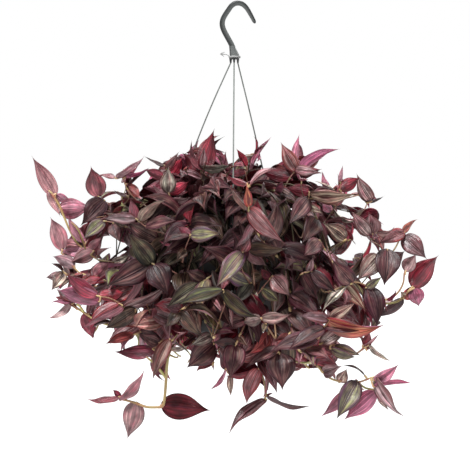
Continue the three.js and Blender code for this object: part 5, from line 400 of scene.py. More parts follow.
# ---------------------------------------------------------------- hook and crown
# centre line of the bar, tip first: x, z, thickness in the plane of the hook
BAR = np.array([
    [23.9, -24.0, 4.8], [21.7, -19.7, 5.1], [19.3, -15.1, 5.4], [16.4, -9.9, 5.8], [13.4, -4.9, 6.1], [10.3, -1.0, 6.5],
    [5.9, 2.3, 6.8], [0.4, 3.4, 6.9], [-4.6, 2.2, 6.9], [-8.6, -0.9, 6.9], [-12.0, -5.6, 6.9], [-15.4, -10.6, 6.9],
    [-18.6, -16.0, 7.0], [-20.5, -22.0, 7.1], [-20.2, -28.4, 7.2], [-17.6, -35.2, 7.3], [-13.4, -43.0, 7.4], [-9.2, -50.6, 7.5], [-6.2, -57.0, 7.5]])
CROWN_X = -3.9
P, at = smooth_line(np.stack([BAR[:, 0], np.zeros(len(BAR)), BAR[:, 1]], 1), 0.9)
R = np.interp(at, np.arange(len(BAR)), BAR[:, 2]) / 2
e = np.arange(24) / 24 * 2 * math.pi


def bar_ring(i, sd, up):
    """A rounded bar a little flatter on its two faces, with a moulding line down each side; its free end is domed."""
    n = 2.6
    c, s = np.cos(e), np.sin(e)
    k = (np.abs(c) ** n + np.abs(s) ** n) ** (-1 / n)
    in_plane = sd if abs(sd[1]) < 0.5 else up
    across = np.array([0.0, 1.0, 0.0])
    d = min(i, 4)
    dome = (0.30, 0.62, 0.82, 0.94, 1.0)[d]
    r = R[i] * dome
    seam = 1 + 0.03 * np.exp(-((np.abs(s) - 1) / 0.004) ** 2)
    if np.dot(np.cross(in_plane, across), np.cross(sd, up)) < 0:
        across = -across
    return P[i] + (k * c * seam * r)[:, None] * in_plane + (k * s * r * 0.97)[:, None] * across


V1, F1 = sweep(P, bar_ring)
# painted shade and light: the bar's outer flank is coloured darker and its inner flank lighter, for how the light falls
# across it
T = np.gradient(P, axis=0)
T /= np.linalg.norm(T, axis=1)[:, None]
flank = np.stack([T[:, 2], T[:, 1] * 0, -T[:, 0]], 1)
w1 = np.einsum("ij,ij->i", V1[:-2] - np.repeat(P, 24, 0), np.repeat(flank, 24, 0)) / np.repeat(R, 24)
bar_painted_light = np.concatenate([np.clip(0.38 - 0.72 * w1, 0, 1), [0.3, 0.5]])
# the crown: a flat-faced flare, upright on its left, with a step and a band at its foot
outline = np.array([[-1.0, 0.05], [-0.66, -0.84], [0.10, -1.0], [0.70, -0.84], [1.0, -0.05], [0.70, 0.84], [0.10, 1.0], [-0.66, 0.84]])
LEVELS = [  # z, left, right, half depth
    (-50.6, -11.6, -6.2, 2.4), (-53.0, -11.7, -4.6, 3.4), (-56.0, -11.3, -3.0, 4.1), (-60.0, -11.0, -0.9, 4.9), (-64.0, -10.8, 1.2, 5.8),
    (-67.2, -10.6, 2.6, 6.4), (-67.8, -10.6, 2.7, 6.5), (-68.0, -10.8, 2.9, 6.7), (-68.9, -10.8, 3.0, 6.75), (-69.3, -10.7, 2.9, 6.65),
    (-69.6, -10.1, 2.3, 6.1), (-72.0, -9.9, 2.1, 5.9), (-72.4, -9.5, 1.7, 5.5), (-72.4, -6.0, -1.6, 2.0)]
V2 = []
for z, x0, x1, d in LEVELS:
    c = outline * [(x1 - x0) / 2, d] + [(x0 + x1) / 2, 0]
    ring = []
    for i in range(8):
        a, b0, b1 = c[i], c[i - 1], c[(i + 1) % 8]
        for q, w in ((b0, 0.16), (b0, 0.05), (b1, 0.05), (b1, 0.16)):
            ring.append(a + (q - a) * w)
    V2.append(np.column_stack([ring, np.full(32, z)]))
n2 = len(V2)
V2 = np.vstack(V2 + [[[-8.9, 0, -50.2]], [[-3.8, 0, -72.4]]])
F2 = [(i * 32 + j, (i + 1) * 32 + j, (i + 1) * 32 + (j + 1) % 32, i * 32 + (j + 1) % 32) for i in range(n2 - 1) for j in range(32)]
F2 += [(n2 * 32, j, (j + 1) % 32) for j in range(32)] + [(n2 * 32 + 1, (n2 - 1) * 32 + (j + 1) % 32, (n2 - 1) * 32 + j) for j in range(32)]
# painted shade on the crown: a dark strip up its left side and a darker step at its foot
x_in = np.interp(-V2[:, 2], [-l[0] for l in LEVELS], [l[1] for l in LEVELS])
crown_painted_light = np.clip((V2[:, 0] - x_in - 1.3) / 0.8, 0.05, 0.9) * np.where(V2[:, 2] < -69.4, 0.25, 1.0)
painted_light_parts = [bar_painted_light, crown_painted_light]
V, F = [V1, V2], F1 + [tuple(len(V1) + k for k in f) for f in F2]
count = len(V1) + len(V2)
WIRES = {"wire_left": (158.6, 6.0, -0.5, 0.0), "wire_middle": (-81.4, 0.0, -1.5, -4.0), "wire_right": (38.6, 2.0, 0.3, -0.6)}
for az, _, shift, _ in WIRES.values():
    a = math.radians(az)
    cx, cy = CROWN_X + 5.2 * math.cos(a) + shift, 5.2 * math.sin(a)
    prof = [(0, -70.9), (1.9, -70.9), (1.85, -72.6), (1.7, -73.2), (1.25, -76.6), (1.2, -77.2), (1.05, -77.5), (0, -77.5)]
    # painted shade: the wire sockets under the crown are coloured dark, two of them darker than the third
    painted_light_parts.append(np.full(len(prof[1:-1]) * 20 + 2, 0.12 if az < 30 or az > 90 else 0.6))
    v, f = lathe(prof[::-1], 20, cx, cy)
    V.append(v)
    F += [tuple(count + k for k in q) for q in f]
    count += len(v)
hook = mesh_object("hook_and_crown", np.vstack(V), F, [HOOK], {"tone": np.concatenate(painted_light_parts)})
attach(hook, "root")
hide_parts("hanger_hook")

# ---------------------------------------------------------------- tie with its barbed tail
x0 = CROWN_X - 6.8 - 0.35 - 0.5
a = np.arange(64) / 64 * 2 * math.pi
V, F = [], []
prof = [(7.18, -70.5), (7.95, -70.6), (8.05, -70.3), (8.05, -68.7), (7.95, -68.4), (7.18, -68.5)]
for r, z in prof:
    V.append(np.stack([CROWN_X + r * np.cos(a), r * np.sin(a), np.full(64, z)], 1))
F += [(i * 64 + j, i * 64 + (j + 1) % 64, ((i + 1) % 6) * 64 + (j + 1) % 64, ((i + 1) % 6) * 64 + j) for i in range(6) for j in range(64)]
count = 6 * 64
for pts, rr in (
    ([[x0 + 0.3, 0, -69.6], [x0 - 1.2, 0, -67.2], [x0 - 4.0, 0, -66.0], [x0 - 9.4, 0, -65.4], [x0 - 12.2, 0, -65.2]], [0.6, 0.55, 0.5, 0.75, 0.2]),
    ([[x0 - 11.4, 0, -65.3], [x0 - 8.0, 0, -63.4], [x0 - 5.6, 0, -63.2]], [0.8, 0.6, 0.2]),
    ([[x0 - 11.4, 0, -65.3], [x0 - 8.4, 0, -67.4], [x0 - 6.6, 0, -69.0]], [0.8, 0.6, 0.2]),
):
    Q, at = smooth_line(pts, 0.6)
    v, f = round_tube(Q, np.interp(at, np.arange(len(rr)), rr), 12, count)
    V.append(v)
    F += f
    count += len(v)
tie = mesh_object("crown_tie_band", np.vstack(V), F, [TIE])
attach(tie, "root")
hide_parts("crown_tie")

# ---------------------------------------------------------------- wires
POT_X, RIM_Z = -15.0, -296.0
for name, (az, bow, shift, low) in WIRES.items():
    az = math.radians(az)
    out, along = np.array([math.cos(az), math.sin(az), 0]), np.array([-math.sin(az), math.cos(az), 0])
    top = np.array([CROWN_X + shift, 0, -77.85]) + out * 5.2
    hole = np.array([POT_X, 0, -297.5]) + out * 85 + along * (low * along[0])
    pts = [top + (hole - top) * t + out * bow * 4 * t * (1 - t) for t in np.linspace(0, 1, 12)]
    pts += [np.array([hole[0], hole[1], RIM_Z + z]) + along * s for s, z in ((0, -3.2), (1.0, -5.0), (3.0, -5.8), (6.5, -5.8))]
    pts[0] = top + np.array([0, 0, 0.6])
    Q, at = smooth_line(pts, 1.6)
    v, f = round_tube(Q, np.full(len(Q), 0.92), 12)
    o = mesh_object(name + "_steel", v, f, [WIRE])
    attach(o, "root")
    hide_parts(name)

# ---------------------------------------------------------------- pot, saucer and soil


def wall(z):
    return 80 - (-299 - z) * 0.15


ribs = []
for z in np.linspace(-421.0, -306.0, 47):
    ribs.append((wall(z) + 0.25 * math.cos((z + 306) / 5.0 * 2 * math.pi) - 0.25, z))
profile = [(0, -426.0), (wall(-426) - 1.6, -426.0), (wall(-426) - 0.5, -425.6), (wall(-426), -424.4)] + ribs + [
    (wall(-300) - 0.3, -302.0), (wall(-299) + 0.4, -299.8), (wall(-299) + 1.6, -299.0), (87.2, -299.0), (87.9, -299.6), (88.0, -305.2),
    (88.3, -306.0), (89.2, -306.0), (89.6, -305.4), (89.95, -299.0), (90.0, -298.0), (89.6, -296.8), (88.6, -296.05), (87.0, -296.0),
    (79.6, -296.0), (78.3, -296.3), (77.8, -297.2), (77.6, -299.0), (wall(-423.4) - 2.2, -423.4), (0, -423.4)]
V, F = lathe(profile, 144, POT_X, 0)
pot = mesh_object("pot_shell", V, F, [POT])
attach(pot, "root")
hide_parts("pot")
z = -439.0
grip = wall(-421) + 0.55
V, F = lathe([(0, z), (62.0, z), (64.0, z + 0.4), (66.5, z + 1.5), (67.6, z + 3.0), (70.9, -422.6), (71.0, -421.8), (70.7, -421.1), (70.2, -421.0),
              (grip + 0.4, -421.0), (grip, -421.3), (grip, -423.2), (68.6, -424.4), (64.8, z + 4.6), (62.0, z + 2.8), (0, z + 2.6)], 144, POT_X, 0)
saucer = mesh_object("drip_saucer_dish", V, F, [POT])
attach(saucer, "root")
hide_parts("drip_saucer")
rng = np.random.default_rng(11)
rs = [0.0] + list(np.linspace(2.2, 76.9, 34))
V, F, seg = [], [], 96
a = np.arange(seg) / seg * 2 * math.pi
lump = [(rng.uniform(0.05, 0.32, 2) * rng.choice([-1, 1], 2), rng.uniform(0, 6.28)) for _ in range(16)]
for r in rs[1:]:
    x, y = r * np.cos(a), r * np.sin(a)
    h = sum(np.sin(x * k[0] + y * k[1] + p) for k, p in lump) * 0.28
    V.append(np.stack([POT_X + x, y, -309.6 + np.clip(h, -1.2, 1.0) * (0.15 if r > 76 else 1)], 1))
for r, zz in ((76.9, -312.0), (62.0, -410.0)):
    V.append(np.stack([POT_X + r * np.cos(a), r * np.sin(a), np.full(seg, zz)], 1))
n = len(V)
V = np.vstack(V + [[[POT_X, 0, -309.3]], [[POT_X, 0, -410.0]]])
F = [(i * seg + j, (i + 1) * seg + j, (i + 1) * seg + (j + 1) % seg, i * seg + (j + 1) % seg) for i in range(n - 1) for j in range(seg)]
F += [(n * seg, j, (j + 1) % seg) for j in range(seg)] + [(n * seg + 1, (n - 1) * seg + (j + 1) % seg, (n - 1) * seg + j) for j in range(seg)]
soil = mesh_object("potting_mix_surface", V, F, [SOIL])
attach(soil, "root")
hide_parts("potting_soil")

# ---------------------------------------------------------------- shoots
# Each: name of its CAD node, stems as x, y, z, radius in tenths of a millimetre (hundredths for the radius), and leaves:
# base, tip, direction of the upper face x 100, width, arch and fold x 1000, and the colours of the upper face and the underside.
SHOOTS = [
    ("shoot_right_bottom",
     [[-11, -119, -3080, 210, 35, -170, -2818, 207, 183, -399, -2707, 204, 342, -644, -2663, 200, 492, -868, -2756, 197, 572, -989, -3011, 194, 620, -1063, -3292, 191, 658, -1118, -3581, 188, 692, -1161, -3871, 185, 728, -1194, -4163, 181, 775, -1216, -4454, 178, 820, -1220, -4599, 175, 953, -1170, -4710, 165, 1074, -1118, -4832, 155, 1200, -1089, -4950, 145, 1372, -1063, -4995, 135, 1551, -1044, -5004, 125, 1720, -1030, -4948, 115],
      [1551, -1044, -5004, 160, 1593, -942, -5036, 150, 1663, -920, -5086, 140, 1821, -900, -5114, 115],
      [953, -1170, -4710, 135, 937, -1030, -4719, 118, 939, -950, -4743, 100],
      [1074, -1118, -4832, 135, 1105, -904, -4763, 118, 1158, -800, -4672, 100],
      [953, -1170, -4710, 135, 955, -979, -4756, 126, 907, -729, -4777, 118, 882, -519, -4799, 109, 952, -450, -4852, 100],
      [953, -1170, -4710, 135, 908, -994, -4751, 128, 786, -759, -4762, 121, 657, -523, -4764, 114, 590, -344, -4777, 107, 657, -278, -4821, 100],
      [820, -1220, -4599, 135, 722, -1117, -4654, 118, 653, -1086, -4681, 100]],
     [[1545, -1052, -4984, 1263, -1212, -5476, 13, -95, 30, 296, 80, 170, "gd", "rm", 0],
      [1484, -1056, -5075, 1067, -1076, -5462, 35, 88, -32, 192, 60, 170, "mv", "pk", 0],
      [1315, -1062, -4998, 1412, -1062, -4818, 0, -100, 0, 168, 60, 340, "bg", "mr", 0],
      [1649, -1030, -4916, 1324, -1030, -4793, 34, -40, 85, 80, 160, 170, "dk", "dk", 0],
      [1766, -1030, -4980, 2087, -1110, -4756, -12, -95, -30, 179, 120, 340, "pk", "rm", 0],
      [1760, -1030, -5063, 2266, -1070, -5004, 7, 45, 89, 206, 50, 340, "pc", "pc", 0],
      [1775, -1030, -4936, 2146, -1130, -5465, -78, -43, -46, 351, 60, 170, "mg", "mg", 0],
      [1100, -1116, -4869, 1346, -1256, -4778, -50, -84, -22, 209, 80, 340, "ms", "ml", 0],
      [1803, -903, -5128, 1368, -983, -5506, 2, 98, -22, 276, 80, 340, "mr", "pv", 0],
      [1821, -900, -5113, 1977, -960, -5390, -55, -83, -2, 105, 80, 170, "gg", "pu", 0],
      [506, -889, -2800, 922, -947, -3147, 28, -84, 47, 228, 93, 100, "nk", "nk", 1],
      [1569, -984, -5032, 1531, -520, -5151, 78, 22, 59, 188, 43, 186, "rm", "pm", 1],
      [675, -1139, -3725, 436, -1465, -4151, 31, -83, 46, 265, 52, 133, "nk", "ng", 1],
      [653, -1110, -3540, 994, -918, -3995, 77, -52, 36, 263, 54, 163, "dm", "dm", 1],
      [765, -1212, -4393, 780, -1494, -4774, 40, -73, 55, 244, 111, 135, "mv", "mv", 1],
      [57, -204, -2801, 95, -540, -2611, 93, -10, -36, 191, 58, 206, "ng", "nk", 2],
      [739, -1199, -4236, 1160, -1185, -4546, -10, -98, -18, 214, 117, 143, "mm", "rm", 1],
      [886, -1195, -4655, 1269, -897, -4729, 57, -60, 56, 219, 123, 216, "ms", "mv", 1],
      [807, -1219, -4557, 1114, -965, -4548, 25, -34, 91, 168, 118, 112, "mm", "mr", 1],
      [878, -1195, -4653, 1317, -944, -4806, 57, -79, 21, 211, 133, 125, "mr", "mr", 1],
      [1016, -1149, -4756, 1282, -909, -5013, 67, -5, 74, 176, 110, 149, "go", "rm", 1],
      [739, -1199, -4236, 1029, -898, -4559, 82, -52, 24, 240, 40, 202, "mr", "mr", 1],
      [939, -960, -4740, 930, -736, -4518, 73, -46, 50, 140, 73, 164, "mv", "mb", 1],
      [1154, -807, -4679, 1241, -802, -4318, 27, -96, -5, 173, 124, 141, "mr", "mm", 1],
      [941, -456, -4859, 1173, -293, -4885, 24, -52, 82, 137, 118, 115, "mr", "mr", 1],
      [893, -611, -4789, 967, -822, -4412, 88, 46, 8, 218, 77, 201, "dk", "mr", 1],
      [915, -771, -4773, 598, -446, -4710, 67, 56, 49, 224, 69, 129, "md", "cr", 1],
      [946, -935, -4760, 773, -498, -4707, 89, 31, 33, 211, 124, 216, "db", "mr", 1],
      [652, -285, -4821, 940, -74, -4902, 62, -50, 61, 173, 131, 204, "rm", "mr", 1],
      [618, -420, -4771, 565, -15, -4850, 24, 22, 94, 192, 87, 208, "gs", "rp", 1],
      [694, -590, -4763, 588, -842, -4383, 97, -2, 25, 236, 46, 115, "dk", "rp", 1],
      [662, -1089, -4677, 550, -1203, -5014, 38, -91, 18, 180, 56, 145, "rb", "ml", 1]]),
    ("shoot_right_front",
     [[-251, -239, -3080, 210, -186, -281, -2800, 207, -30, -470, -2607, 204, 142, -687, -2466, 201, 321, -928, -2458, 198, 427, -1101, -2689, 195, 491, -1225, -2968, 192, 542, -1332, -3256, 190, 587, -1430, -3549, 187, 630, -1524, -3843, 184, 676, -1618, -4137, 181, 733, -1721, -4425, 178, 791, -1796, -4559, 175, 927, -1901, -4467, 145, 1048, -1953, -4315, 130, 1140, -1990, -4141, 115],
      [-30, -470, -2607, 150, -81, -289, -2375, 127, -64, -204, -2182, 105]],
     [[1137, -1989, -4146, 1469, -2089, -3926, 0, -91, -42, 172, 60, 170, "bg", "mr", 0],
      [1098, -1986, -4132, 1838, -2026, -4223, -12, -73, -67, 335, 80, 340, "rg", "pu", 0],
      [1077, -1970, -4232, 1666, -1990, -4318, 7, -70, 71, 248, 60, 170, "md", "mr", 0],
      [1083, -1967, -4249, 603, -2087, -4532, -22, -71, 67, 239, 60, 170, "md", "mr", 0],
      [1137, -1989, -4146, 740, -2069, -4088, 24, -85, 47, 172, 60, 170, "mq", "mb", 0],
      [995, -1930, -4382, 370, -1970, -4552, -9, -85, 53, 273, 60, 170, "md", "mv", 0],
      [-65, -210, -2195, 103, -106, -2065, -57, -9, 82, 66, 67, 340, "rd", "mb", 1],
      [-79, -281, -2356, 318, -103, -2336, 31, -76, 58, 220, 87, 168, "rm", "rp", 2],
      [-73, -318, -2412, 254, 59, -2435, 27, -18, 95, 222, 127, 186, "dm", "nk", 2],
      [344, -966, -2508, 275, -1381, -2635, 87, -27, 40, 213, 126, 219, "dk", "ng", 1],
      [-159, -314, -2766, -119, -655, -2454, 98, 20, 9, 213, 120, 142, "nk", "dk", 2],
      [663, -1591, -4055, 1003, -1768, -4458, 4, -90, 43, 255, 98, 145, "dk", "ml", 1],
      [-48, -405, -2524, -464, -197, -2271, 5, -73, 68, 255, 139, 120, "mb", "dk", 1],
      [855, -1846, -4516, 1158, -2170, -4653, -10, -47, 88, 232, 125, 108, "md", "dm", 1],
      [694, -1650, -4229, 962, -1714, -4676, 40, -84, 36, 250, 119, 134, "gr", "mm", 1],
      [770, -1768, -4509, 1227, -1728, -4600, 13, -97, 21, 193, 117, 216, "mr", "pu", 1],
      [166, -719, -2465, 598, -909, -2501, 6, -4, 100, 212, 73, 176, "gd", "mm", 1],
      [-73, -318, -2412, 179, -140, -2034, 18, -93, 32, 230, 42, 194, "gd", "dm", 1],
      [3, -511, -2581, 315, -639, -2253, -54, -82, 20, 206, 100, 125, "gd", "dk", 1],
      [81, -610, -2516, 366, -935, -2234, -49, 28, 82, 226, 122, 152, "ng", "dm", 1],
      [-159, -314, -2766, -100, -661, -2597, -8, -45, -89, 165, 55, 138, "ng", "dk", 2],
      [855, -1846, -4516, 953, -2266, -4727, 22, -40, 89, 199, 43, 108, "gd", "cr", 1]]),
    ("shoot_right_low_b",
     [[-20, 68, -3080, 210, -19, 47, -2819, 207, 98, -183, -2687, 205, 224, -428, -2595, 202, 357, -680, -2534, 199, 496, -934, -2526, 197, 624, -1140, -2665, 194, 686, -1223, -2936, 191, 724, -1264, -3221, 188, 754, -1285, -3510, 186, 782, -1295, -3799, 183, 814, -1294, -4088, 180, 863, -1287, -4374, 178, 920, -1280, -4506, 175, 1122, -1241, -4488, 160, 1310, -1196, -4534, 145, 1483, -1157, -4638, 130, 1649, -1120, -4541, 115],
      [98, -183, -2687, 150, -20, -179, -2520, 127, -121, -181, -2322, 105]],
     [[1234, -1216, -4536, 1589, -1276, -4651, -24, -96, -10, 147, 100, 170, "gd", "mv", 0],
      [1189, -1224, -4551, 1524, -1344, -4656, -51, -68, -52, 187, 60, 170, "gd", "ml", 0],
      [1661, -1120, -4585, 1708, -1180, -4324, -1, 96, 28, 139, 50, 340, "cr", "cr", 0],
      [1689, -1120, -4516, 1982, -1160, -4730, -52, -40, -76, 174, 50, 170, "gl", "gl", 0],
      [1612, -1120, -4527, 1828, -1120, -4364, 60, -40, -70, 75, 50, 340, "mv", "mv", 0],
      [-114, -181, -2336, -231, -239, -2147, 82, 15, 55, 117, 127, 167, "mr", "ml", 2],
      [-42, -179, -2477, -257, -458, -2503, 32, -33, 89, 106, 71, 340, "dk", "ng", 2],
      [787, -1295, -3847, 935, -1330, -4315, 81, -50, 30, 241, 133, 173, "dk", "mr", 1],
      [484, -912, -2527, 813, -1051, -2692, 4, -72, 69, 184, 60, 195, "md", "nk", 1],
      [856, -1288, -4332, 808, -1669, -4672, 60, -58, 56, 222, 86, 115, "rm", "pu", 1],
      [827, -1292, -4162, 1209, -1019, -4253, 55, -55, 63, 231, 120, 198, "rb", "mr", 1],
      [46, -81, -2745, -108, -378, -2561, 76, 1, 65, 170, 94, 149, "nk", "dm", 2],
      [1065, -1252, -4493, 1421, -1140, -4242, 0, -92, 40, 204, 41, 192, "ms", "cr", 1],
      [47, -181, -2615, -78, -604, -2445, 72, 7, 69, 196, 133, 117, "dk", "dk", 2],
      [327, -623, -2548, 725, -918, -2513, 42, 65, 64, 214, 94, 138, "gd", "mm", 1],
      [856, -1288, -4332, 1033, -1518, -4717, 17, -81, 56, 212, 110, 188, "mm", "mr", 1],
      [-97, -181, -2370, 122, -24, -2086, -13, -82, 56, 181, 89, 104, "mm", "mv", 2],
      [918, -1280, -4501, 999, -1630, -4772, 54, -43, 72, 209, 73, 126, "md", "mr", 1],
      [484, -912, -2527, 535, -1448, -2593, 99, 8, 14, 249, 91, 112, "ng", "nk", 1],
      [-11, 33, -2811, 402, 5, -2996, 34, 68, 65, 202, 87, 156, "db", "dm", 2],
      [827, -1292, -4162, 1086, -1148, -4396, 72, -24, 65, 173, 59, 216, "dk", "mr", 1],
      [918, -1280, -4501, 1334, -1080, -4683, 49, -26, 83, 230, 54, 111, "mm", "pu", 1]]),
    ("shoot_bottom_center",
     [[230, -489, -3080, 210, 285, -493, -2816, 206, 432, -653, -2617, 203, 566, -874, -2590, 200, 571, -1009, -2851, 196, 552, -1108, -3129, 192, 524, -1194, -3410, 189, 489, -1273, -3692, 186, 451, -1348, -3976, 182, 407, -1421, -4259, 178, 379, -1460, -4406, 175, 310, -1505, -4589, 160, 289, -1520, -4787, 145, 340, -1507, -4980, 130, 353, -1500, -5178, 115],
      [489, -1273, -3692, 150, 471, -1284, -4079, 127, 508, -1293, -4386, 105],
      [489, -1273, -3692, 150, 337, -1309, -3948, 135, 186, -1348, -4189, 120, 121, -1509, -4333, 105]],
     [[368, -1500, -5187, -143, -1620, -5613, -48, -44, 76, 284, 60, 170, "mq", "mq", 0],
      [362, -1500, -5132, 947, -1560, -5266, -29, -40, -87, 200, 80, 170, "md", "md", 0],
      [340, -1501, -5165, 466, -1501, -5094, -41, 62, 67, 56, 50, 340, "md", "mr", 0],
      [276, -1520, -4782, 107, -1380, -5286, -40, -90, -17, 233, 60, 340, "rm", "mr", 0],
      [272, -1519, -4776, -182, -1339, -4899, 52, 53, -67, 160, 60, 340, "cr", "cr", 0],
      [506, -1292, -4371, 517, -1385, -4633, 20, -92, 33, 115, 74, 157, "rm", "rm", 1],
      [486, -1287, -4206, 667, -1068, -4498, 77, -64, 0, 196, 98, 188, "mb", "rp", 1],
      [472, -1283, -4058, 254, -1449, -4437, -65, -49, 59, 201, 84, 170, "gg", "pm", 1],
      [126, -1499, -4324, -13, -1668, -4525, -6, -74, 67, 85, 122, 340, "pk", "mr", 1],
      [167, -1396, -4232, 308, -1625, -4540, 45, -61, 66, 200, 87, 198, "md", "mv", 1],
      [218, -1340, -4138, -202, -1198, -4380, -52, -7, 85, 244, 75, 126, "ms", "pm", 1],
      [309, -1316, -3992, 367, -1531, -4359, -21, -86, 47, 210, 95, 202, "md", "mb", 1],
      [515, -1215, -3484, 547, -1525, -3794, 38, -63, 67, 193, 45, 203, "nk", "dk", 1],
      [560, -1067, -3013, 848, -937, -3310, 61, -75, 27, 177, 126, 104, "nk", "dk", 1],
      [413, -1411, -4220, 732, -1581, -4472, -6, -86, 50, 228, 111, 163, "dk", "mr", 1],
      [479, -1294, -3771, 434, -1585, -4143, 30, -77, 57, 225, 122, 161, "mg", "nk", 1],
      [498, -1252, -3616, 775, -1447, -4115, 53, -65, 55, 307, 134, 155, "ng", "dk", 1],
      [390, -1445, -4350, 113, -1747, -4603, 59, -76, 27, 202, 62, 143, "rb", "rp", 1],
      [570, -1015, -2868, 1041, -1046, -3270, 57, -42, 71, 276, 47, 146, "ng", "dk", 1],
      [533, -1164, -3312, 979, -1164, -3649, 45, -67, 60, 270, 58, 190, "ng", "nk", 1],
      [337, -1487, -4518, -109, -1620, -4703, 30, -95, -4, 248, 125, 132, "rm", "rm", 1],
      [257, -1330, -4076, -135, -1510, -4239, 33, -92, 22, 218, 140, 188, "gs", "rp", 1],
      [479, -1285, -4141, 489, -1203, -4581, -27, -94, -18, 183, 53, 206, "mr", "mr", 1],
      [174, -1378, -4216, 52, -1730, -4474, -29, -50, 82, 212, 61, 108, "dk", "mm", 1],
      [337, -1487, -4518, -172, -1639, -4654, 4, -73, 68, 230, 124, 107, "dk", "mr", 1],
      [390, -1445, -4350, 455, -1560, -4817, 26, -93, 27, 220, 120, 183, "rm", "mm", 1],
      [477, -1280, -3959, 668, -899, -4421, 58, -73, -36, 258, 79, 114, "db", "dm", 1],
      [301, -1510, -4674, 341, -1608, -5176, 97, -19, 13, 201, 72, 168, "mm", "cr", 1],
      [290, -1510, -4672, 502, -1619, -5113, 43, -77, 47, 252, 78, 139, "mq", "mr", 1],
      [560, -1067, -3013, 810, -1116, -3366, 65, -54, 53, 208, 122, 190, "md", "nk", 1],
      [498, -1290, -4299, 461, -1431, -4800, 46, -86, 21, 246, 125, 157, "md", "pu", 1],
      [130, -1488, -4315, -14, -1761, -4718, -11, -81, 58, 240, 69, 145, "ms", "pu", 1]]),
    ("shoot_front_green_b",
     [[102, -570, -3080, 210, 86, -624, -2810, 206, 135, -923, -2739, 202, 196, -1222, -2790, 198, 262, -1386, -3043, 194, 321, -1481, -3336, 191, 376, -1554, -3635, 187, 426, -1620, -3937, 183, 468, -1692, -4240, 179, 474, -1760, -4390, 175, 387, -1872, -4268, 145, 295, -1960, -4130, 115],
      [426, -1620, -3937, 150, 448, -1542, -3754, 141, 410, -1336, -3463, 132, 332, -1117, -3148, 123, 240, -1000, -2892, 114, 155, -1099, -2778, 105]],
     [[295, -1960, -4130, 678, -2060, -4076, -20, -93, -29, 168, 60, 170, "gb", "mr", 0],
      [295, -1960, -4130, 59, -2040, -4188, -30, 95, -7, 174, 80, 340, "mm", "gd", 0],
      [346, -1911, -4207, 295, -2011, -4326, 24, -79, 56, 100, 60, 340, "gd", "pm", 0],
      [162, -1090, -2788, 38, -1274, -2706, 80, -31, 52, 69, 102, 340, "rd", "mb", 2],
      [239, -1001, -2891, 105, -1126, -2602, -42, -75, -52, 87, 123, 340, "pm", "mr", 2],
      [283, -1055, -3012, -89, -841, -2829, 16, -46, 87, 236, 76, 198, "md", "nk", 2],
      [335, -1126, -3161, 259, -733, -2829, 21, -60, 77, 217, 62, 163, "db", "ng", 2],
      [374, -1236, -3319, -78, -1152, -3178, 13, -60, 79, 216, 95, 218, "nk", "dk", 2],
      [410, -1341, -3470, 331, -995, -3708, -56, -55, -62, 200, 71, 136, "nk", "dm", 1],
      [283, -1420, -3149, 504, -1520, -3533, 27, -88, 38, 206, 47, 142, "ng", "dk", 1],
      [402, -1314, -3431, -18, -1352, -3227, 34, -76, 55, 193, 95, 178, "rm", "mb", 2],
      [225, -1295, -2903, 53, -1680, -3174, 73, -58, 36, 225, 98, 184, "db", "pu", 1],
      [366, -1212, -3285, 603, -779, -3309, 68, -33, 66, 232, 104, 181, "nk", "dk", 2],
      [196, -1220, -2790, 490, -1592, -3093, 7, -60, 80, 279, 122, 158, "dk", "mr", 1]]),
    ("shoot_front_green",
     [[1, -274, -3080, 210, -15, -315, -2797, 206, -80, -601, -2716, 203, -144, -899, -2725, 200, -197, -1157, -2868, 196, -231, -1321, -3124, 192, -256, -1449, -3401, 189, -278, -1564, -3684, 186, -295, -1674, -3969, 182, -307, -1790, -4253, 178, -303, -1880, -4383, 175, -256, -1963, -4243, 160, -211, -2029, -4095, 145, -158, -2072, -3940, 130, -177, -2100, -3777, 115],
      [-307, -1790, -4253, 160, -420, -1665, -4047, 150, -533, -1620, -3918, 140, -625, -1695, -3985, 145, -731, -1750, -4051, 115]],
     [[-177, -2100, -3777, -767, -2200, -3971, -14, -65, 75, 264, 60, 170, "gk", "mr", 0],
      [-174, -2100, -3781, 279, -2200, -4125, -49, -75, -44, 261, 100, 170, "gk", "pu", 0],
      [-163, -2079, -3901, 108, -2159, -4071, 32, 94, 7, 124, 20, 170, "mv", "mv", 0],
      [-731, -1750, -4051, -441, -1830, -4373, -35, -93, -8, 185, 80, 170, "db", "rp", 0],
      [-713, -1741, -4040, -954, -1821, -3948, 28, -96, -11, 138, 80, 170, "md", "pm", 0],
      [-731, -1750, -4051, -917, -1810, -4262, 14, -98, 16, 163, 80, 170, "db", "mr", 0],
      [-244, -1387, -3267, -611, -1644, -3467, 42, -85, 33, 213, 72, 125, "ng", "dm", 1],
      [-162, -986, -2773, -443, -1390, -2893, 12, -36, 92, 209, 74, 197, "nk", "dk", 1],
      [-239, -1989, -4185, -693, -2194, -4012, 47, -34, 82, 232, 130, 111, "db", "mm", 1],
      [-409, -1678, -4068, -506, -1467, -3611, 38, -81, 45, 255, 41, 130, "nk", "dk", 1],
      [-290, -1902, -4345, -20, -2301, -4293, -49, -22, 84, 220, 68, 104, "nk", "mm", 1],
      [-289, -1635, -3867, -64, -1908, -4243, -10, -83, 54, 235, 125, 155, "mg", "rp", 1],
      [-573, -1653, -3947, -958, -1551, -4105, -43, -59, 68, 178, 117, 113, "dk", "nk", 1],
      [-677, -1722, -4018, -1078, -1601, -3982, -25, -91, 33, 173, 128, 168, "dm", "dk", 1],
      [-66, -541, -2733, 61, -781, -2916, 33, -46, 83, 146, 118, 173, "ng", "ng", 2],
      [-677, -1722, -4018, -1063, -1363, -3963, -61, -71, 34, 216, 60, 203, "mq", "mm", 1],
      [-211, -1224, -2972, 45, -1378, -3315, -3, -92, 39, 201, 94, 177, "ng", "ng", 1],
      [-289, -1635, -3867, -53, -2003, -4256, -29, -78, 56, 303, 98, 144, "nk", "ng", 1]]),
    ("shoot_bottom_left_side",
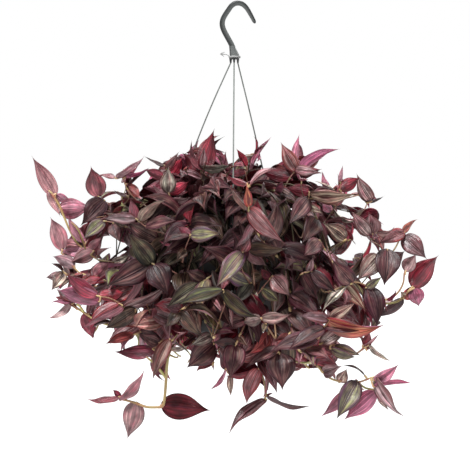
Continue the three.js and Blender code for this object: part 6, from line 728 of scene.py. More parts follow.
     [[-330, -316, -3080, 210, -308, -378, -2824, 206, -416, -618, -2686, 203, -541, -874, -2604, 200, -663, -1087, -2710, 196, -700, -1116, -3002, 192, -716, -1103, -3298, 189, -727, -1073, -3593, 186, -741, -1037, -3888, 182, -768, -997, -4181, 178, -806, -980, -4329, 175, -960, -971, -4447, 145, -1105, -960, -4577, 115],
      [-716, -1103, -3298, 160, -753, -1022, -3585, 155, -799, -946, -3869, 150, -885, -888, -4107, 145, -1044, -860, -4257, 140, -1197, -870, -4341, 145, -1358, -850, -4388, 115],
      [-416, -618, -2686, 150, -589, -705, -2558, 127, -706, -851, -2444, 105],
      [-589, -705, -2558, 135, -645, -852, -2345, 118, -667, -1032, -2219, 100],
      [-806, -980, -4329, 135, -772, -838, -4460, 126, -682, -640, -4591, 118, -620, -482, -4707, 109, -664, -456, -4796, 100],
      [-589, -705, -2558, 135, -637, -850, -2342, 118, -693, -1005, -2237, 100]],
     [[-1073, -960, -4591, -1615, -1010, -4609, -6, 89, -44, 204, 100, 170, "mr", "mr", 0],
      [-1015, -967, -4497, -1269, -1047, -4365, 24, -96, -12, 182, 80, 170, "md", "pu", 0],
      [-1351, -850, -4397, -1727, -910, -4523, 7, 84, -54, 166, -100, 170, "mr", "rb", 0],
      [-1273, -860, -4363, -911, -940, -4539, -18, -98, 9, 182, 80, 170, "dk", "mr", 0],
      [-1347, -851, -4393, -1539, -871, -4634, -65, -48, 60, 147, 50, 340, "pk", "pk", 0],
      [-698, -841, -2452, -876, -1033, -2396, -17, 42, 89, 72, 84, 340, "rb", "pm", 1],
      [-629, -756, -2519, -828, -1039, -2671, -2, -46, 89, 180, 80, 204, "mm", "dk", 1],
      [-737, -1056, -3464, -639, -1356, -3974, -72, -65, 24, 300, 50, 186, "ng", "dm", 1],
      [-349, -468, -2772, -556, -748, -2821, 77, -61, 22, 151, 101, 204, "ng", "nk", 2],
      [-311, -370, -2856, -200, -447, -2523, -38, -92, -8, 145, 49, 181, "nk", "nk", 2],
      [-874, -895, -4078, -1183, -603, -4350, -79, -39, 48, 214, 83, 158, "dk", "mv", 1],
      [-731, -1062, -3688, -945, -977, -4173, -20, -98, -8, 259, 69, 205, "dk", "dk", 1],
      [-526, -843, -2614, -541, -1356, -2449, -54, 27, 80, 257, 98, 190, "dk", "mm", 1],
      [-710, -1107, -3189, -1090, -1234, -3537, -20, -83, 52, 213, 127, 183, "ng", "dm", 1],
      [-786, -989, -4251, -1072, -680, -4608, -81, -56, 17, 252, 109, 207, "mr", "pm", 1],
      [-454, -696, -2661, -451, -1194, -2539, -78, 14, 61, 230, 42, 166, "db", "mv", 2],
      [-666, -1089, -2730, -399, -1290, -3076, -16, -90, 40, 224, 129, 182, "mr", "rm", 2],
      [-762, -1005, -4119, -743, -1166, -4530, -49, -82, 30, 192, 102, 214, "dm", "mr", 1],
      [-874, -895, -4078, -888, -1218, -4483, -58, -63, 52, 243, 122, 151, "ms", "pu", 1],
      [-455, -638, -2658, -660, -722, -2341, -12, -94, -33, 172, 77, 195, "db", "rp", 2],
      [-454, -696, -2661, -741, -1016, -2683, 26, -29, 92, 210, 41, 127, "mr", "mb", 2],
      [-731, -1062, -3688, -996, -765, -3997, -81, -58, 13, 245, 83, 110, "dk", "mv", 2],
      [-889, -975, -4393, -910, -1222, -4720, -71, -54, 45, 166, 75, 128, "mv", "mr", 1],
      [-589, -706, -2558, -453, -1038, -2370, -69, 12, 71, 172, 110, 173, "nk", "dm", 1],
      [-721, -1092, -3336, -660, -1450, -3536, -67, -45, 60, 179, 79, 192, "db", "ng", 1],
      [-762, -1005, -4119, -506, -1056, -4449, -5, -99, 11, 197, 139, 134, "mr", "mm", 1],
      [-397, -577, -2710, -746, -787, -2714, 30, -51, 80, 176, 61, 206, "dk", "dm", 2],
      [-613, -769, -2466, -729, -1291, -2370, 44, 7, 90, 252, 128, 116, "md", "dk", 1],
      [-692, -662, -4576, -386, -389, -4415, -29, -22, 93, 188, 80, 139, "mr", "mr", 1],
      [-753, -796, -4488, -1012, -974, -4864, -85, 26, 46, 231, 103, 182, "db", "pm", 1],
      [-611, -773, -2458, -966, -899, -2304, 43, -13, 89, 197, 104, 218, "dm", "dk", 1]]),
    ("shoot_bottom_right_big",
     [[-95, -364, -3080, 210, -2, -411, -2821, 206, 161, -615, -2675, 203, 331, -850, -2607, 200, 465, -1055, -2756, 196, 539, -1184, -3015, 192, 593, -1288, -3291, 189, 634, -1380, -3574, 186, 666, -1466, -3860, 182, 684, -1551, -4147, 178, 680, -1600, -4297, 175, 607, -1658, -4440, 145, 488, -1690, -4557, 115]],
     [[526, -1690, -4586, 558, -1830, -5051, -4, -96, 28, 396, 80, 170, "dk", "pm", 0],
      [532, -1678, -4513, 85, -1718, -4782, -38, -57, 72, 220, 60, 170, "md", "mb", 0],
      [613, -1652, -4426, 609, -1432, -4968, 63, -71, -30, 245, 80, 170, "db", "mv", 0],
      [644, -1628, -4367, 424, -1748, -4440, 44, -89, 15, 139, 60, 340, "rb", "ml", 0],
      [241, -726, -2643, 303, -1184, -2818, 50, -25, 83, 215, 115, 212, "ng", "dm", 2],
      [662, -1456, -3825, 1017, -1574, -4176, 41, -65, 64, 244, 83, 117, "md", "mr", 1],
      [662, -1456, -3825, 1062, -1705, -4182, 14, -73, 67, 304, 58, 122, "nk", "mm", 1],
      [-13, -405, -2852, 277, -542, -2590, -30, -94, -16, 170, 70, 128, "ng", "nk", 1]]),
    ("shoot_bottom_left_trail",
     [[-484, -132, -3080, 210, -536, -181, -2823, 206, -580, -429, -2678, 203, -620, -704, -2595, 200, -653, -939, -2714, 196, -654, -1025, -2991, 192, -649, -1070, -3278, 189, -644, -1096, -3568, 186, -643, -1112, -3858, 182, -652, -1119, -4149, 178, -672, -1120, -4296, 175, -772, -1091, -4447, 168, -874, -1069, -4597, 162, -913, -1060, -4791, 160, -926, -1050, -4985, 160, -939, -1045, -5154, 150, -953, -1040, -5258, 150, -979, -1035, -5315, 145, -1044, -1030, -5326, 140, -1186, -1020, -5322, 135, -1343, -1006, -5266, 122, -1518, -1000, -5222, 115],
      [-672, -1120, -4296, 160, -706, -1209, -4306, 150, -744, -1300, -4338, 140, -797, -1284, -4404, 145, -861, -1260, -4456, 115],
      [-922, -1049, -4956, 135, -1038, -1080, -4794, 118, -1181, -1151, -4663, 100],
      [-922, -1049, -4956, 135, -1006, -904, -4866, 118, -1103, -846, -4787, 100],
      [-874, -1069, -4597, 135, -1013, -885, -4663, 118, -1106, -804, -4735, 100]],
     [[-991, -1034, -5290, -328, -1094, -5364, 10, 99, -2, 353, 100, 170, "dm", "dm", 0],
      [-1312, -1013, -5263, -1427, -1093, -5743, -2, 98, -19, 299, 80, 170, "mm", "ms", 0],
      [-1526, -1002, -5246, -1211, -1042, -4812, -48, 68, 55, 212, -220, 340, "mr", "pm", 0],
      [-1512, -1000, -5212, -1620, -1030, -5095, -11, 99, 13, 88, 50, 340, "mg", "mr", 0],
      [-1527, -1000, -5193, -1971, -1000, -5225, -2, 44, -90, 187, 80, 170, "mm", "mm", 0],
      [-900, -1070, -4565, -600, -1090, -4510, 2, -75, -67, 104, 50, 340, "gg", "pu", 0],
      [-869, -1260, -4430, -1086, -1400, -4956, 9, -97, 24, 203, 100, 170, "gr", "mr", 0],
      [-851, -1265, -4461, -610, -1285, -4638, -66, -40, -63, 90, -100, 170, "dk", "dk", 0],
      [-653, -1034, -3044, -406, -1138, -3393, -25, -96, 11, 184, 132, 147, "dm", "dk", 2],
      [-645, -1094, -3542, -335, -1111, -3906, 29, -91, 29, 228, 126, 203, "gd", "mr", 2],
      [-576, -409, -2690, -659, -818, -2428, -75, 46, 47, 232, 44, 185, "go", "dm", 2],
      [-648, -1116, -4029, -516, -1167, -4452, 13, -98, 16, 230, 98, 109, "mq", "nk", 1],
      [-553, -279, -2766, -795, -597, -2678, 58, -22, 79, 186, 46, 202, "ng", "dm", 2],
      [-720, -1243, -4318, -676, -1802, -4310, -100, -8, -6, 291, 90, 194, "mv", "mr", 1],
      [-648, -1116, -4029, -296, -1168, -4348, 54, -50, 68, 234, 87, 121, "md", "mb", 1],
      [-553, -279, -2766, -435, -380, -2298, -96, -20, 20, 200, 80, 108, "dm", "dm", 2],
      [-654, -1001, -2914, -857, -1087, -3361, -88, -17, 44, 222, 71, 149, "db", "dk", 2],
      [-643, -1111, -3845, -1013, -1131, -4281, -21, -95, 22, 244, 119, 200, "db", "rp", 1],
      [-576, -409, -2690, -679, -717, -2401, -56, -46, -69, 205, 95, 134, "db", "nk", 2],
      [-532, -177, -2845, -605, -547, -2775, -9, 20, 98, 189, 134, 135, "dk", "dk", 2],
      [-720, -1243, -4318, -710, -1711, -4430, 6, -23, 97, 229, 97, 149, "mr", "pu", 1],
      [-1063, -1093, -4771, -808, -1154, -4427, -62, -71, 33, 210, 62, 136, "gd", "dm", 1],
      [-974, -928, -4881, -1044, -787, -4476, 0, -95, 33, 212, 55, 216, "mr", "mm", 1],
      [-987, -918, -4651, -1070, -496, -4718, -97, -21, -13, 222, 133, 100, "mm", "pu", 1]]),
    ("shoot_left_low",
     [[-192, -509, -3080, 210, -192, -516, -2815, 206, -340, -740, -2721, 201, -498, -976, -2727, 197, -582, -1113, -2946, 192, -601, -1165, -3227, 188, -608, -1194, -3511, 184, -615, -1211, -3797, 179, -683, -1220, -4214, 175, -857, -1193, -4218, 166, -1031, -1164, -4206, 158, -1202, -1138, -4174, 149, -1369, -1118, -4121, 141, -1496, -1095, -4002, 132, -1641, -1067, -3918, 124, -1813, -1040, -3886, 115],
      [-1031, -1164, -4206, 135, -1100, -1266, -4126, 123, -1139, -1412, -4030, 112, -1153, -1563, -3969, 100]],
     [[-1813, -1040, -3886, -2214, -1180, -3586, -47, 86, -23, 219, 100, 170, "mg", "mr", 0],
      [-1786, -1040, -3960, -2333, -1200, -3793, -26, 89, 38, 278, 80, 340, "ms", "pu", 0],
      [-1800, -1042, -3889, -1455, -1182, -3830, 37, 93, 6, 181, 100, 340, "cr", "cr", 0],
      [-1484, -1097, -4013, -2016, -1397, -4321, 31, 36, -88, 258, -60, 170, "md", "md", 0],
      [-1491, -1096, -4007, -1193, -1276, -3289, 88, 39, -27, 194, 100, 340, "dk", "dk", 0],
      [-1471, -1100, -4026, -884, -1340, -3710, 25, -49, -84, 298, 60, 170, "ms", "ms", 0],
      [-1310, -1119, -4054, -1726, -1059, -4314, -13, -99, -5, 231, 60, 170, "db", "mr", 0],
      [-628, -1213, -3877, -812, -1261, -4260, -40, -87, 30, 201, 96, 138, "mr", "mr", 1],
      [-969, -1174, -4210, -1394, -1251, -4258, 15, -96, 22, 201, 119, 133, "gr", "mv", 1],
      [-1526, -1089, -3984, -1933, -1108, -4254, -43, -59, 69, 236, 44, 213, "mr", "cr", 1],
      [-650, -1216, -4013, -453, -1365, -4403, -26, -94, 23, 238, 82, 153, "gr", "dk", 1],
      [-813, -1200, -4217, -1212, -1178, -4029, 3, -98, 18, 229, 110, 187, "mq", "dm", 1],
      [-1129, -1375, -4055, -1283, -1808, -4280, -42, -30, 86, 263, 54, 125, "gr", "dm", 1],
      [-1080, -1237, -4149, -1082, -1644, -4122, -60, 6, 80, 191, 123, 129, "mr", "mm", 1]]),
    ("shoot_bottom_dark_left",
     [[-192, -306, -3080, 210, -222, -399, -2829, 206, -283, -650, -2698, 203, -346, -920, -2616, 200, -408, -1193, -2644, 196, -436, -1303, -2905, 192, -445, -1334, -3193, 189, -448, -1342, -3483, 186, -444, -1338, -3773, 182, -430, -1326, -4062, 178, -411, -1320, -4209, 175, -337, -1301, -4358, 145, -297, -1280, -4519, 115],
      [-346, -920, -2616, 150, -251, -711, -2517, 127, -189, -540, -2403, 105],
      [-251, -711, -2517, 135, -126, -758, -2297, 118, -46, -896, -2192, 100]],
     [[-303, -1280, -4493, -654, -1380, -4796, 20, -97, 12, 333, 80, 170, "md", "mr", 0],
      [-330, -1297, -4385, -614, -1407, -4511, 31, -94, 14, 179, 80, 170, "gs", "pm", 0],
      [-194, -552, -2411, -7, -432, -2464, 50, -46, 74, 57, 103, 340, "mm", "dm", 2],
      [-247, -700, -2509, -434, -474, -2313, -2, -67, 75, 158, 81, 180, "dk", "mr", 2],
      [-420, -1242, -2758, -112, -1449, -3084, -2, -85, 52, 213, 50, 219, "ng", "dk", 1],
      [-444, -1338, -3764, -513, -1421, -4158, -68, -68, 26, 186, 124, 101, "nk", "dm", 1],
      [-437, -1332, -3908, -153, -1431, -4413, 2, -98, 20, 293, 95, 145, "gd", "nk", 1],
      [-447, -1341, -3584, -141, -1547, -4054, -12, -94, 33, 284, 42, 202, "nk", "nk", 1],
      [-399, -1150, -2639, -833, -1347, -2825, 2, -70, 71, 209, 42, 205, "dk", "dm", 1],
      [-249, -509, -2772, -474, -794, -2802, 62, -55, 57, 189, 70, 141, "db", "dk", 2],
      [-445, -1332, -3170, -234, -1367, -3579, -20, -98, -2, 239, 44, 129, "ng", "nk", 1],
      [-408, -1319, -4216, -122, -1128, -4442, 61, -78, 11, 192, 80, 168, "gd", "dm", 1],
      [-50, -888, -2198, 95, -1157, -2224, -42, -31, 85, 137, 65, 133, "mr", "cr", 1]]),
    ("shoot_bottom_left_big",
     [[-209, -430, -3080, 210, -184, -471, -2792, 206, -154, -679, -2574, 203, -116, -940, -2436, 200, -63, -1156, -2615, 196, -19, -1283, -2886, 192, 19, -1383, -3169, 189, 54, -1473, -3456, 186, 82, -1555, -3746, 182, 101, -1635, -4037, 178, 98, -1680, -4193, 175, 38, -1719, -4335, 145, -28, -1730, -4479, 115],
      [98, -1680, -4193, 160, -65, -1397, -4279, 150, -156, -1180, -4448, 140, -120, -1181, -4653, 145, -131, -1170, -4860, 115],
      [19, -1383, -3169, 150, 53, -1233, -3021, 139, 103, -1014, -2745, 127, 130, -853, -2452, 116, 94, -879, -2254, 105],
      [-19, -1283, -2886, 150, 5, -1310, -3226, 135, 11, -1327, -3523, 120, 2, -1404, -3785, 105],
      [-156, -1180, -4448, 135, -267, -1003, -4620, 118, -331, -950, -4776, 100]],
     [[-28, -1730, -4479, -103, -1870, -4921, 5, -95, 29, 314, 80, 170, "md", "mr", 0],
      [23, -1721, -4367, 147, -1861, -4509, -39, -80, 45, 101, 60, 340, "gr", "pm", 0],
      [-16, -1728, -4454, -329, -1788, -4438, 19, -98, -1, 151, 60, 170, "dk", "mr", 0],
      [-154, -1170, -4820, -372, -1220, -5096, 76, 40, -51, 129, 100, 170, "pk", "pk", 0],
      [-95, -1170, -4898, -92, -1230, -5181, -67, -74, -8, 132, -80, 170, "bg", "ml", 0],
      [124, -890, -2519, 464, -1009, -2676, 14, -62, 77, 159, 92, 211, "nk", "dk", 1],
      [109, -979, -2681, -188, -894, -2483, 46, -33, 83, 185, 55, 192, "md", "mv", 2],
      [2, -1399, -3771, 36, -1438, -4046, -22, -97, 11, 70, 43, 340, "pm", "mb", 1],
      [7, -1361, -3638, -124, -1538, -3896, -5, -81, 58, 147, 128, 129, "dk", "mr", 1],
      [10, -1324, -3477, 231, -1411, -3923, 72, -52, 46, 227, 107, 130, "md", "dk", 1],
      [6, -1313, -3277, -165, -1462, -3690, -19, -90, 40, 227, 71, 117, "md", "pu", 2],
      [-120, -913, -2451, -130, -1321, -2421, 35, 6, 94, 170, 87, 110, "ms", "rm", 1],
      [7, -1316, -3330, -342, -1328, -3727, -55, -67, 50, 268, 85, 177, "dk", "pu", 2],
      [-15, -1293, -2914, 366, -1235, -3308, 58, -67, 46, 283, 80, 200, "dk", "nk", 1],
      [-24, -1470, -4257, -263, -1719, -4557, 32, -84, 44, 196, 121, 109, "dm", "dm", 1],
      [78, -1545, -3708, 258, -1712, -4002, 51, -58, 64, 155, 62, 204, "gd", "dk", 1],
      [-142, -1215, -4421, -18, -1252, -4907, -33, -94, -1, 239, 102, 115, "db", "ml", 1],
      [90, -1587, -3861, 386, -1633, -4280, 11, -98, 19, 235, 137, 166, "dm", "dk", 1],
      [100, -1632, -4024, 280, -1791, -4484, 58, -67, 46, 228, 71, 178, "nk", "dk", 1],
      [-84, -1353, -4314, -76, -1518, -4835, 3, -95, 30, 277, 46, 155, "mg", "mr", 1],
      [100, -1632, -4024, 199, -1663, -4523, 77, -60, 19, 218, 53, 114, "gd", "nk", 1],
      [-142, -1215, -4421, -114, -924, -4878, 30, -81, -50, 218, 58, 144, "dk", "mr", 1],
      [99, -1672, -4164, -270, -1889, -4350, 27, -85, 46, 221, 92, 195, "md", "dk", 1],
      [-24, -1470, -4257, -276, -1625, -4538, 15, -92, 37, 186, 131, 157, "mg", "mb", 1],
      [-161, -628, -2627, 99, -925, -2595, -60, -45, 66, 189, 51, 156, "dk", "ng", 2],
      [-132, -1178, -4721, 414, -1173, -5115, 28, -84, 47, 346, 100, 182, "dm", "mm", 1],
      [-322, -953, -4784, -561, -736, -4901, -65, -54, 53, 126, 57, 161, "rm", "cr", 1],
      [-219, -1106, -4514, -76, -908, -4915, -100, 3, -4, 272, 59, 216, "md", "mr", 1]]),
    ("shoot_right_far",
     [[18, -32, -3080, 210, 75, -8, -2804, 206, 310, -76, -2627, 203, 573, -159, -2505, 200, 852, -245, -2510, 196, 1026, -300, -2746, 192, 1139, -338, -3024, 189, 1234, -368, -3310, 186, 1324, -394, -3598, 182, 1427, -415, -3882, 178, 1512, -420, -4013, 175, 1705, -391, -3996, 163, 1897, -366, -3972, 151, 2081, -341, -3915, 139, 2199, -328, -3762, 127, 2226, -310, -3577, 115],
      [1705, -391, -3996, 160, 1848, -333, -4024, 150, 1960, -300, -4017, 140, 2150, -272, -3979, 145, 2285, -250, -3845, 115],
      [1026, -300, -2746, 150, 1099, -282, -3022, 141, 1160, -238, -3326, 132, 1228, -200, -3630, 123, 1321, -202, -3907, 114, 1458, -276, -4132, 105],
      [573, -159, -2505, 150, 791, -205, -2726, 144, 989, -216, -2965, 139, 1168, -209, -3213, 133, 1328, -203, -3465, 127, 1468, -213, -3712, 122, 1588, -257, -3947, 116, 1688, -353, -4163, 111, 1767, -517, -4352, 105],
      [1228, -200, -3630, 135, 1280, -67, -3569, 118, 1350, 32, -3541, 100],
      [1512, -420, -4013, 135, 1387, -374, -4190, 123, 1183, -322, -4389, 112, 1168, -317, -4467, 100],
      [1848, -333, -4024, 135, 1902, -528, -3948, 118, 1957, -700, -3948, 100],
      [1160, -238, -3326, 135, 1017, -103, -3346, 118, 919, 67, -3330, 100]],
     [[2238, -310, -3584, 2388, -330, -3338, 4, 100, 8, 216, 60, 340, "mv", "mg", 0],
      [2332, -250, -3795, 2680, -330, -3368, 8, 99, 11, 332, 100, 340, "cr", "cr", 0],
      [2361, -250, -3806, 2412, -350, -4052, 17, 93, -33, 227, 60, 170, "mm", "pu", 0],
      [2228, -258, -3909, 2169, -318, -3844, 34, -86, -39, 96, 50, 340, "bg", "mr", 0],
      [2217, -264, -3954, 1864, -384, -4194, -19, 95, -23, 148, 80, 170, "ms", "dk", 0],
      [1450, -272, -4119, 1578, -264, -4398, 90, -15, 41, 134, 129, 214, "mm", "pm", 1],
      [1382, -235, -4007, 1526, -475, -4207, 48, -37, 79, 173, 102, 153, "mm", "rp", 1],
      [1314, -202, -3886, 1617, 31, -4166, 40, -87, -29, 233, 87, 205, "gs", "mb", 1],
      [1257, -201, -3717, 1282, -572, -4133, 97, -14, 18, 277, 121, 162, "mg", "mv", 1],
      [1214, -208, -3570, 1321, 89, -3949, 97, -2, 26, 238, 53, 132, "dk", "rm", 1],
      [1175, -229, -3396, 1274, -481, -3845, 94, 33, 2, 219, 46, 204, "mv", "mr", 2],
      [1763, -507, -4341, 1708, -708, -4557, -83, -29, 48, 79, 100, 340, "mr", "mr", 1],
      [1671, -336, -4126, 1641, -732, -4369, 94, -22, 25, 187, 99, 101, "dk", "mm", 1],
      [1602, -271, -3977, 1761, 4, -4417, 72, 44, 54, 241, 40, 213, "mr", "ml", 1],
      [1517, -231, -3807, 1563, -675, -4193, 83, -31, 46, 257, 105, 164, "mm", "pm", 1],
      [1416, -209, -3645, 1725, -68, -4029, 71, -56, 43, 221, 93, 158, "gd", "dm", 1],
      [1335, -203, -3476, 1395, -542, -3880, 87, -30, 38, 270, 95, 190, "rb", "mr", 1],
      [311, -77, -2626, 739, -352, -2714, 56, 80, 22, 265, 94, 115, "md", "nk", 1],
      [1073, -289, -2923, 1140, 93, -3060, 99, -14, 10, 201, 69, 173, "dm", "mb", 2],
      [679, -182, -2613, 805, -8, -2967, 95, -22, 23, 213, 45, 201, "md", "nk", 2],
      [1141, -252, -3232, 932, -564, -3673, 83, -55, 0, 236, 49, 144, "mm", "nk", 1],
      [1303, -202, -3853, 1718, 149, -4080, 60, -20, 78, 257, 140, 118, "db", "mr", 1],
      [866, -209, -2817, 1154, -14, -3165, 81, -27, 52, 225, 84, 190, "md", "nk", 2],
      [1656, -332, -4108, 1723, -789, -4383, 80, -15, 58, 312, 136, 208, "db", "ml", 1],
      [1902, -321, -4012, 1955, 233, -3966, 48, -4, 87, 323, 84, 141, "mg", "mr", 1],
      [584, -163, -2505, 682, -662, -2555, -1, -10, 99, 206, 102, 129, "gd", "pm", 2],
      [1314, -203, -3443, 1610, -301, -3732, 67, 55, 50, 193, 100, 163, "mm", "pu", 1],
      [93, -13, -2790, 343, -228, -2428, 57, 82, 9, 216, 50, 189, "ng", "dk", 2],
      [1259, -376, -3393, 1429, -779, -3674, 41, -40, 82, 220, 136, 181, "gd", "dk", 1],
      [1045, -213, -3041, 1080, 90, -3452, 98, -19, 2, 272, 138, 217, "nk", "dm", 2],
      [1177, -228, -3403, 1480, -36, -3618, 68, -38, 62, 208, 43, 184, "dk", "mv", 2],
      [963, -214, -2933, 1168, -411, -3188, 24, -66, 71, 158, 86, 209, "nk", "nk", 2],
      [1037, -298, -2787, 1143, -450, -3239, 70, -61, 37, 205, 79, 208, "mm", "dm", 1],
      [1222, -207, -3297, 1333, 178, -3384, 93, -31, -18, 201, 56, 125, "md", "dm", 1],
      [1666, -332, -4116, 1962, -27, -4165, 69, -61, 39, 198, 92, 120, "gg", "rp", 1],
      [1177, -228, -3403, 1075, -748, -3754, 88, -37, 30, 306, 83, 114, "ms", "rm", 2],
      [1402, -410, -3814, 1342, -469, -4312, 69, -73, 0, 228, 117, 111, "dk", "ml", 1],
      [1212, -209, -3562, 1282, 175, -3952, 78, 37, 50, 228, 124, 104, "db", "mv", 2],
      [963, -214, -2933, 1153, 275, -3137, 92, -22, 32, 238, 47, 197, "mr", "mv", 2],
      [2198, -263, -3931, 2455, 25, -3831, 64, -71, 30, 172, 104, 194, "rb", "mr", 1],
      [1212, -209, -3562, 1408, 121, -3649, 58, -13, 80, 171, 116, 186, "dk", "rp", 2],
      [1377, -232, -3999, 1525, -84, -4414, 92, -31, 22, 206, 65, 190, "ms", "rm", 1],
      [1471, -417, -3949, 1623, -581, -4395, 47, -76, 44, 234, 62, 171, "mm", "mr", 1],
      [1404, -208, -3598, 1537, 331, -3940, 78, 19, 60, 283, 70, 112, "db", "rm", 1],
      [1344, 24, -3543, 1603, 259, -3495, 68, -70, -24, 148, 88, 219, "md", "nk", 1],
      [1170, -317, -4457, 1147, -539, -4788, 79, -53, 30, 198, 121, 166, "mv", "rm", 1],
      [1251, -339, -4322, 981, -572, -4572, 45, -84, 30, 186, 70, 167, "rm", "mr", 1],
      [1954, -690, -3948, 2068, -941, -3803, 93, 26, -27, 87, 63, 340, "rd", "mr", 1],
      [924, 58, -3331, 984, 353, -3441, 98, -19, 3, 139, 63, 122, "ng", "nk", 2],
      [1004, -80, -3344, 1120, 288, -3720, 86, 20, 47, 225, 82, 137, "dm", "mb", 2]]),
    ("shoot_front_right_grey",
     [[-12, -577, -3080, 210, 80, -671, -2848, 205, 335, -845, -2771, 200, 467, -1069, -2897, 195, 421, -1235, -3165, 190, 349, -1383, -3439, 185, 272, -1533, -3710, 180, 250, -1640, -3841, 175, 338, -1712, -3727, 145, 436, -1770, -3611, 115]],
     [[436, -1770, -3611, 660, -1850, -3872, -15, -97, 17, 251, 60, 170, "ms", "ml", 0],
      [401, -1749, -3653, 285, -1789, -3511, -13, 98, 17, 113, 80, 340, "dm", "dm", 0],
      [305, -1685, -3769, 528, -1605, -3943, 21, -96, -17, 164, 80, 170, "go", "pu", 0],
      [71, -661, -2871, 555, -663, -2888, 2, -67, 74, 228, 113, 196, "nk", "ng", 2],
      [339, -1402, -3473, 562, -1615, -3829, 68, -36, 64, 231, 63, 214, "ng", "nk", 1],
      [302, -1474, -3604, -94, -1746, -3744, 38, -79, 48, 248, 67, 168, "db", "dm", 1],
      [71, -661, -2871, 520, -739, -2945, -3, -78, 62, 198, 110, 122, "gd", "dk", 2]]),
    ("shoot_right_low_dark",
     [[311, -230, -3080, 210, 332, -193, -2815, 206, 491, -404, -2691, 202, 655, -640, -2641, 198, 799, -873, -2723, 194, 873, -1051, -2943, 191, 925, -1201, -3190, 187, 973, -1337, -3445, 183, 1035, -1463, -3703, 179, 1101, -1520, -3820, 175, 1305, -1478, -3765, 155, 1499, -1435, -3698, 135, 1695, -1370, -3761, 115]],
     [[1674, -1373, -3754, 1764, -1513, -4278, -7, -95, 30, 279, 80, 170, "nk", "mr", 0],
      [1454, -1445, -3713, 1187, -1565, -3388, 17, -96, -21, 254, 80, 170, "md", "mr", 0],
      [1385, -1460, -3737, 1059, -1600, -4070, -48, -54, 70, 204, 40, 170, "gl", "gl", 0],
      [1635, -1405, -3769, 1844, -1465, -3618, -22, -97, -12, 122, 60, 340, "gd", "mb", 0],
      [665, -656, -2647, 981, -946, -3030, 56, -37, 74, 271, 106, 121, "db", "mr", 2],
      [990, -1371, -3514, 1250, -1424, -3813, 13, -95, 28, 172, 60, 136, "dm", "mm", 1],
      [849, -992, -2871, 1184, -998, -3246, 63, -52, 57, 253, 108, 145, "md", "dk", 1],
      [849, -992, -2871, 1092, -1008, -3175, 74, -27, 61, 181, 58, 129, "mq", "nk", 1]]),
    ("shoot_left_mid",
     [[-610, -209, -3080, 210, -624, -264, -2811, 206, -764, -486, -2697, 201, -923, -722, -2659, 197, -1048, -876, -2826, 192, -1073, -884, -3112, 188, -1085, -862, -3399, 184, -1107, -825, -3684, 179, -1151, -800, -3816, 175, -1340, -754, -3789, 166, -1528, -706, -3758, 158, -1711, -655, -3706, 149, -1890, -598, -3649, 141, -2069, -529, -3608, 132, -2206, -470, -3483, 124, -2334, -450, -3336, 115],
      [-1048, -876, -2826, 160, -1038, -838, -3170, 156, -1027, -796, -3546, 152, -1045, -746, -3897, 148, -1123, -688, -4161, 144, -1291, -620, -4282, 140, -1482, -550, -4299, 163, -1676, -487, -4294, 151, -1866, -440, -4236, 139, -2036, -399, -4131, 127, -2208, -370, -4028, 115],
      [-1711, -655, -3706, 160, -1693, -560, -3771, 150, -1700, -420, -3827, 140, -1859, -372, -3787, 160, -2018, -326, -3744, 145, -2172, -288, -3679, 130, -2324, -270, -3604, 115],
      [-2036, -399, -4131, 135, -2092, -421, -4046, 118, -2148, -450, -3966, 100],
      [-1291, -620, -4282, 135, -1327, -426, -4419, 123, -1324, -202, -4566, 112, -1414, -91, -4602, 100],
      [-2036, -399, -4131, 135, -2107, -285, -4047, 118, -2184, -200, -4026, 100],
      [-1291, -620, -4282, 135, -1182, -471, -4500, 118, -1115, -446, -4646, 100],
      [-1123, -688, -4161, 135, -1104, -529, -4123, 126, -1046, -321, -4018, 118, -999, -142, -3941, 109, -1009, -74, -3984, 100],
      [-1291, -620, -4282, 135, -1329, -448, -4407, 126, -1315, -230, -4559, 118, -1323, -46, -4685, 109, -1427, 21, -4732, 100],
      [-1291, -620, -4282, 135, -1219, -523, -4425, 123, -1089, -425, -4591, 112, -1071, -440, -4684, 100],
      [-1291, -620, -4282, 135, -1259, -506, -4423, 126, -1156, -364, -4600, 118, -1081, -254, -4753, 109, -1132, -234, -4820, 100]],
     [[-2322, -450, -3297, -2471, -590, -2857, -4, 96, 27, 239, 100, 170, "mm", "mv", 0],
      [-2151, -477, -3510, -2443, -597, -3375, -35, 91, 22, 177, 50, 170, "gs", "mg", 0],
      [-1885, -600, -3651, -1681, -700, -3451, 24, 94, 23, 198, 60, 170, "mm", "pm", 0],
      [-1851, -609, -3687, -1917, -489, -3503, -21, -89, 41, 126, 60, 340, "mq", "mb", 0],
      [-2210, -372, -3995, -2534, -472, -4207, 21, 82, -53, 136, 160, 170, "mv", "mg", 0],
      [-2175, -370, -3993, -2502, -370, -3990, 13, -47, 87, 132, 50, 170, "pv", "pv", 0],
      [-2137, -370, -4086, -2398, -290, -3899, 29, -38, 88, 101, 50, 170, "ml", "ml", 0],
      [-2036, -406, -4132, -1902, -526, -4487, 11, 93, -35, 210, 60, 170, "mm", "mr", 0],
      [-1653, -489, -4245, -1943, -529, -4324, -45, -39, 80, 103, 50, 340, "dk", "dk", 0],
      [-1980, -407, -4148, -1912, -267, -3876, 13, -84, 52, 120, 50, 340, "mv", "mb", 0],
      [-2328, -270, -3585, -2492, -310, -3472, 57, -54, 62, 92, 50, 340, "dk", "dk", 0],
      [-2316, -270, -3647, -2562, -350, -3664, -31, 95, -7, 144, 80, 340, "mm", "mg", 0],
      [-2311, -274, -3602, -2481, -394, -3841, 34, -90, 27, 202, 50, 170, "gg", "mv", 0],
      [-1044, -859, -2978, -744, -1016, -3299, -12, -93, 35, 242, 49, 146, "db", "dm", 2],
      [-1036, -770, -3729, -1097, -983, -4158, -87, -38, 31, 231, 52, 162, "dk", "rp", 1],
      [-1879, -602, -3653, -2198, -476, -3937, -66, -55, 50, 196, 93, 180, "go", "mb", 1],
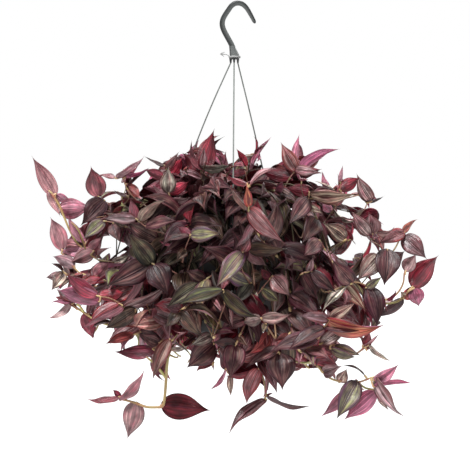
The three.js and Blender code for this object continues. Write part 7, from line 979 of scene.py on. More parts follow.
      [-1086, -715, -4038, -1151, -821, -4444, -63, -72, 29, 184, 44, 154, "mv", "ml", 1],
      [-1048, -876, -2830, -1385, -675, -3132, -68, -66, 32, 199, 47, 154, "db", "mr", 2],
      [-959, -766, -2707, -1287, -627, -3009, -58, -77, 28, 224, 98, 101, "ms", "rp", 2],
      [-715, -408, -2737, -946, -576, -3082, -60, -49, 64, 230, 58, 113, "nk", "nk", 2],
      [-1132, -685, -4168, -1368, -332, -4158, -30, -22, 93, 194, 72, 113, "dk", "mr", 1],
      [-1064, -881, -3003, -864, -1083, -3469, -55, -83, 12, 229, 102, 208, "db", "ng", 1],
      [-1032, -815, -3378, -637, -963, -3770, -25, -96, 11, 266, 125, 184, "nk", "dm", 1],
      [-1036, -830, -3243, -1159, -726, -3712, -97, -14, 22, 221, 97, 132, "nk", "dm", 2],
      [-2164, -290, -3682, -2269, -156, -3230, -95, -28, -14, 211, 133, 154, "mm", "mv", 1],
      [-1276, -769, -3798, -1793, -996, -4090, -3, -77, 64, 259, 108, 159, "rm", "rp", 1],
      [-1257, -634, -4258, -1725, -485, -4485, -40, -89, 23, 257, 87, 132, "mg", "rp", 1],
      [-798, -536, -2689, -891, -1009, -2643, -87, 21, 44, 206, 87, 167, "ng", "nk", 1],
      [-1737, -409, -3818, -1846, -88, -3607, -73, -53, 44, 197, 66, 183, "md", "mr", 1],
      [-1608, -683, -3735, -1856, -952, -4123, -68, -32, 66, 242, 92, 204, "mg", "pu", 1],
      [-1903, -359, -3791, -2010, -35, -3606, -78, -50, 39, 174, 121, 178, "md", "rp", 1],
      [-1093, -849, -3497, -1125, -1021, -3927, -45, -82, 36, 215, 104, 148, "dm", "nk", 1],
      [-1040, -845, -3111, -1183, -587, -3402, -93, -33, 17, 214, 61, 166, "ng", "dk", 2],
      [-1133, -810, -3762, -1158, -1159, -4144, -16, -72, 67, 219, 43, 214, "nk", "mm", 1],
      [-1758, -640, -3691, -2179, -839, -3842, -6, -52, 85, 233, 109, 158, "mr", "pu", 1],
      [-1043, -751, -3867, -1044, -934, -4351, -70, -67, 25, 261, 41, 147, "mm", "dk", 1],
      [-2027, -545, -3618, -2405, -451, -3843, -52, -5, 85, 202, 77, 177, "dk", "rp", 1],
      [-1438, -729, -3773, -1787, -690, -4172, -69, -47, 55, 244, 74, 167, "gs", "mr", 1],
      [-1865, -602, -3635, -2293, -486, -3860, -48, -36, 80, 220, 131, 215, "mm", "dm", 1],
      [-2149, -290, -3671, -2293, -147, -3188, -81, -55, -19, 341, 77, 196, "md", "dm", 1],
      [-1695, -525, -3785, -2125, -314, -4098, -66, -35, 67, 232, 139, 150, "mg", "mr", 1],
      [-1758, -640, -3691, -2098, -720, -4050, -67, -26, 69, 223, 130, 155, "md", "mm", 1],
      [-1257, -634, -4258, -1730, -411, -4226, -32, -76, 57, 243, 62, 146, "rm", "ml", 1],
      [-1132, -685, -4168, -1233, -875, -4510, -79, -41, 46, 180, 86, 201, "mm", "mm", 1],
      [-1695, -525, -3785, -1757, -337, -4246, -98, -19, 6, 261, 77, 181, "mg", "rp", 1],
      [-2042, -545, -3614, -2376, -595, -3830, -60, -38, 70, 198, 64, 205, "db", "mr", 1],
      [-1036, -830, -3243, -676, -1048, -3486, -19, -85, 49, 227, 67, 141, "nk", "dm", 2],
      [-1904, -359, -3775, -2278, -375, -3570, -22, -85, -47, 199, 88, 217, "mg", "mb", 1],
      [-2134, -447, -3972, -2415, -315, -3807, -70, -52, -50, 98, 40, 340, "mr", "dm", 1],
      [-1325, -226, -4551, -1167, 281, -4637, -88, 33, 34, 227, 83, 145, "mg", "rp", 1],
      [-2187, -207, -4024, -2473, -63, -3923, -40, -89, 20, 130, 51, 112, "mr", "rm", 1],
      [-1119, -448, -4637, -1299, -139, -4693, -27, 2, 96, 109, 71, 340, "mr", "mr", 1],
      [-1226, -549, -4372, -1218, -326, -4755, -91, -37, -19, 185, 96, 118, "mg", "mr", 1],
      [-1020, -223, -3976, -1021, -101, -3544, -93, 36, -10, 203, 111, 153, "dk", "ng", 2],
      [-1315, -230, -4559, -1220, 226, -4704, -94, 26, 20, 216, 68, 185, "ms", "mr", 1],
      [-1077, -439, -4685, -1044, -700, -4934, -97, -17, 15, 130, 124, 195, "mv", "rm", 1],
      [-1130, -456, -4538, -935, -147, -4717, -49, 65, 58, 187, 98, 169, "mv", "ml", 1],
      [-1111, -318, -4662, -967, -140, -5009, -87, 8, -49, 217, 70, 141, "dk", "mr", 1]]),
    ("shoot_front_mid",
     [[135, -492, -3080, 210, 119, -543, -2816, 206, 74, -739, -2607, 202, 34, -983, -2460, 198, 48, -1214, -2598, 194, 88, -1361, -2845, 191, 130, -1488, -3103, 187, 169, -1607, -3364, 183, 201, -1733, -3624, 179, 198, -1821, -3735, 175, 103, -1922, -3626, 145, 43, -1992, -3477, 130, 59, -2040, -3308, 115],
      [130, -1488, -3103, 160, 40, -1576, -3389, 150, -28, -1680, -3538, 140, 41, -1755, -3396, 145, 135, -1810, -3260, 115]],
     [[59, -2040, -3308, 156, -2210, -3122, 18, -68, -71, 114, 50, 340, "mm", "pm", 0],
      [59, -2040, -3309, -274, -2220, -3749, 19, -95, 25, 248, 80, 170, "gd", "pm", 0],
      [47, -2004, -3432, -28, -2104, -3592, 21, -87, 45, 87, 50, 340, "gb", "mr", 0],
      [135, -1810, -3260, 643, -1990, -3271, -31, -83, -46, 226, 80, 170, "db", "rp", 0],
      [103, -1792, -3306, 372, -1852, -3485, 15, 98, -10, 150, 80, 170, "gb", "mq", 0],
      [83, -1342, -2813, -91, -1678, -3038, 30, -63, 71, 205, 70, 216, "nk", "dm", 1],
      [165, -1856, -3697, -54, -2102, -3976, 4, -77, 64, 203, 46, 166, "ng", "dm", 1],
      [-4, -1643, -3486, -216, -1949, -3830, 6, -76, 64, 262, 139, 165, "mm", "pu", 1],
      [125, -1475, -3076, -331, -1830, -3349, 40, -82, 41, 266, 85, 131, "nk", "nk", 1],
      [44, -1149, -2560, -192, -1575, -2701, 20, -41, 89, 245, 111, 145, "nk", "nk", 1],
      [97, -1520, -3207, 212, -1479, -3655, 70, -71, 12, 202, 68, 174, "nk", "nk", 1],
      [62, -1263, -2681, 412, -1532, -2919, -2, -68, 74, 203, 125, 128, "ng", "dk", 1],
      [53, -1563, -3348, 127, -1704, -3769, 56, -75, 35, 206, 67, 133, "ng", "dk", 1],
      [-3, -1707, -3486, -464, -1993, -3224, 54, -84, 3, 304, 106, 155, "dk", "dk", 1],
      [165, -1856, -3697, -236, -1987, -3455, 34, -94, 5, 223, 57, 171, "gd", "dm", 1],
      [35, -1001, -2471, 76, -1517, -2500, 19, -4, 98, 239, 69, 150, "mr", "mr", 1],
      [-3, -1707, -3486, -68, -2007, -3030, 39, -79, -47, 271, 89, 195, "nk", "nk", 1],
      [62, -1263, -2681, -168, -1626, -2930, 13, -61, 78, 250, 114, 162, "nk", "nk", 1],
      [81, -1778, -3338, -17, -1890, -2875, 57, -82, -8, 197, 73, 219, "nk", "dk", 1],
      [125, -1475, -3076, 342, -1662, -3386, 18, -78, 60, 170, 43, 155, "dk", "nk", 1]]),
    ("shoot_right_mid_c",
     [[395, 20, -3080, 210, 426, 23, -2813, 206, 637, -150, -2716, 201, 840, -353, -2736, 197, 955, -549, -2916, 192, 1030, -724, -3137, 188, 1097, -890, -3369, 184, 1176, -1048, -3601, 179, 1249, -1120, -3703, 175, 1411, -1090, -3651, 163, 1564, -1070, -3576, 151, 1704, -1057, -3478, 139, 1831, -1037, -3362, 127, 1980, -1020, -3291, 115],
      [1030, -724, -3137, 150, 1049, -838, -3415, 139, 1059, -924, -3690, 127, 1097, -1007, -3932, 116, 1200, -1111, -4113, 105]],
     [[1940, -1021, -3278, 1881, -1181, -3760, 7, -95, 31, 351, 80, 170, "dk", "pu", 0],
      [1829, -1039, -3359, 1525, -1179, -3692, 23, -94, 25, 271, 80, 170, "gb", "mv", 0],
      [1762, -1048, -3425, 1622, -1128, -3638, 59, 55, -59, 112, 50, 170, "mr", "mr", 0],
      [1193, -1104, -4101, 1310, -1248, -4303, 65, -39, 65, 68, 124, 340, "rd", "mb", 1],
      [1109, -1019, -3954, 1431, -950, -4092, 43, -53, 73, 184, 61, 127, "rm", "pu", 1],
      [1066, -952, -3765, 1071, -1172, -4201, 61, -73, 30, 213, 53, 198, "dm", "dm", 1],
      [1056, -896, -3601, 1255, -796, -3963, 86, 9, 50, 220, 48, 106, "mg", "ml", 1],
      [1081, -850, -3313, 1024, -1314, -3465, 61, -31, 73, 240, 127, 134, "nk", "mm", 1],
      [1050, -847, -3443, 1417, -845, -3804, 58, -57, 58, 228, 99, 107, "mm", "nk", 1],
      [1162, -1021, -3561, 997, -1372, -3845, 48, -68, 56, 243, 92, 176, "nk", "mm", 1],
      [1229, -1101, -3676, 1674, -1153, -4100, 16, -95, 28, 257, 82, 219, "gr", "pu", 1],
      [1066, -940, -3736, 1032, -1386, -4043, 55, -50, 67, 220, 51, 138, "ng", "dm", 1],
      [1038, -746, -3168, 799, -1122, -3314, 73, -60, 33, 244, 68, 122, "db", "pm", 2],
      [1132, -1042, -3993, 1598, -900, -4244, 47, -76, 45, 279, 52, 167, "md", "dm", 1],
      [1115, -927, -3423, 1418, -1012, -3880, 79, -24, 57, 235, 60, 112, "mm", "mr", 1],
      [1132, -1042, -3993, 1467, -1001, -4376, 73, -31, 61, 209, 137, 220, "gd", "cr", 1],
      [1028, -789, -3311, 1437, -749, -3574, 51, -59, 63, 184, 69, 120, "mm", "nk", 1],
      [1362, -1099, -3667, 1631, -987, -3305, 65, -72, -26, 195, 138, 120, "db", "dm", 1],
      [1115, -927, -3423, 1515, -992, -3689, 23, -80, 55, 241, 88, 103, "dk", "dk", 1],
      [1229, -1101, -3676, 1354, -1598, -3997, 76, -21, 61, 311, 77, 159, "mm", "rp", 1]]),
    ("shoot_right_mid_a",
     [[114, 12, -3080, 210, 194, -22, -2841, 206, 372, -221, -2720, 202, 562, -429, -2636, 198, 768, -633, -2601, 194, 969, -750, -2746, 191, 1082, -747, -3016, 187, 1172, -716, -3294, 183, 1264, -669, -3569, 179, 1341, -640, -3689, 175, 1488, -610, -3556, 160, 1631, -588, -3417, 145, 1726, -570, -3245, 130, 1795, -550, -3057, 115],
      [1488, -610, -3556, 160, 1551, -524, -3688, 150, 1617, -440, -3760, 140, 1744, -417, -3634, 163, 1873, -396, -3511, 151, 2005, -378, -3390, 139, 2112, -356, -3247, 127, 2183, -340, -3084, 115],
      [372, -221, -2720, 150, 579, -399, -2678, 135, 812, -552, -2638, 120, 1019, -682, -2613, 105],
      [768, -633, -2601, 150, 801, -660, -2879, 141, 768, -641, -3221, 132, 733, -602, -3573, 123, 759, -568, -3877, 114, 908, -565, -4080, 105],
      [1726, -570, -3245, 135, 1750, -754, -3147, 118, 1771, -950, -3155, 100],
      [1631, -588, -3417, 135, 1575, -637, -3409, 118, 1539, -700, -3413, 100],
      [759, -568, -3877, 135, 726, -523, -4108, 126, 655, -470, -4373, 118, 600, -399, -4568, 109, 618, -298, -4587, 100],
      [759, -568, -3877, 135, 733, -389, -3953, 126, 675, -144, -3988, 118, 623, 70, -4038, 109, 614, 155, -4158, 100],
      [2005, -378, -3390, 135, 1898, -250, -3245, 118, 1804, -218, -3184, 100],
      [1631, -588, -3417, 135, 1579, -503, -3398, 118, 1562, -450, -3400, 100]],
     [[1747, -553, -3099, 1481, -693, -2761, 24, -94, -26, 198, 100, 170, "ms", "mb", 0],
      [1782, -550, -3081, 1725, -630, -2787, -4, -97, -24, 255, 120, 170, "mq", "ml", 0],
      [1830, -550, -3063, 2086, -490, -2985, 32, -45, -83, 186, 180, 170, "ms", "ms", 0],
      [2197, -340, -3077, 2391, -340, -2876, -52, 72, 45, 134, 50, 170, "gb", "rg", 0],
      [2209, -342, -3115, 2512, -442, -3416, -17, -97, 16, 276, 100, 170, "mq", "mv", 0],
      [2230, -340, -3057, 1823, -500, -3231, 34, -92, 19, 195, 120, 170, "rm", "mb", 0],
      [1007, -674, -2615, 1220, -810, -2682, 17, -22, 96, 71, 52, 340, "rb", "pm", 1],
      [851, -576, -2633, 1254, -535, -2695, 18, -47, 86, 128, 100, 340, "db", "mm", 1],
      [689, -471, -2659, 931, -901, -2680, 54, 26, 80, 236, 124, 182, "mv", "pm", 2],
      [899, -565, -4068, 1050, -577, -4336, 81, -36, 47, 95, 110, 340, "pk", "rp", 1],
      [799, -567, -3932, 1079, -276, -4026, 50, -20, 84, 169, 72, 146, "db", "ml", 2],
      [751, -579, -3781, 731, -749, -4241, 77, -61, 19, 228, 122, 217, "db", "ml", 2],
      [734, -603, -3568, 951, -255, -3966, 85, 7, 53, 266, 83, 211, "go", "dm", 2],
      [753, -624, -3375, 762, -740, -3909, 82, -55, 13, 279, 64, 216, "nk", "dm", 2],
      [760, -568, -3879, 1130, -431, -4140, 53, -78, 34, 232, 115, 125, "dk", "mv", 1],
      [1251, -676, -3529, 1498, -822, -3927, 78, -24, 57, 198, 115, 176, "rm", "mr", 1],
      [872, -693, -2676, 1030, -1071, -2992, -6, -65, 75, 265, 48, 138, "mb", "dm", 1],
      [736, -605, -3544, 970, -268, -3717, 65, -6, 76, 224, 123, 153, "nk", "nk", 2],
      [777, -641, -2681, 1174, -595, -2863, 12, -99, 1, 180, 57, 193, "ms", "nk", 1],
      [1584, -464, -3745, 1986, -625, -4125, 61, -16, 78, 194, 91, 205, "mm", "cr", 1],
      [794, -656, -2948, 1042, -609, -3395, 48, -86, 17, 251, 53, 143, "dk", "ng", 1],
      [782, -649, -3078, 929, -434, -3287, 85, -7, 53, 150, 128, 106, "ng", "ng", 2],
      [1819, -403, -3538, 2248, -227, -3313, 55, -81, -21, 283, 42, 170, "md", "dm", 1],
      [766, -639, -3242, 930, -484, -3513, 88, -19, 43, 148, 136, 101, "gd", "dk", 2],
      [858, -566, -4013, 1247, -394, -4403, 74, -27, 62, 263, 101, 206, "ms", "mr", 1],
      [766, -639, -3242, 920, -880, -3506, 78, -17, 61, 198, 53, 138, "ng", "dk", 2],
      [1575, -595, -3450, 1748, -746, -3128, 93, -4, -37, 150, 114, 142, "mm", "cr", 1],
      [1339, -641, -3686, 1431, -641, -4207, 34, -94, 6, 256, 43, 140, "mm", "ml", 1],
      [858, -566, -4013, 1067, -319, -4509, 91, 8, 42, 278, 43, 163, "mr", "pu", 1],
      [996, -667, -2616, 1272, -1055, -2603, 59, 44, 67, 210, 105, 173, "gs", "pm", 1],
      [793, -653, -2812, 944, -992, -3120, 53, -43, 73, 198, 84, 110, "nk", "dk", 1],
      [777, -641, -2681, 833, -283, -3154, 91, 28, 32, 282, 83, 109, "nk", "dk", 2],
      [782, -649, -3078, 1007, -408, -3496, 89, -39, 25, 243, 70, 109, "nk", "dm", 2],
      [1598, -464, -3739, 1831, -481, -4093, 79, -32, 53, 218, 52, 196, "dm", "cr", 1],
      [845, -572, -2634, 1404, -523, -2547, 1, -89, 46, 251, 106, 205, "dk", "nk", 1],
      [1477, -612, -3566, 1951, -528, -3529, -7, -2, 100, 227, 107, 187, "rm", "mr", 1],
      [1339, -641, -3686, 1618, -724, -4200, 80, -34, 49, 296, 68, 152, "ms", "mr", 1],
      [1477, -612, -3566, 1782, -703, -3318, 48, -45, -75, 163, 101, 151, "mv", "mr", 1],
      [1770, -940, -3155, 1730, -1293, -3132, 26, 4, 97, 144, 63, 127, "dm", "mr", 1],
      [1533, -691, -3405, 1598, -920, -3646, 31, -56, 77, 146, 64, 178, "dk", "dm", 1],
      [616, -308, -4585, 877, -235, -4850, 72, -3, 70, 158, 115, 184, "mm", "mr", 1],
      [626, -432, -4477, 498, -617, -4926, 96, 4, -29, 223, 61, 104, "db", "rm", 1],
      [667, -479, -4328, 591, -649, -4792, 97, -24, -7, 228, 76, 186, "db", "pu", 1],
      [708, -510, -4172, 893, -200, -4525, 92, -35, 18, 252, 60, 177, "gd", "mr", 1],
      [615, 150, -4150, 777, 87, -4476, 69, 69, 21, 168, 82, 182, "mm", "mr", 1],
      [630, 43, -4031, 893, 210, -4445, 63, 50, 60, 244, 43, 167, "mr", "mr", 1],
      [665, -100, -3998, 545, 286, -4110, 76, 39, 52, 211, 93, 211, "nk", "mm", 2],
      [1947, -288, -3302, 1604, -438, -2849, 82, -46, 35, 243, 124, 113, "mb", "ml", 1],
      [1549, -460, -3406, 1751, -169, -3382, 37, -22, 90, 120, 46, 187, "mq", "dm", 1]]),
    ("shoot_left_front_dark",
     [[-320, -133, -3080, 210, -338, -202, -2801, 206, -334, -462, -2624, 202, -332, -745, -2484, 198, -343, -1047, -2400, 194, -402, -1275, -2563, 191, -465, -1351, -2862, 187, -530, -1389, -3168, 183, -611, -1410, -3472, 179, -690, -1420, -3619, 175, -898, -1403, -3526, 145, -1112, -1370, -3454, 115],
      [-343, -1047, -2400, 150, -438, -1249, -2635, 135, -527, -1429, -2906, 120, -641, -1639, -3006, 105],
      [-402, -1275, -2563, 150, -464, -1307, -2839, 139, -545, -1283, -3140, 127, -620, -1282, -3423, 116, -658, -1381, -3644, 105],
      [-402, -1275, -2563, 135, -438, -1467, -2593, 118, -490, -1662, -2580, 100]],
     [[-1112, -1370, -3454, -1692, -1470, -3758, 13, -99, 7, 332, 80, 170, "nk", "pu", 0],
      [-1075, -1376, -3471, -874, -1536, -3887, -14, -93, 34, 357, 80, 170, "nk", "rm", 0],
      [-1089, -1373, -3462, -1400, -1473, -3059, 12, -98, -15, 281, 80, 170, "ng", "mb", 0],
      [-634, -1627, -3000, -634, -1794, -3134, -7, -62, 78, 55, 81, 340, "mr", "mr", 1],
      [-566, -1500, -2940, -895, -1596, -3132, -26, -61, 75, 188, 52, 198, "mm", "mr", 1],
      [-513, -1401, -2864, -399, -1726, -3115, -60, -61, 51, 199, 104, 101, "rb", "pu", 1],
      [-467, -1307, -2723, -883, -1492, -3101, 13, -94, 32, 294, 63, 131, "nk", "ng", 1],
      [-656, -1375, -3630, -683, -1536, -3831, -72, -49, 49, 131, 91, 211, "gd", "mr", 1],
      [-634, -1319, -3505, -791, -1382, -3764, -30, -87, 40, 85, 79, 340, "nk", "dm", 1],
      [-611, -1282, -3391, -410, -1496, -3713, -40, -86, 32, 189, 53, 105, "ng", "nk", 1],
      [-577, -1283, -3259, -1004, -1328, -3566, -26, -84, 48, 216, 41, 134, "ng", "ng", 1],
      [-531, -1288, -3086, -486, -1429, -3485, -42, -87, 26, 171, 93, 120, "gd", "ng", 1],
      [-463, -1348, -2852, -150, -1607, -3196, -8, -83, 55, 261, 53, 123, "db", "nk", 1],
      [-337, -293, -2739, -314, -448, -2350, -74, 60, 28, 201, 113, 211, "ng", "ng", 2],
      [-598, -1559, -2968, -167, -1884, -2996, -55, -76, 36, 275, 77, 216, "dk", "nk", 1],
      [-358, -1078, -2436, -247, -1594, -2527, -68, -27, 69, 226, 125, 169, "md", "nk", 1],
      [-440, -1254, -2644, -262, -1644, -2841, -44, -56, 71, 219, 91, 140, "nk", "nk", 1],
      [-478, -1330, -2757, -586, -1822, -2977, -70, -16, 70, 238, 132, 159, "dm", "nk", 1],
      [-397, -1255, -2548, -407, -1722, -2766, -32, -39, 86, 264, 48, 112, "dk", "dm", 1],
      [-341, -989, -2417, -49, -1411, -2492, -60, -52, 60, 216, 47, 105, "mq", "dk", 1],
      [-598, -1559, -2968, -970, -1841, -3262, -1, -71, 70, 284, 76, 138, "nk", "nk", 1],
      [-335, -822, -2463, -444, -1242, -2482, -76, 17, 63, 198, 73, 192, "ng", "nk", 1],
      [-672, -1418, -3586, -626, -1808, -4028, -12, -75, 65, 304, 133, 205, "db", "dk", 1],
      [-337, -293, -2739, -393, -448, -2264, -48, -82, -32, 228, 45, 197, "dk", "dk", 2],
      [-334, -545, -2583, -184, -437, -2163, -46, -81, 37, 238, 85, 143, "ms", "dm", 1],
      [-363, -1124, -2455, -210, -1665, -2641, -37, -39, 84, 250, 67, 177, "mq", "dm", 1],
      [-523, -1385, -3138, -989, -1643, -3383, 27, -87, 40, 282, 132, 108, "nk", "dk", 1],
      [-487, -1652, -2581, -372, -2017, -2550, -82, -22, 52, 194, 51, 202, "dk", "nk", 1],
      [-446, -1497, -2591, -416, -2005, -2790, -55, -33, 77, 257, 47, 136, "md", "ng", 1]]),
    ("shoot_left_high",
     [[-372, -15, -3080, 210, -418, -65, -2812, 206, -702, -61, -2686, 201, -1004, -60, -2608, 197, -1297, -110, -2630, 192, -1308, -260, -2894, 188, -1241, -399, -3165, 184, -1167, -532, -3436, 179, -1160, -600, -3585, 175, -1332, -549, -3529, 169, -1505, -497, -3479, 163, -1682, -444, -3451, 157, -1862, -402, -3421, 151, -2010, -376, -3312, 145, -2145, -332, -3192, 139, -2239, -301, -3034, 133, -2313, -279, -2863, 127, -2388, -258, -2693, 121, -2487, -240, -2535, 115],
      [-1241, -399, -3165, 150, -1098, -366, -2959, 139, -889, -218, -2566, 127, -774, -67, -2193, 116, -911, -26, -2048, 105],
      [-1004, -60, -2608, 150, -1114, -209, -2770, 141, -1210, -397, -3029, 132, -1315, -585, -3309, 123, -1450, -734, -3538, 114, -1640, -804, -3640, 105],
      [-1862, -402, -3421, 135, -1861, -556, -3370, 118, -1820, -700, -3394, 100],
      [-2010, -376, -3312, 135, -2112, -413, -3035, 118, -2207, -450, -2925, 100]],
     [[-2438, -240, -2572, -2742, -340, -2046, -6, 98, 17, 229, 100, 170, "mv", "pm", 0],
      [-2428, -245, -2548, -2268, -25, -2616, 20, -50, -84, 170, 150, 170, "pk", "pk", 0],
      [-2529, -242, -2503, -2358, -342, -2856, -28, 87, -41, 156, 50, 170, "gs", "mv", 0],
      [-2382, -262, -2752, -1936, -122, -2717, -36, 93, 2, 297, 80, 170, "ms", "pk", 0],
      [-2019, -351, -3203, -2261, -471, -2825, -61, 79, 4, 145, 50, 170, "mv", "pk", 0],
      [-1911, -391, -3306, -2221, -531, -3468, -41, 90, -16, 220, 80, 170, "mr", "mq", 0],
      [-1957, -381, -3313, -1784, -201, -3093, -44, 81, -38, 172, 80, 170, "mr", "mq", 0],
      [-1658, -451, -3455, -1411, -591, -3347, -26, -83, -49, 127, 80, 170, "gl", "rm", 0],
      [-775, -67, -2192, -1106, 81, -2236, -40, -74, 53, 168, 112, 173, "mm", "mr", 1],
      [-821, -129, -2345, -468, -183, -2123, -53, -2, 84, 193, 86, 153, "rm", "pu", 1],
      [-876, -202, -2525, -1037, 360, -2310, -78, -40, 47, 267, 50, 206, "ms", "rm", 2],
      [-977, -280, -2732, -627, -419, -2513, -53, -77, 36, 201, 111, 212, "gd", "dm", 2],
      [-1627, -799, -3633, -1855, -974, -3738, -45, 5, 89, 153, 94, 154, "md", "mr", 1],
      [-1495, -750, -3562, -1691, -680, -3789, -42, -90, 8, 130, 80, 105, "mb", "rm", 1],
      [-1402, -681, -3457, -1324, -1048, -3815, -79, -51, 35, 214, 87, 137, "mr", "pu", 1],
      [-1332, -604, -3339, -1623, -545, -3838, -87, -4, 50, 239, 87, 109, "mg", "rp", 1],
      [-1267, -499, -3181, -1283, -1050, -3462, -57, -36, 74, 320, 73, 122, "gd", "dm", 1],
      [-1504, -754, -3567, -1677, -1214, -3769, -10, -37, 92, 253, 60, 217, "gd", "cr", 1],
      [-1174, -521, -3414, -883, -816, -3575, -46, -73, 51, 195, 71, 202, "nk", "nk", 2],
      [-1070, -72, -2616, -1328, -367, -2517, -32, 69, 65, 263, 52, 194, "ng", "dm", 1],
      [-1046, -117, -2671, -1346, -220, -2964, -58, -37, 72, 181, 48, 218, "nk", "dm", 2],
      [-1213, -450, -3269, -1195, -795, -3660, -90, -34, 26, 247, 116, 200, "db", "nk", 2],
      [-1288, -302, -2975, -1291, -349, -3498, -88, -47, 5, 226, 97, 148, "dm", "dk", 2],
      [-956, -266, -2692, -534, -521, -2442, -63, -38, 67, 283, 86, 180, "nk", "nk", 2],
      [-1186, -386, -3085, -1191, -576, -2686, -85, 48, 21, 178, 60, 100, "dk", "dm", 2],
      [-1190, -358, -2975, -1449, -507, -3274, -64, -31, 71, 218, 85, 139, "gd", "nk", 2],
      [-1152, -283, -2873, -1510, -409, -3130, -34, -56, 75, 237, 118, 171, "dk", "nk", 1],
      [-511, -64, -2771, -888, -143, -2731, 4, 29, 96, 160, 114, 211, "ng", "nk", 2],
      [-797, -61, -2662, -1161, -303, -2557, -18, 61, 77, 197, 49, 130, "dk", "dk", 2],
      [-1295, -561, -3535, -1400, -375, -3192, -67, -74, 4, 203, 103, 146, "mr", "pm", 2],
      [-412, -58, -2846, -648, -290, -2757, -23, 55, 81, 171, 78, 203, "db", "dm", 2],
      [-1162, -588, -3557, -1234, -657, -4083, -93, -31, 17, 227, 71, 121, "gd", "dk", 1],
      [-1307, -235, -2851, -1390, -783, -3084, -79, -14, 60, 291, 85, 121, "nk", "dm", 1],
      [-1186, -386, -3085, -1235, 195, -3041, -82, -11, 56, 289, 99, 182, "md", "dm", 2],
      [-1973, -381, -3342, -2405, -252, -3305, -25, -86, 44, 176, 61, 171, "pk", "mv", 1],
      [-798, -99, -2270, -1103, 257, -2266, -58, -51, 64, 224, 111, 143, "ms", "rm", 1],
      [-1255, -370, -3109, -1075, -797, -3065, -86, -32, 39, 234, 46, 121, "dk", "nk", 2],
      [-412, -58, -2846, -414, -588, -2944, -95, -6, 31, 279, 70, 184, "ng", "nk", 2],
      [-798, -99, -2270, -770, -468, -2095, -91, 12, 40, 189, 81, 212, "mr", "mr", 1],
      [-1288, -302, -2975, -1394, -86, -3393, -97, -14, 17, 198, 46, 209, "ng", "nk", 2],
      [-1162, -588, -3557, -899, -717, -3886, 0, -93, 37, 219, 124, 183, "nk", "ng", 2],
      [-1467, -509, -3490, -2020, -403, -3628, -24, 3, 97, 235, 51, 115, "ms", "rp", 1],
      [-2095, -347, -3245, -2407, -119, -3242, -26, -59, 77, 215, 98, 200, "mm", "mr", 1],
      [-925, -60, -2625, -1276, -498, -2426, -54, 60, 59, 335, 115, 126, "dk", "nk", 1],
      [-1823, -690, -3387, -1648, -1026, -3252, -96, -25, 16, 109, 113, 340, "mm", "mr", 1],
      [-2036, -386, -3249, -2005, -85, -2917, -98, -17, -5, 249, 47, 189, "dm", "mm", 1]]),
    ("shoot_front_left_olive",
     [[-346, -232, -3080, 210, -395, -300, -2814, 206, -296, -547, -2668, 201, -186, -815, -2580, 197, -112, -1097, -2615, 192, -122, -1282, -2853, 188, -157, -1414, -3124, 184, -210, -1532, -3399, 179, -255, -1600, -3539, 175, -360, -1675, -3632, 145, -480, -1740, -3712, 115]],
     [[-480, -1740, -3712, -903, -1840, -4022, 15, -98, 11, 226, 80, 170, "ng", "pm", 0],
      [-414, -1704, -3668, -655, -1784, -3536, 24, -96, -13, 176, 80, 170, "nk", "pu", 0],
      [-159, -1420, -3138, -526, -1705, -3538, 13, -86, 49, 257, 85, 208, "nk", "dm", 1],
      [-217, -1542, -3421, 75, -1668, -3812, 44, -71, 55, 222, 54, 166, "dk", "mr", 1],
      [-386, -1689, -3649, -481, -1919, -4115, -22, -86, 47, 229, 83, 167, "go", "nk", 1],
      [-245, -670, -2628, -156, -1121, -2751, 33, -19, 92, 209, 100, 137, "md", "dk", 1],
      [-363, -380, -2767, -467, -708, -2433, -98, 16, -14, 213, 44, 131, "nk", "ng", 2],
      [-278, -1616, -3559, -117, -1993, -4064, 42, -66, 63, 337, 93, 182, "ng", "dk", 1],
      [-303, -528, -2680, -106, -505, -2430, 1, -100, 9, 154, 123, 104, "nk", "nk", 1]]),
    ("shoot_right_front_mauve",
     [[169, -365, -3080, 210, 202, -389, -2779, 206, 399, -522, -2568, 201, 631, -686, -2428, 197, 846, -865, -2531, 192, 980, -991, -2790, 188, 1090, -1103, -3067, 184, 1185, -1215, -3349, 179, 1227, -1300, -3494, 175, 1140, -1356, -3326, 145, 1043, -1400, -3161, 115],
      [1090, -1103, -3067, 160, 930, -1240, -3366, 153, 731, -1361, -3652, 147, 734, -1500, -3693, 140, 808, -1549, -3586, 145, 933, -1580, -3552, 115],
      [1140, -1356, -3326, 135, 1253, -1397, -3232, 118, 1388, -1450, -3147, 100],
      [1185, -1215, -3349, 135, 1311, -1323, -3225, 118, 1426, -1450, -3140, 100]],
     [[1043, -1400, -3161, 822, -1500, -3376, 22, -95, 22, 217, 80, 170, "md", "mv", 0],
      [1104, -1372, -3265, 829, -1312, -3199, -20, -98, 5, 153, 80, 170, "dk", "pm", 0],
      [930, -1579, -3553, 1258, -1659, -3828, -14, -98, 12, 190, 60, 170, "nk", "mr", 0],
      [886, -1568, -3565, 956, -1648, -3362, -11, -94, -33, 101, 50, 340, "ms", "pm", 0],
      [822, -1552, -3583, 1013, -1492, -3922, 7, -99, -13, 228, 80, 170, "nk", "mr", 0],
      [1021, -1033, -2892, 812, -1396, -3226, 48, -73, 49, 269, 112, 121, "dk", "dk", 1],
      [833, -1299, -3505, 432, -1552, -3528, 44, -74, 50, 243, 95, 158, "gd", "nk", 1],
      [1005, -1176, -3226, 1278, -1318, -3720, 74, -41, 53, 249, 70, 149, "mg", "mm", 1],
      [733, -1472, -3685, 689, -2026, -3840, 78, -23, 59, 263, 43, 212, "nk", "ng", 1],
      [833, -1299, -3505, 820, -1389, -3965, 64, -76, 13, 209, 113, 131, "ng", "dk", 1],
      [1216, -1278, -3456, 1517, -1300, -3741, 62, -37, 69, 182, 84, 195, "db", "dm", 1],
      [1380, -1447, -3152, 1449, -1609, -2943, 87, -21, -45, 72, 89, 340, "rd", "mr", 1],
      [1430, -1443, -3150, 1341, -1738, -3004, 88, 13, 46, 155, 47, 200, "dm", "dm", 1]]),
    ("shoot_front_high",
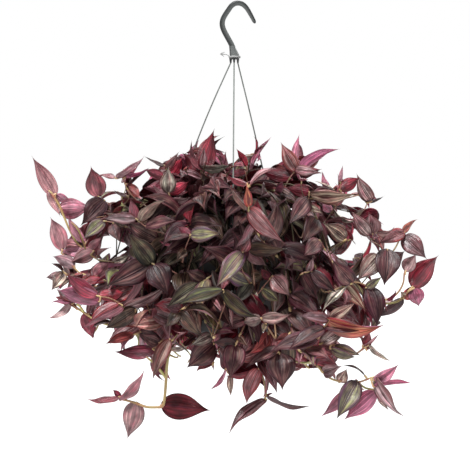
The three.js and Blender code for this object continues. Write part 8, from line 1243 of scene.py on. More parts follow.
     [[253, -332, -3080, 210, 272, -366, -2800, 205, 231, -648, -2712, 200, 217, -945, -2723, 195, 304, -1171, -2890, 190, 422, -1335, -3112, 185, 539, -1492, -3339, 180, 579, -1600, -3438, 175, 485, -1733, -3354, 166, 389, -1861, -3265, 158, 284, -1952, -3146, 149, 196, -2013, -2998, 141, 143, -2052, -2828, 132, 122, -2062, -2646, 124, 121, -2040, -2465, 115]],
     [[134, -2057, -2749, 107, -2177, -2456, 40, -86, -32, 133, 50, 340, "or", "pm", 0],
      [137, -2055, -2774, -90, -2195, -2506, -75, 58, -33, 159, 50, 170, "mm", "gd", 0],
      [137, -2055, -2776, 586, -2255, -3208, -55, -82, -19, 275, 80, 170, "mm", "mr", 0],
      [121, -2040, -2465, -127, -2160, -2357, -54, 73, -42, 124, 80, 340, "cr", "cr", 0],
      [146, -2040, -2488, 519, -2140, -2261, -49, -39, 78, 180, 120, 170, "mb", "mb", 0],
      [180, -2025, -2945, -53, -2225, -3269, 50, 53, -69, 187, 60, 170, "dk", "dk", 0],
      [299, -1159, -2882, 584, -1387, -3084, -20, -78, 59, 195, 125, 195, "ng", "ng", 1],
      [242, -1981, -3076, 239, -1987, -2626, -34, -94, -2, 222, 53, 173, "dm", "dk", 1],
      [548, -1518, -3363, 690, -1820, -3615, -24, -69, 69, 181, 111, 168, "dk", "ng", 1],
      [493, -1430, -3251, 1027, -1405, -3457, 26, -78, 57, 288, 86, 157, "nk", "dk", 1],
      [423, -1335, -3113, 504, -1738, -3298, 69, -18, 70, 232, 74, 146, "dk", "dm", 1],
      [321, -1919, -3189, 479, -1756, -2655, 33, -93, 18, 271, 89, 106, "dk", "nk", 1],
      [271, -363, -2826, 406, -250, -2490, 63, -78, 1, 164, 130, 215, "nk", "dk", 1],
      [548, -1518, -3363, 577, -2085, -3540, 62, -21, 76, 281, 117, 216, "nk", "dm", 1],
      [271, -363, -2826, 529, -214, -2465, -53, -58, 62, 207, 48, 107, "nk", "dk", 2],
      [480, -1738, -3350, 263, -1725, -2983, 45, -85, 29, 206, 116, 157, "dk", "dm", 1],
      [321, -1919, -3189, 85, -1665, -2844, 54, -46, 71, 239, 77, 129, "dm", "ng", 1]]),
    ("shoot_front_grey",
     [[-584, -491, -3080, 210, -616, -575, -2822, 204, -729, -852, -2789, 198, -755, -1112, -2935, 192, -743, -1331, -3146, 187, -717, -1547, -3358, 181, -695, -1680, -3437, 175, -658, -1757, -3267, 145, -591, -1810, -3097, 115],
      [-717, -1547, -3358, 150, -714, -1354, -3195, 127, -792, -1285, -3059, 105]],
     [[-591, -1810, -3097, -178, -1930, -3072, -28, -96, -2, 213, 80, 170, "gd", "pm", 0],
      [-597, -1805, -3112, -964, -1885, -3209, -11, -53, 84, 163, 80, 170, "dk", "dk", 0],
      [-591, -1810, -3097, -767, -1810, -2984, 0, 100, 0, 113, 80, 340, "mm", "mr", 0],
      [-659, -1755, -3272, -778, -1855, -3434, 26, -90, 36, 151, 80, 340, "db", "mv", 0],
      [-785, -1291, -3071, -895, -1211, -2786, -19, -96, 20, 96, 127, 340, "dk", "dm", 1],
      [-714, -1354, -3195, -1013, -1443, -3170, -10, 7, -99, 145, 107, 153, "dk", "mr", 1],
      [-735, -920, -2827, -905, -1298, -3147, -43, -47, 78, 236, 73, 189, "db", "dm", 1],
      [-631, -611, -2817, -356, -1021, -2908, -77, -58, 27, 219, 106, 139, "nk", "ng", 2]]),
    ("shoot_right_upper",
     [[54, 150, -3080, 210, 95, 142, -2818, 206, 329, 45, -2644, 201, 583, -62, -2508, 197, 859, -175, -2441, 192, 1053, -251, -2644, 188, 1147, -286, -2935, 184, 1225, -309, -3232, 179, 1292, -320, -3377, 175, 1403, -304, -3198, 160, 1534, -282, -3036, 145, 1646, -264, -2859, 130, 1737, -250, -2669, 115]],
     [[1792, -250, -2644, 1585, -350, -2275, 10, -97, -23, 197, 50, 170, "mg", "pm", 0],
      [1710, -250, -2656, 1965, -250, -2580, 29, -40, -87, 113, 50, 170, "dk", "dk", 0],
      [1441, -297, -3151, 1113, -437, -2925, 27, -94, -19, 240, 100, 170, "bg", "pu", 0],
      [1417, -301, -3180, 1273, -421, -3376, 26, -90, 36, 173, 60, 170, "md", "ml", 0],
      [1093, -266, -2768, 1266, -84, -3161, 91, 5, 42, 242, 120, 177, "mr", "mr", 2],
      [94, 142, -2821, 186, 582, -2571, 93, 1, -37, 244, 84, 185, "db", "dk", 2],
      [600, -68, -2505, 932, -506, -2428, 11, 25, 96, 248, 124, 170, "ng", "dm", 1],
      [336, 42, -2640, 691, -114, -2680, 4, -15, 99, 196, 97, 214, "ng", "nk", 2],
      [770, -138, -2463, 1203, 120, -2617, -7, 60, 80, 274, 121, 146, "db", "mm", 1],
      [1577, -275, -2968, 1863, 42, -3115, 65, -25, 72, 230, 121, 199, "gs", "mv", 1],
      [770, -138, -2463, 859, -700, -2343, 58, 26, 77, 292, 63, 182, "db", "dk", 1],
      [1593, -275, -2949, 1883, -622, -2796, 73, 63, 27, 254, 140, 112, "ms", "dm", 1],
      [94, 142, -2821, 57, 505, -2567, 77, -31, 56, 197, 136, 106, "dm", "dk", 2]]),
    ("shoot_top_right_front",
     [[-117, -291, -3080, 210, -97, -292, -2792, 205, 50, -506, -2635, 200, 217, -742, -2540, 195, 410, -970, -2545, 190, 579, -1099, -2760, 185, 725, -1182, -3014, 180, 820, -1220, -3136, 175, 857, -1178, -2938, 155, 896, -1138, -2741, 135, 927, -1100, -2542, 115],
      [896, -1138, -2741, 135, 819, -1168, -2504, 118, 821, -1192, -2390, 100]],
     [[928, -1105, -2566, 1536, -1225, -2556, -14, -63, -77, 274, 50, 170, "bg", "ml", 0],
      [927, -1100, -2544, 619, -1040, -2476, 18, 98, -4, 181, 80, 170, "dm", "dm", 0],
      [915, -1115, -2620, 637, -1335, -2982, 26, -90, 34, 245, 80, 170, "md", "mr", 0],
      [898, -1135, -2725, 1115, -1215, -2827, -29, -95, 13, 116, 60, 340, "bg", "mv", 0],
      [426, -982, -2565, 695, -1062, -2905, 20, -91, 37, 202, 70, 123, "dk", "ng", 1],
      [618, -1121, -2828, 484, -1373, -3195, 64, -72, 26, 203, 44, 151, "db", "ng", 1],
      [521, -1055, -2686, 585, -1412, -2970, 10, -61, 79, 189, 83, 208, "gd", "nk", 1],
      [-37, -379, -2729, 144, -794, -2500, -88, -46, -13, 211, 136, 111, "db", "ng", 1],
      [521, -1055, -2686, 446, -1633, -2856, -15, -26, 95, 283, 73, 209, "nk", "dk", 1],
      [821, -1190, -2400, 782, -1584, -2382, 42, 0, 91, 182, 53, 162, "mr", "pu", 1]]),
    ("shoot_left_center",
     [[81, -395, -3080, 210, -7, -482, -2832, 204, -203, -714, -2722, 198, -406, -958, -2661, 192, -596, -1198, -2727, 187, -689, -1356, -2991, 181, -766, -1420, -3135, 175, -954, -1380, -3073, 155, -1141, -1333, -3013, 135, -1295, -1290, -2892, 115],
      [-766, -1420, -3135, 160, -957, -1166, -3169, 150, -1146, -920, -3136, 140, -1292, -884, -3064, 160, -1439, -849, -2995, 145, -1593, -812, -2941, 130, -1754, -780, -2914, 115],
      [-1593, -812, -2941, 135, -1530, -891, -2791, 123, -1408, -1000, -2613, 112, -1425, -1050, -2506, 100]],
     [[-1295, -1290, -2892, -1736, -1390, -2893, 18, -79, 59, 190, 60, 170, "mq", "rm", 0],
      [-1295, -1290, -2892, -1370, -1330, -2624, -4, 99, 14, 141, 60, 340, "gb", "mm", 0],
      [-1251, -1302, -2927, -903, -1502, -2640, -31, 56, 77, 207, 60, 170, "gb", "gs", 0],
      [-1179, -1322, -2983, -749, -1562, -2920, -47, -70, 54, 209, 60, 170, "md", "mv", 0],
      [-1752, -780, -2914, -2015, -940, -3162, 29, -91, 28, 196, 80, 170, "gd", "rm", 0],
      [-1623, -801, -2949, -1516, -941, -3205, -17, -90, 40, 192, 80, 170, "md", "mb", 0],
      [-1476, -840, -2982, -1720, -1080, -2800, 64, -76, -14, 163, 50, 170, "gs", "rm", 0],
      [-1028, -1074, -3156, -1450, -976, -2898, -26, -96, -6, 247, 127, 154, "dk", "dm", 1],
      [-131, -630, -2762, -211, -1075, -2923, 35, -37, 86, 234, 138, 147, "dm", "dk", 1],
      [-862, -1293, -3152, -1182, -918, -3546, -86, -30, 42, 288, 138, 128, "db", "dk", 1],
      [-1529, -891, -2790, -1452, -1388, -2704, -71, 1, 70, 262, 50, 129, "go", "cr", 1]]),
    ("shoot_top_left_front",
     [[-129, -594, -3080, 210, -144, -634, -2836, 201, -283, -858, -2736, 192, -436, -1089, -2729, 184, -542, -1200, -3110, 175, -639, -1177, -2973, 160, -734, -1143, -2837, 145, -819, -1094, -2699, 130, -894, -1050, -2554, 115]],
     [[-894, -1050, -2554, -891, -1150, -2208, 0, -96, -28, 220, 60, 170, "gg", "mr", 0],
      [-891, -1052, -2559, -620, -1152, -2402, 26, 95, 15, 168, 100, 340, "mr", "rd", 0],
      [-894, -1050, -2554, -1110, -1130, -2440, -54, 57, -62, 108, 60, 340, "gs", "mq", 0],
      [-846, -1078, -2647, -592, -1238, -2609, -34, -69, -64, 127, 60, 170, "mg", "pu", 0],
      [-823, -1091, -2691, -1208, -966, -2986, -44, -88, 20, 249, 130, 209, "nk", "ng", 1],
      [-736, -1142, -2834, -1238, -1189, -2592, 39, -62, 68, 254, 100, 198, "md", "dm", 1]]),
    ("shoot_right_top",
     [[403, -226, -3080, 210, 464, -269, -2819, 203, 634, -342, -2603, 196, 841, -439, -2442, 189, 958, -535, -2657, 182, 1052, -620, -3058, 175, 1163, -579, -2905, 160, 1276, -537, -2755, 145, 1361, -501, -2586, 130, 1363, -480, -2395, 115],
      [841, -439, -2442, 160, 1201, -319, -2809, 150, 1339, -200, -2923, 140, 1305, -182, -2703, 145, 1234, -160, -2493, 115]],
     [[1348, -480, -2400, 1386, -500, -2166, -75, 66, 9, 97, -80, 340, "mv", "mv", 0],
      [1346, -494, -2499, 1612, -594, -2335, 27, 93, 26, 192, 100, 340, "cr", "cr", 0],
      [1271, -527, -2749, 1572, -647, -2919, -40, -39, -83, 202, 160, 170, "gl", "gl", 0],
      [1256, -544, -2782, 1104, -644, -2689, -42, 87, 25, 132, 60, 340, "mm", "pk", 0],
      [1242, -160, -2507, 1132, -160, -2235, -58, 78, -24, 131, 50, 340, "mv", "pk", 0],
      [1299, -166, -2496, 1010, -166, -2366, 48, -40, 78, 71, 50, 170, "gl", "gl", 0],
      [989, -563, -2790, 1167, -406, -3121, 88, 0, 47, 168, 42, 125, "db", "mv", 2],
      [1022, -592, -2927, 932, -959, -3141, 78, -45, 44, 209, 74, 138, "db", "mr", 2],
      [993, -389, -2596, 1330, 39, -2813, 80, -40, 45, 265, 111, 171, "md", "dm", 1],
      [1293, -240, -2885, 1580, 159, -3032, 65, -19, 74, 210, 56, 122, "mr", "mv", 1],
      [1287, -182, -2695, 1349, 19, -2389, 85, -52, 6, 216, 85, 179, "rm", "pu", 1],
      [447, -257, -2891, 756, -80, -2748, 20, -80, 57, 176, 98, 137, "ng", "ng", 2],
      [1145, -580, -2927, 1654, -493, -3090, 18, 31, 93, 216, 128, 150, "ms", "mm", 1],
      [1022, -592, -2927, 1099, -537, -3415, 91, -39, 10, 200, 78, 126, "db", "mm", 1],
      [597, -326, -2651, 1029, -290, -2473, -24, -66, 71, 213, 84, 217, "ms", "pm", 2],
      [1251, -165, -2545, 1449, 186, -2471, 81, -51, 28, 193, 81, 122, "rm", "mr", 1]]),
    ("shoot_upper_left_tip",
     [[-552, 16, -3080, 210, -605, -60, -2854, 201, -738, -279, -2764, 192, -875, -509, -2713, 184, -958, -720, -2927, 175, -1089, -675, -2809, 163, -1226, -624, -2702, 151, -1366, -568, -2604, 139, -1470, -537, -2459, 127, -1534, -520, -2291, 115],
      [-605, -60, -2854, 160, -861, -160, -2741, 150, -1179, -200, -2655, 140, -1353, -188, -2621, 160, -1525, -171, -2637, 145, -1696, -153, -2673, 130, -1866, -140, -2627, 115]],
     [[-1600, -526, -2350, -1227, -586, -2053, -47, 64, 61, 184, -140, 340, "gs", "mg", 0],
      [-1480, -533, -2332, -1157, -653, -2198, -37, 38, 85, 177, -120, 170, "rp", "rp", 0],
      [-1466, -542, -2477, -1193, -622, -2263, 32, -39, -86, 85, -120, 170, "dk", "dk", 0],
      [-1611, -525, -2347, -1898, -445, -2329, 1, -48, 88, 135, 100, 170, "ms", "ms", 0],
      [-1499, -520, -2321, -1496, -520, -2223, -85, 53, 0, 52, 50, 340, "mv", "mv", 0],
      [-1465, -539, -2422, -1285, -679, -2609, 44, 84, -32, 157, 100, 340, "ms", "rb", 0],
      [-1864, -140, -2586, -1963, -240, -2174, -3, 97, 24, 287, 100, 170, "mr", "mm", 0],
      [-1785, -148, -2628, -2094, -308, -2973, 27, -93, 26, 323, 100, 170, "nk", "mr", 0],
      [-1473, -176, -2577, -1648, -226, -2496, 52, -40, 76, 105, -150, 340, "dk", "dk", 0],
      [-842, -453, -2725, -1260, -553, -2952, -21, -69, 69, 218, 130, 118, "dk", "dk", 2],
      [-900, -571, -2776, -689, -937, -3122, -70, -66, 27, 273, 112, 167, "ng", "dm", 2],
      [-980, -175, -2709, -1315, -574, -2760, -62, 44, 65, 248, 65, 105, "dm", "dm", 1],
      [-1241, -612, -2682, -1643, -535, -2706, 3, 0, 100, 180, 78, 188, "db", "dm", 1],
      [-1272, -194, -2637, -1709, -267, -2691, -13, 5, 99, 195, 52, 123, "nk", "mm", 1],
      [-604, -59, -2857, -833, -399, -2905, -66, 35, 67, 185, 40, 195, "dk", "dk", 2],
      [-707, -100, -2809, -1222, -44, -2968, -31, -24, 92, 217, 113, 152, "ng", "ng", 2],
      [-604, -59, -2857, -727, -391, -2798, -69, 37, 62, 179, 129, 144, "dk", "nk", 2]]),
    ("shoot_top_right_tuft",
     [[336, -351, -3080, 210, 360, -351, -2805, 201, 640, -416, -2746, 192, 649, -615, -2861, 184, 563, -720, -2927, 175, 596, -674, -2746, 160, 600, -633, -2562, 145, 659, -586, -2392, 130, 765, -550, -2239, 115]],
     [[779, -550, -2253, 570, -630, -1873, 10, -98, -17, 214, 50, 170, "mb", "mv", 0],
      [731, -550, -2248, 823, -490, -1754, -75, 66, -4, 205, 50, 170, "md", "pk", 0],
      [815, -550, -2286, 1349, -570, -1951, -40, 65, 65, 258, 80, 340, "mr", "rp", 0],
      [762, -550, -2227, 1130, -710, -2288, -43, -90, 8, 152, 160, 170, "ms", "mb", 0],
      [694, -574, -2342, 264, -474, -2236, 15, 95, -29, 190, 100, 170, "dm", "dm", 0],
      [354, -351, -2871, 467, -727, -2639, 70, 51, 49, 188, 104, 211, "gd", "dk", 2],
      [645, -535, -2814, 427, -975, -2829, 70, -36, 62, 225, 71, 153, "ng", "dm", 2],
      [620, -617, -2504, 1044, -684, -2507, 1, -1, 100, 192, 101, 187, "mm", "mb", 1],
      [447, -371, -2786, 649, -605, -2952, 76, 21, 62, 159, 118, 117, "nk", "dm", 2],
      [447, -371, -2786, 759, -537, -2893, 34, 4, 94, 152, 81, 172, "nk", "nk", 2],
      [354, -351, -2871, 379, -683, -2771, 99, 11, 13, 169, 85, 201, "dk", "dm", 2]]),
    ("shoot_top_center",
     [[72, -140, -3080, 210, 48, -232, -2930, 192, 158, -500, -2899, 175, 152, -470, -2712, 160, 145, -440, -2525, 145, 134, -404, -2340, 130, 119, -380, -2153, 115],
      [158, -500, -2899, 160, -28, -176, -2813, 150, -162, 100, -2623, 140, -150, 130, -2463, 155, -155, 157, -2303, 135, -190, 180, -2145, 115],
      [-150, 130, -2463, 135, -161, 76, -2305, 118, -138, 65, -2225, 100],
      [-155, 157, -2303, 135, -246, 37, -2064, 118, -344, -60, -1997, 100],
      [134, -404, -2340, 135, 172, -538, -2094, 118, 249, -700, -2004, 100],
      [-155, 157, -2303, 135, -66, 48, -2157, 123, 63, -103, -2037, 112, 218, -200, -2017, 100],
      [-150, 130, -2463, 135, -52, 165, -2251, 123, 78, 197, -2049, 112, 222, 199, -2012, 100]],
     [[116, -380, -2196, -24, -510, -1944, 20, 78, 59, 114, 60, 340, "gb", "rd", 0],
      [175, -380, -2247, 453, -420, -1801, -71, 40, 58, 164, 50, 340, "pk", "pk", 0],
      [129, -396, -2273, 316, -516, -2211, -38, -82, -43, 97, 60, 340, "gb", "rm", 0],
      [128, -394, -2259, -187, -314, -2257, 21, 85, -48, 136, 60, 170, "dm", "dm", 0],
      [-190, 180, -2145, -339, 140, -1943, 9, -99, -13, 136, 50, 340, "pk", "mr", 0],
      [-220, 180, -2207, -157, 320, -1949, -13, 84, -52, 160, 50, 340, "md", "mr", 0],
      [28, -274, -2839, 359, -25, -2907, 61, -76, 21, 196, 131, 109, "dk", "nk", 2],
      [-38, -156, -2799, -217, -140, -2474, 86, -15, 48, 153, 97, 171, "db", "nk", 2],
      [-106, -16, -2702, 6, 399, -2651, 42, -22, 88, 181, 99, 136, "db", "ng", 2],
      [-152, 139, -2413, 268, 389, -2034, -58, -22, 79, 262, 113, 168, "dk", "ml", 1],
      [143, -433, -2489, 460, -118, -2244, 0, -61, 79, 250, 99, 171, "md", "dk", 1],
      [-160, 105, -2594, -407, -6, -2352, 48, 51, 72, 147, 65, 113, "nk", "nk", 2],
      [-152, 139, -2413, -469, -10, -2066, 25, 79, 56, 212, 66, 132, "mm", "mv", 2],
      [143, -433, -2489, 678, -221, -2564, 39, -87, 30, 239, 120, 170, "dk", "nk", 1],
      [-106, -16, -2702, -408, 38, -2656, 11, -24, 97, 158, 73, 127, "gd", "dk", 2],
      [150, -462, -2664, -59, -468, -2409, 69, -46, 56, 157, 81, 138, "dm", "nk", 2],
      [-160, 105, -2594, -584, 56, -2552, 4, 40, 91, 212, 93, 196, "nk", "nk", 2],
      [-155, 105, -2390, -477, -15, -2034, 71, 16, 69, 216, 128, 145, "dk", "dm", 1],
      [-337, -54, -2001, -732, -134, -1999, -13, 66, 74, 164, 41, 131, "mr", "mb", 1],
      [241, -692, -2028, 356, -933, -1948, -56, -3, 83, 105, 83, 200, "db", "mr", 1],
      [217, -195, -2009, 269, -509, -2128, 87, 11, 47, 91, 86, 340, "pk", "pu", 1],
      [-29, 171, -2214, 267, 468, -2002, -5, -55, 83, 203, 76, 166, "nk", "mm", 1]]),
    ("shoot_top_left_back",
     [[-610, -410, -3080, 210, -608, -416, -2831, 192, -685, -640, -2702, 175, -789, -593, -2550, 155, -880, -550, -2389, 135, -939, -520, -2211, 115],
      [-685, -640, -2702, 160, -559, -617, -2801, 150, -449, -600, -2833, 140, -472, -537, -2629, 155, -478, -490, -2420, 135, -478, -450, -2209, 115],
      [-478, -490, -2420, 135, -434, -623, -2209, 118, -424, -778, -2145, 100]],
     [[-960, -520, -2184, -1238, -520, -2036, 45, -40, 80, 124, -80, 170, "nk", "nk", 0],
      [-949, -520, -2233, -768, -580, -1990, -12, -98, -18, 107, 50, 170, "mm", "ml", 0],
      [-987, -529, -2329, -1228, -589, -2228, -22, 98, 3, 147, 60, 170, "gs", "mr", 0],
      [-902, -539, -2323, -726, -579, -2068, 7, 99, 11, 185, 80, 340, "md", "rd", 0],
      [-845, -566, -2450, -1274, -446, -2474, 27, 96, 1, 237, 100, 170, "mm", "mr", 0],
      [-448, -450, -2227, -616, -530, -1843, -80, 45, -40, 209, 120, 170, "mm", "mm", 0],
      [-478, -450, -2209, -436, -570, -1923, -6, -92, -38, 133, 60, 340, "mv", "mv", 0],
      [-442, -450, -2210, -316, -390, -1686, -25, 97, -6, 275, 80, 340, "cr", "cr", 0],
      [-478, -450, -2209, -67, -590, -2161, -12, -62, -78, 184, 80, 170, "gl", "rm", 0],
      [-485, -455, -2240, -740, -295, -2001, 32, 91, -25, 265, 100, 170, "dm", "dm", 0],
      [-478, -475, -2342, -777, -635, -2255, 52, -72, 46, 147, 60, 170, "ms", "mr", 0],
      [-464, -533, -2352, -262, -937, -2376, -88, -42, -22, 232, 89, 195, "db", "nk", 1]]),
    ("shoot_back_01",
     [[-440, 203, -3080, 200, -426, 264, -2822, 192, -423, 503, -2647, 185, -427, 765, -2507, 178, -443, 1047, -2423, 170, -497, 1270, -2568, 162, -555, 1351, -2846, 155, -610, 1394, -3135, 148, -664, 1421, -3425, 140, -722, 1440, -3716, 133, -783, 1457, -4006, 125, -856, 1483, -4292, 118, -910, 1513, -4432, 110],
      [-497, 1270, -2568, 150, -473, 1373, -2777, 144, -445, 1440, -3021, 139, -413, 1482, -3287, 133, -379, 1508, -3566, 127, -343, 1530, -3847, 122, -308, 1559, -4120, 116, -274, 1605, -4374, 111, -241, 1680, -4598, 105],
      [-427, 765, -2507, 150, -508, 936, -2624, 141, -659, 1096, -2829, 132, -845, 1254, -3055, 123, -1030, 1420, -3230, 114, -1177, 1604, -3285, 105],
      [-1030, 1420, -3230, 135, -1064, 1499, -3052, 123, -1079, 1565, -2813, 112, -1121, 1606, -2766, 100],
      [-379, 1508, -3566, 135, -212, 1271, -3542, 118, -81, 1174, -3517, 100],
      [-856, 1483, -4292, 135, -834, 1350, -4405, 126, -782, 1153, -4508, 118, -752, 994, -4600, 109, -793, 974, -4679, 100],
      [-783, 1457, -4006, 135, -1014, 1422, -3912, 118, -1171, 1449, -3866, 100],
      [-722, 1440, -3716, 135, -666, 1272, -3801, 126, -577, 1028, -3865, 118, -501, 841, -3907, 109, -487, 847, -3930, 100],
      [-722, 1440, -3716, 135, -701, 1230, -3734, 123, -666, 971, -3707, 112, -668, 921, -3716, 100],
      [-379, 1508, -3566, 135, -453, 1638, -3550, 123, -556, 1806, -3482, 112, -626, 1960, -3485, 100],
      [-856, 1483, -4292, 135, -799, 1353, -4420, 128, -696, 1147, -4537, 121, -586, 942, -4645, 114, -508, 816, -4744, 107, -502, 844, -4837, 100],
      [-274, 1605, -4374, 135, -207, 1465, -4526, 123, -129, 1282, -4663, 112, -80, 1259, -4678, 100],
      [-783, 1457, -4006, 135, -946, 1459, -3995, 123, -1142, 1464, -3936, 112, -1267, 1535, -3934, 100],
      [-845, 1254, -3055, 135, -1040, 1238, -2888, 118, -1192, 1292, -2727, 100],
      [-274, 1605, -4374, 135, -397, 1491, -4470, 123, -564, 1335, -4543, 112, -684, 1286, -4656, 100],
      [-856, 1483, -4292, 135, -950, 1400, -4443, 126, -1062, 1276, -4607, 118, -1174, 1169, -4710, 109, -1269, 1137, -4679, 100],
      [-856, 1483, -4292, 135, -819, 1290, -4306, 123, -764, 1046, -4275, 112, -807, 968, -4267, 100],
      [-856, 1483, -4292, 135, -788, 1351, -4421, 128, -666, 1142, -4542, 121, -540, 935, -4650, 114, -462, 804, -4744, 107, -484, 826, -4818, 100],
      [-856, 1483, -4292, 135, -782, 1495, -4460, 118, -740, 1557, -4575, 100],
      [-856, 1483, -4292, 135, -812, 1522, -4458, 118, -772, 1569, -4616, 100],
      [-856, 1483, -4292, 135, -851, 1311, -4508, 118, -889, 1234, -4676, 100]],
     [[-905, 1510, -4419, -980, 1644, -4625, -81, 31, 49, 70, 64, 340, "rd", "mr", 1],
      [-851, 1481, -4273, -1127, 1471, -4554, -60, 57, 57, 181, 126, 183, "mg", "mr", 1],
      [-810, 1467, -4113, -648, 1721, -4494, -87, 49, -5, 248, 63, 214, "mr", "rp", 1],
      [-760, 1451, -3900, -1136, 1379, -4207, -43, 84, 32, 225, 90, 151, "go", "mr", 1],
      [-709, 1436, -3654, -611, 1501, -4094, -33, 94, 7, 200, 57, 158, "md", "mr", 1],
      [-659, 1418, -3397, -960, 1398, -3811, -55, 75, 36, 216, 126, 115, "ms", "mv", 1],
      [-615, 1396, -3162, -398, 1622, -3625, -73, 68, -1, 224, 65, 190, "mq", "dm", 1],
      [-574, 1366, -2946, -941, 1177, -3190, -64, 43, 63, 207, 82, 110, "ms", "rm", 1],
      [-243, 1675, -4583, -156, 1790, -4838, 52, 70, 49, 86, 89, 340, "pm", "mr", 1],
      [-265, 1625, -4433, -410, 1818, -4754, 15, 88, 46, 110, 45, 340, "pm", "mr", 1],
      [-289, 1584, -4258, -8, 1666, -4583, 14, 93, 35, 196, 118, 171, "mg", "mr", 1],
      [-312, 1556, -4092, -488, 1559, -4553, -25, 96, 10, 250, 121, 155, "mm", "mb", 1],
      [-335, 1537, -3914, 63, 1575, -4333, 21, 93, 29, 254, 78, 207, "mg", "rp", 1],
      [-363, 1518, -3694, -623, 1468, -4106, -59, 76, 28, 205, 127, 134, "gs", "pu", 1],
      [-390, 1499, -3474, -141, 1510, -4036, 69, 64, 32, 312, 109, 105, "mb", "mr", 1],
      [-1168, 1593, -3281, -1285, 1829, -3410, -9, 44, 89, 129, 65, 203, "ms", "mr", 1],
      [-1067, 1466, -3244, -1505, 1583, -3269, 16, 75, 64, 134, 59, 340, "mr", "pm", 1],
      [-963, 1360, -3167, -977, 1812, -3442, -38, 47, 79, 251, 50, 177, "mm", "pm", 1],
      [-855, 1263, -3064, -1422, 1267, -3256, -25, 59, 77, 278, 120, 123, "mr", "ml", 1],
      [-441, 1012, -2434, -666, 1361, -2608, 30, 58, 76, 198, 63, 176, "mm", "mr", 1],
      [-767, 1187, -2960, -694, 1398, -3420, -34, 88, 35, 244, 76, 186, "mm", "pu", 2],
      [-308, 1559, -4122, -117, 1452, -4522, 25, 96, -13, 210, 45, 130, "ms", "rp", 1],
      [-591, 1024, -2737, -379, 1357, -3000, -21, 68, 70, 203, 130, 218, "rm", "rm", 2],
      [-984, 1378, -3186, -881, 1705, -3450, -33, 65, 68, 224, 129, 171, "gg", "rp", 1],
      [-872, 1492, -4334, -1163, 1790, -4782, -28, 71, 65, 302, 69, 217, "go", "ml", 1],
      [-568, 1361, -2917, -829, 1596, -3195, 2, 77, 64, 191, 97, 102, "mr", "mr", 1],
      [-263, 1630, -4448, -567, 1744, -4870, 6, 97, 22, 215, 102, 133, "dk", "pm", 1],
      [-378, 1508, -3574, -552, 1799, -4016, -11, 81, 58, 249, 93, 217, "dk", "mr", 1],
      [-875, 1281, -3083, -963, 1815, -3118, -93, -13, 33, 282, 40, 213, "db", "pm", 1],
      [-284, 1591, -4299, -580, 1863, -4684, 19, 87, 47, 242, 104, 136, "mm", "rp", 1],
      [-447, 1436, -3005, -637, 1608, -3419, -32, 81, 49, 203, 84, 134, "gs", "mr", 1],
      [-624, 1401, -3213, -459, 1693, -3572, -36, 80, 49, 235, 55, 161, "mm", "pm", 1],
      [-394, 1496, -3441, 50, 1491, -3801, 22, 94, 26, 280, 44, 205, "mm", "pu", 1],
      [-824, 1472, -4168, -668, 1740, -4622, 25, 79, 55, 235, 129, 199, "rb", "rp", 1],
      [-428, 1462, -3162, -160, 1530, -3525, 33, 85, 40, 193, 86, 152, "dk", "mb", 1],
      [-688, 1429, -3548, -643, 1627, -3952, -8, 90, 43, 192, 78, 199, "ms", "mb", 1],
      [-722, 1440, -3717, -941, 1337, -4031, -52, 85, 9, 165, 97, 143, "db", "pu", 1],
      [-465, 845, -2562, -241, 1167, -2919, -7, 76, 64, 218, 110, 207, "md", "mb", 2],
      [-675, 1109, -2849, -1137, 1107, -3106, -4, 100, 6, 259, 132, 131, "md", "ml", 2],
      [-757, 1450, -3884, -499, 1751, -4316, -32, 86, 40, 258, 102, 115, "mr", "pm", 1],
      [-472, 1165, -2500, -328, 1695, -2740, -27, 46, 85, 304, 62, 111, "mg", "ml", 1],
      [-504, 1279, -2601, -821, 1387, -2831, -45, 38, 80, 180, 117, 217, "md", "mr", 1],
      [-533, 1320, -2741, -493, 1698, -3144, -10, 73, 67, 279, 132, 171, "gd", "rm", 1],
      [-1148, 1568, -3274, -937, 1900, -3565, -53, 73, 44, 247, 57, 108, "gs", "pm", 1],
      [-521, 950, -2642, -925, 1065, -2980, 15, 98, 15, 265, 77, 152, "dk", "mv", 2],
      [-595, 1382, -3059, -1050, 1301, -3456, -30, 94, 15, 245, 70, 185, "md", "mr", 1],
      [-1063, 1462, -3242, -1081, 1957, -3324, -48, 12, 87, 225, 139, 106, "md", "mr", 1],
      [-482, 1336, -2701, -674, 1805, -3043, -15, 54, 83, 306, 103, 187, "gs", "mr", 1],
      [-655, 1416, -3375, -345, 1647, -3678, -57, 82, 4, 212, 73, 117, "db", "mm", 1],
      [-1148, 1568, -3274, -1531, 1849, -3479, -18, 41, 90, 253, 111, 111, "mm", "mr", 1],
      [-332, 1539, -3936, 92, 1936, -4216, -34, 76, 56, 280, 46, 156, "go", "mv", 1],
      [-263, 1630, -4448, -50, 1794, -4809, 34, 76, 55, 227, 92, 136, "gs", "ml", 1],
      [-872, 1492, -4334, -1319, 1318, -4592, -56, 59, 58, 258, 60, 165, "mm", "rm", 1],
      [-591, 1024, -2737, -541, 1388, -3110, -6, 72, 69, 270, 87, 128, "mv", "mr", 2],
      [-1063, 1462, -3242, -1557, 1368, -3273, -19, 98, 1, 213, 82, 214, "mg", "mr", 1],
      [-472, 1165, -2500, -815, 1507, -2650, -60, -27, 75, 261, 139, 103, "dk", "ml", 1],
      [-655, 1416, -3375, -1122, 1282, -3723, -51, 76, 40, 250, 47, 126, "dk", "mr", 1],
      [-824, 1472, -4168, -849, 1788, -4489, -16, 70, 70, 214, 140, 215, "mr", "mr", 1],
      [-757, 1450, -3884, -1160, 1537, -4263, -34, 77, 54, 250, 68, 157, "db", "ml", 1],
      [-447, 1436, -3005, -146, 1831, -3184, -37, 60, 71, 236, 138, 211, "gd", "ml", 1],
      [-675, 1109, -2849, -1019, 1040, -3067, -41, 83, 37, 211, 92, 190, "mm", "mv", 2],
      [-308, 1559, -4122, -583, 1608, -4566, -68, 55, 48, 244, 80, 111, "md", "pm", 1],
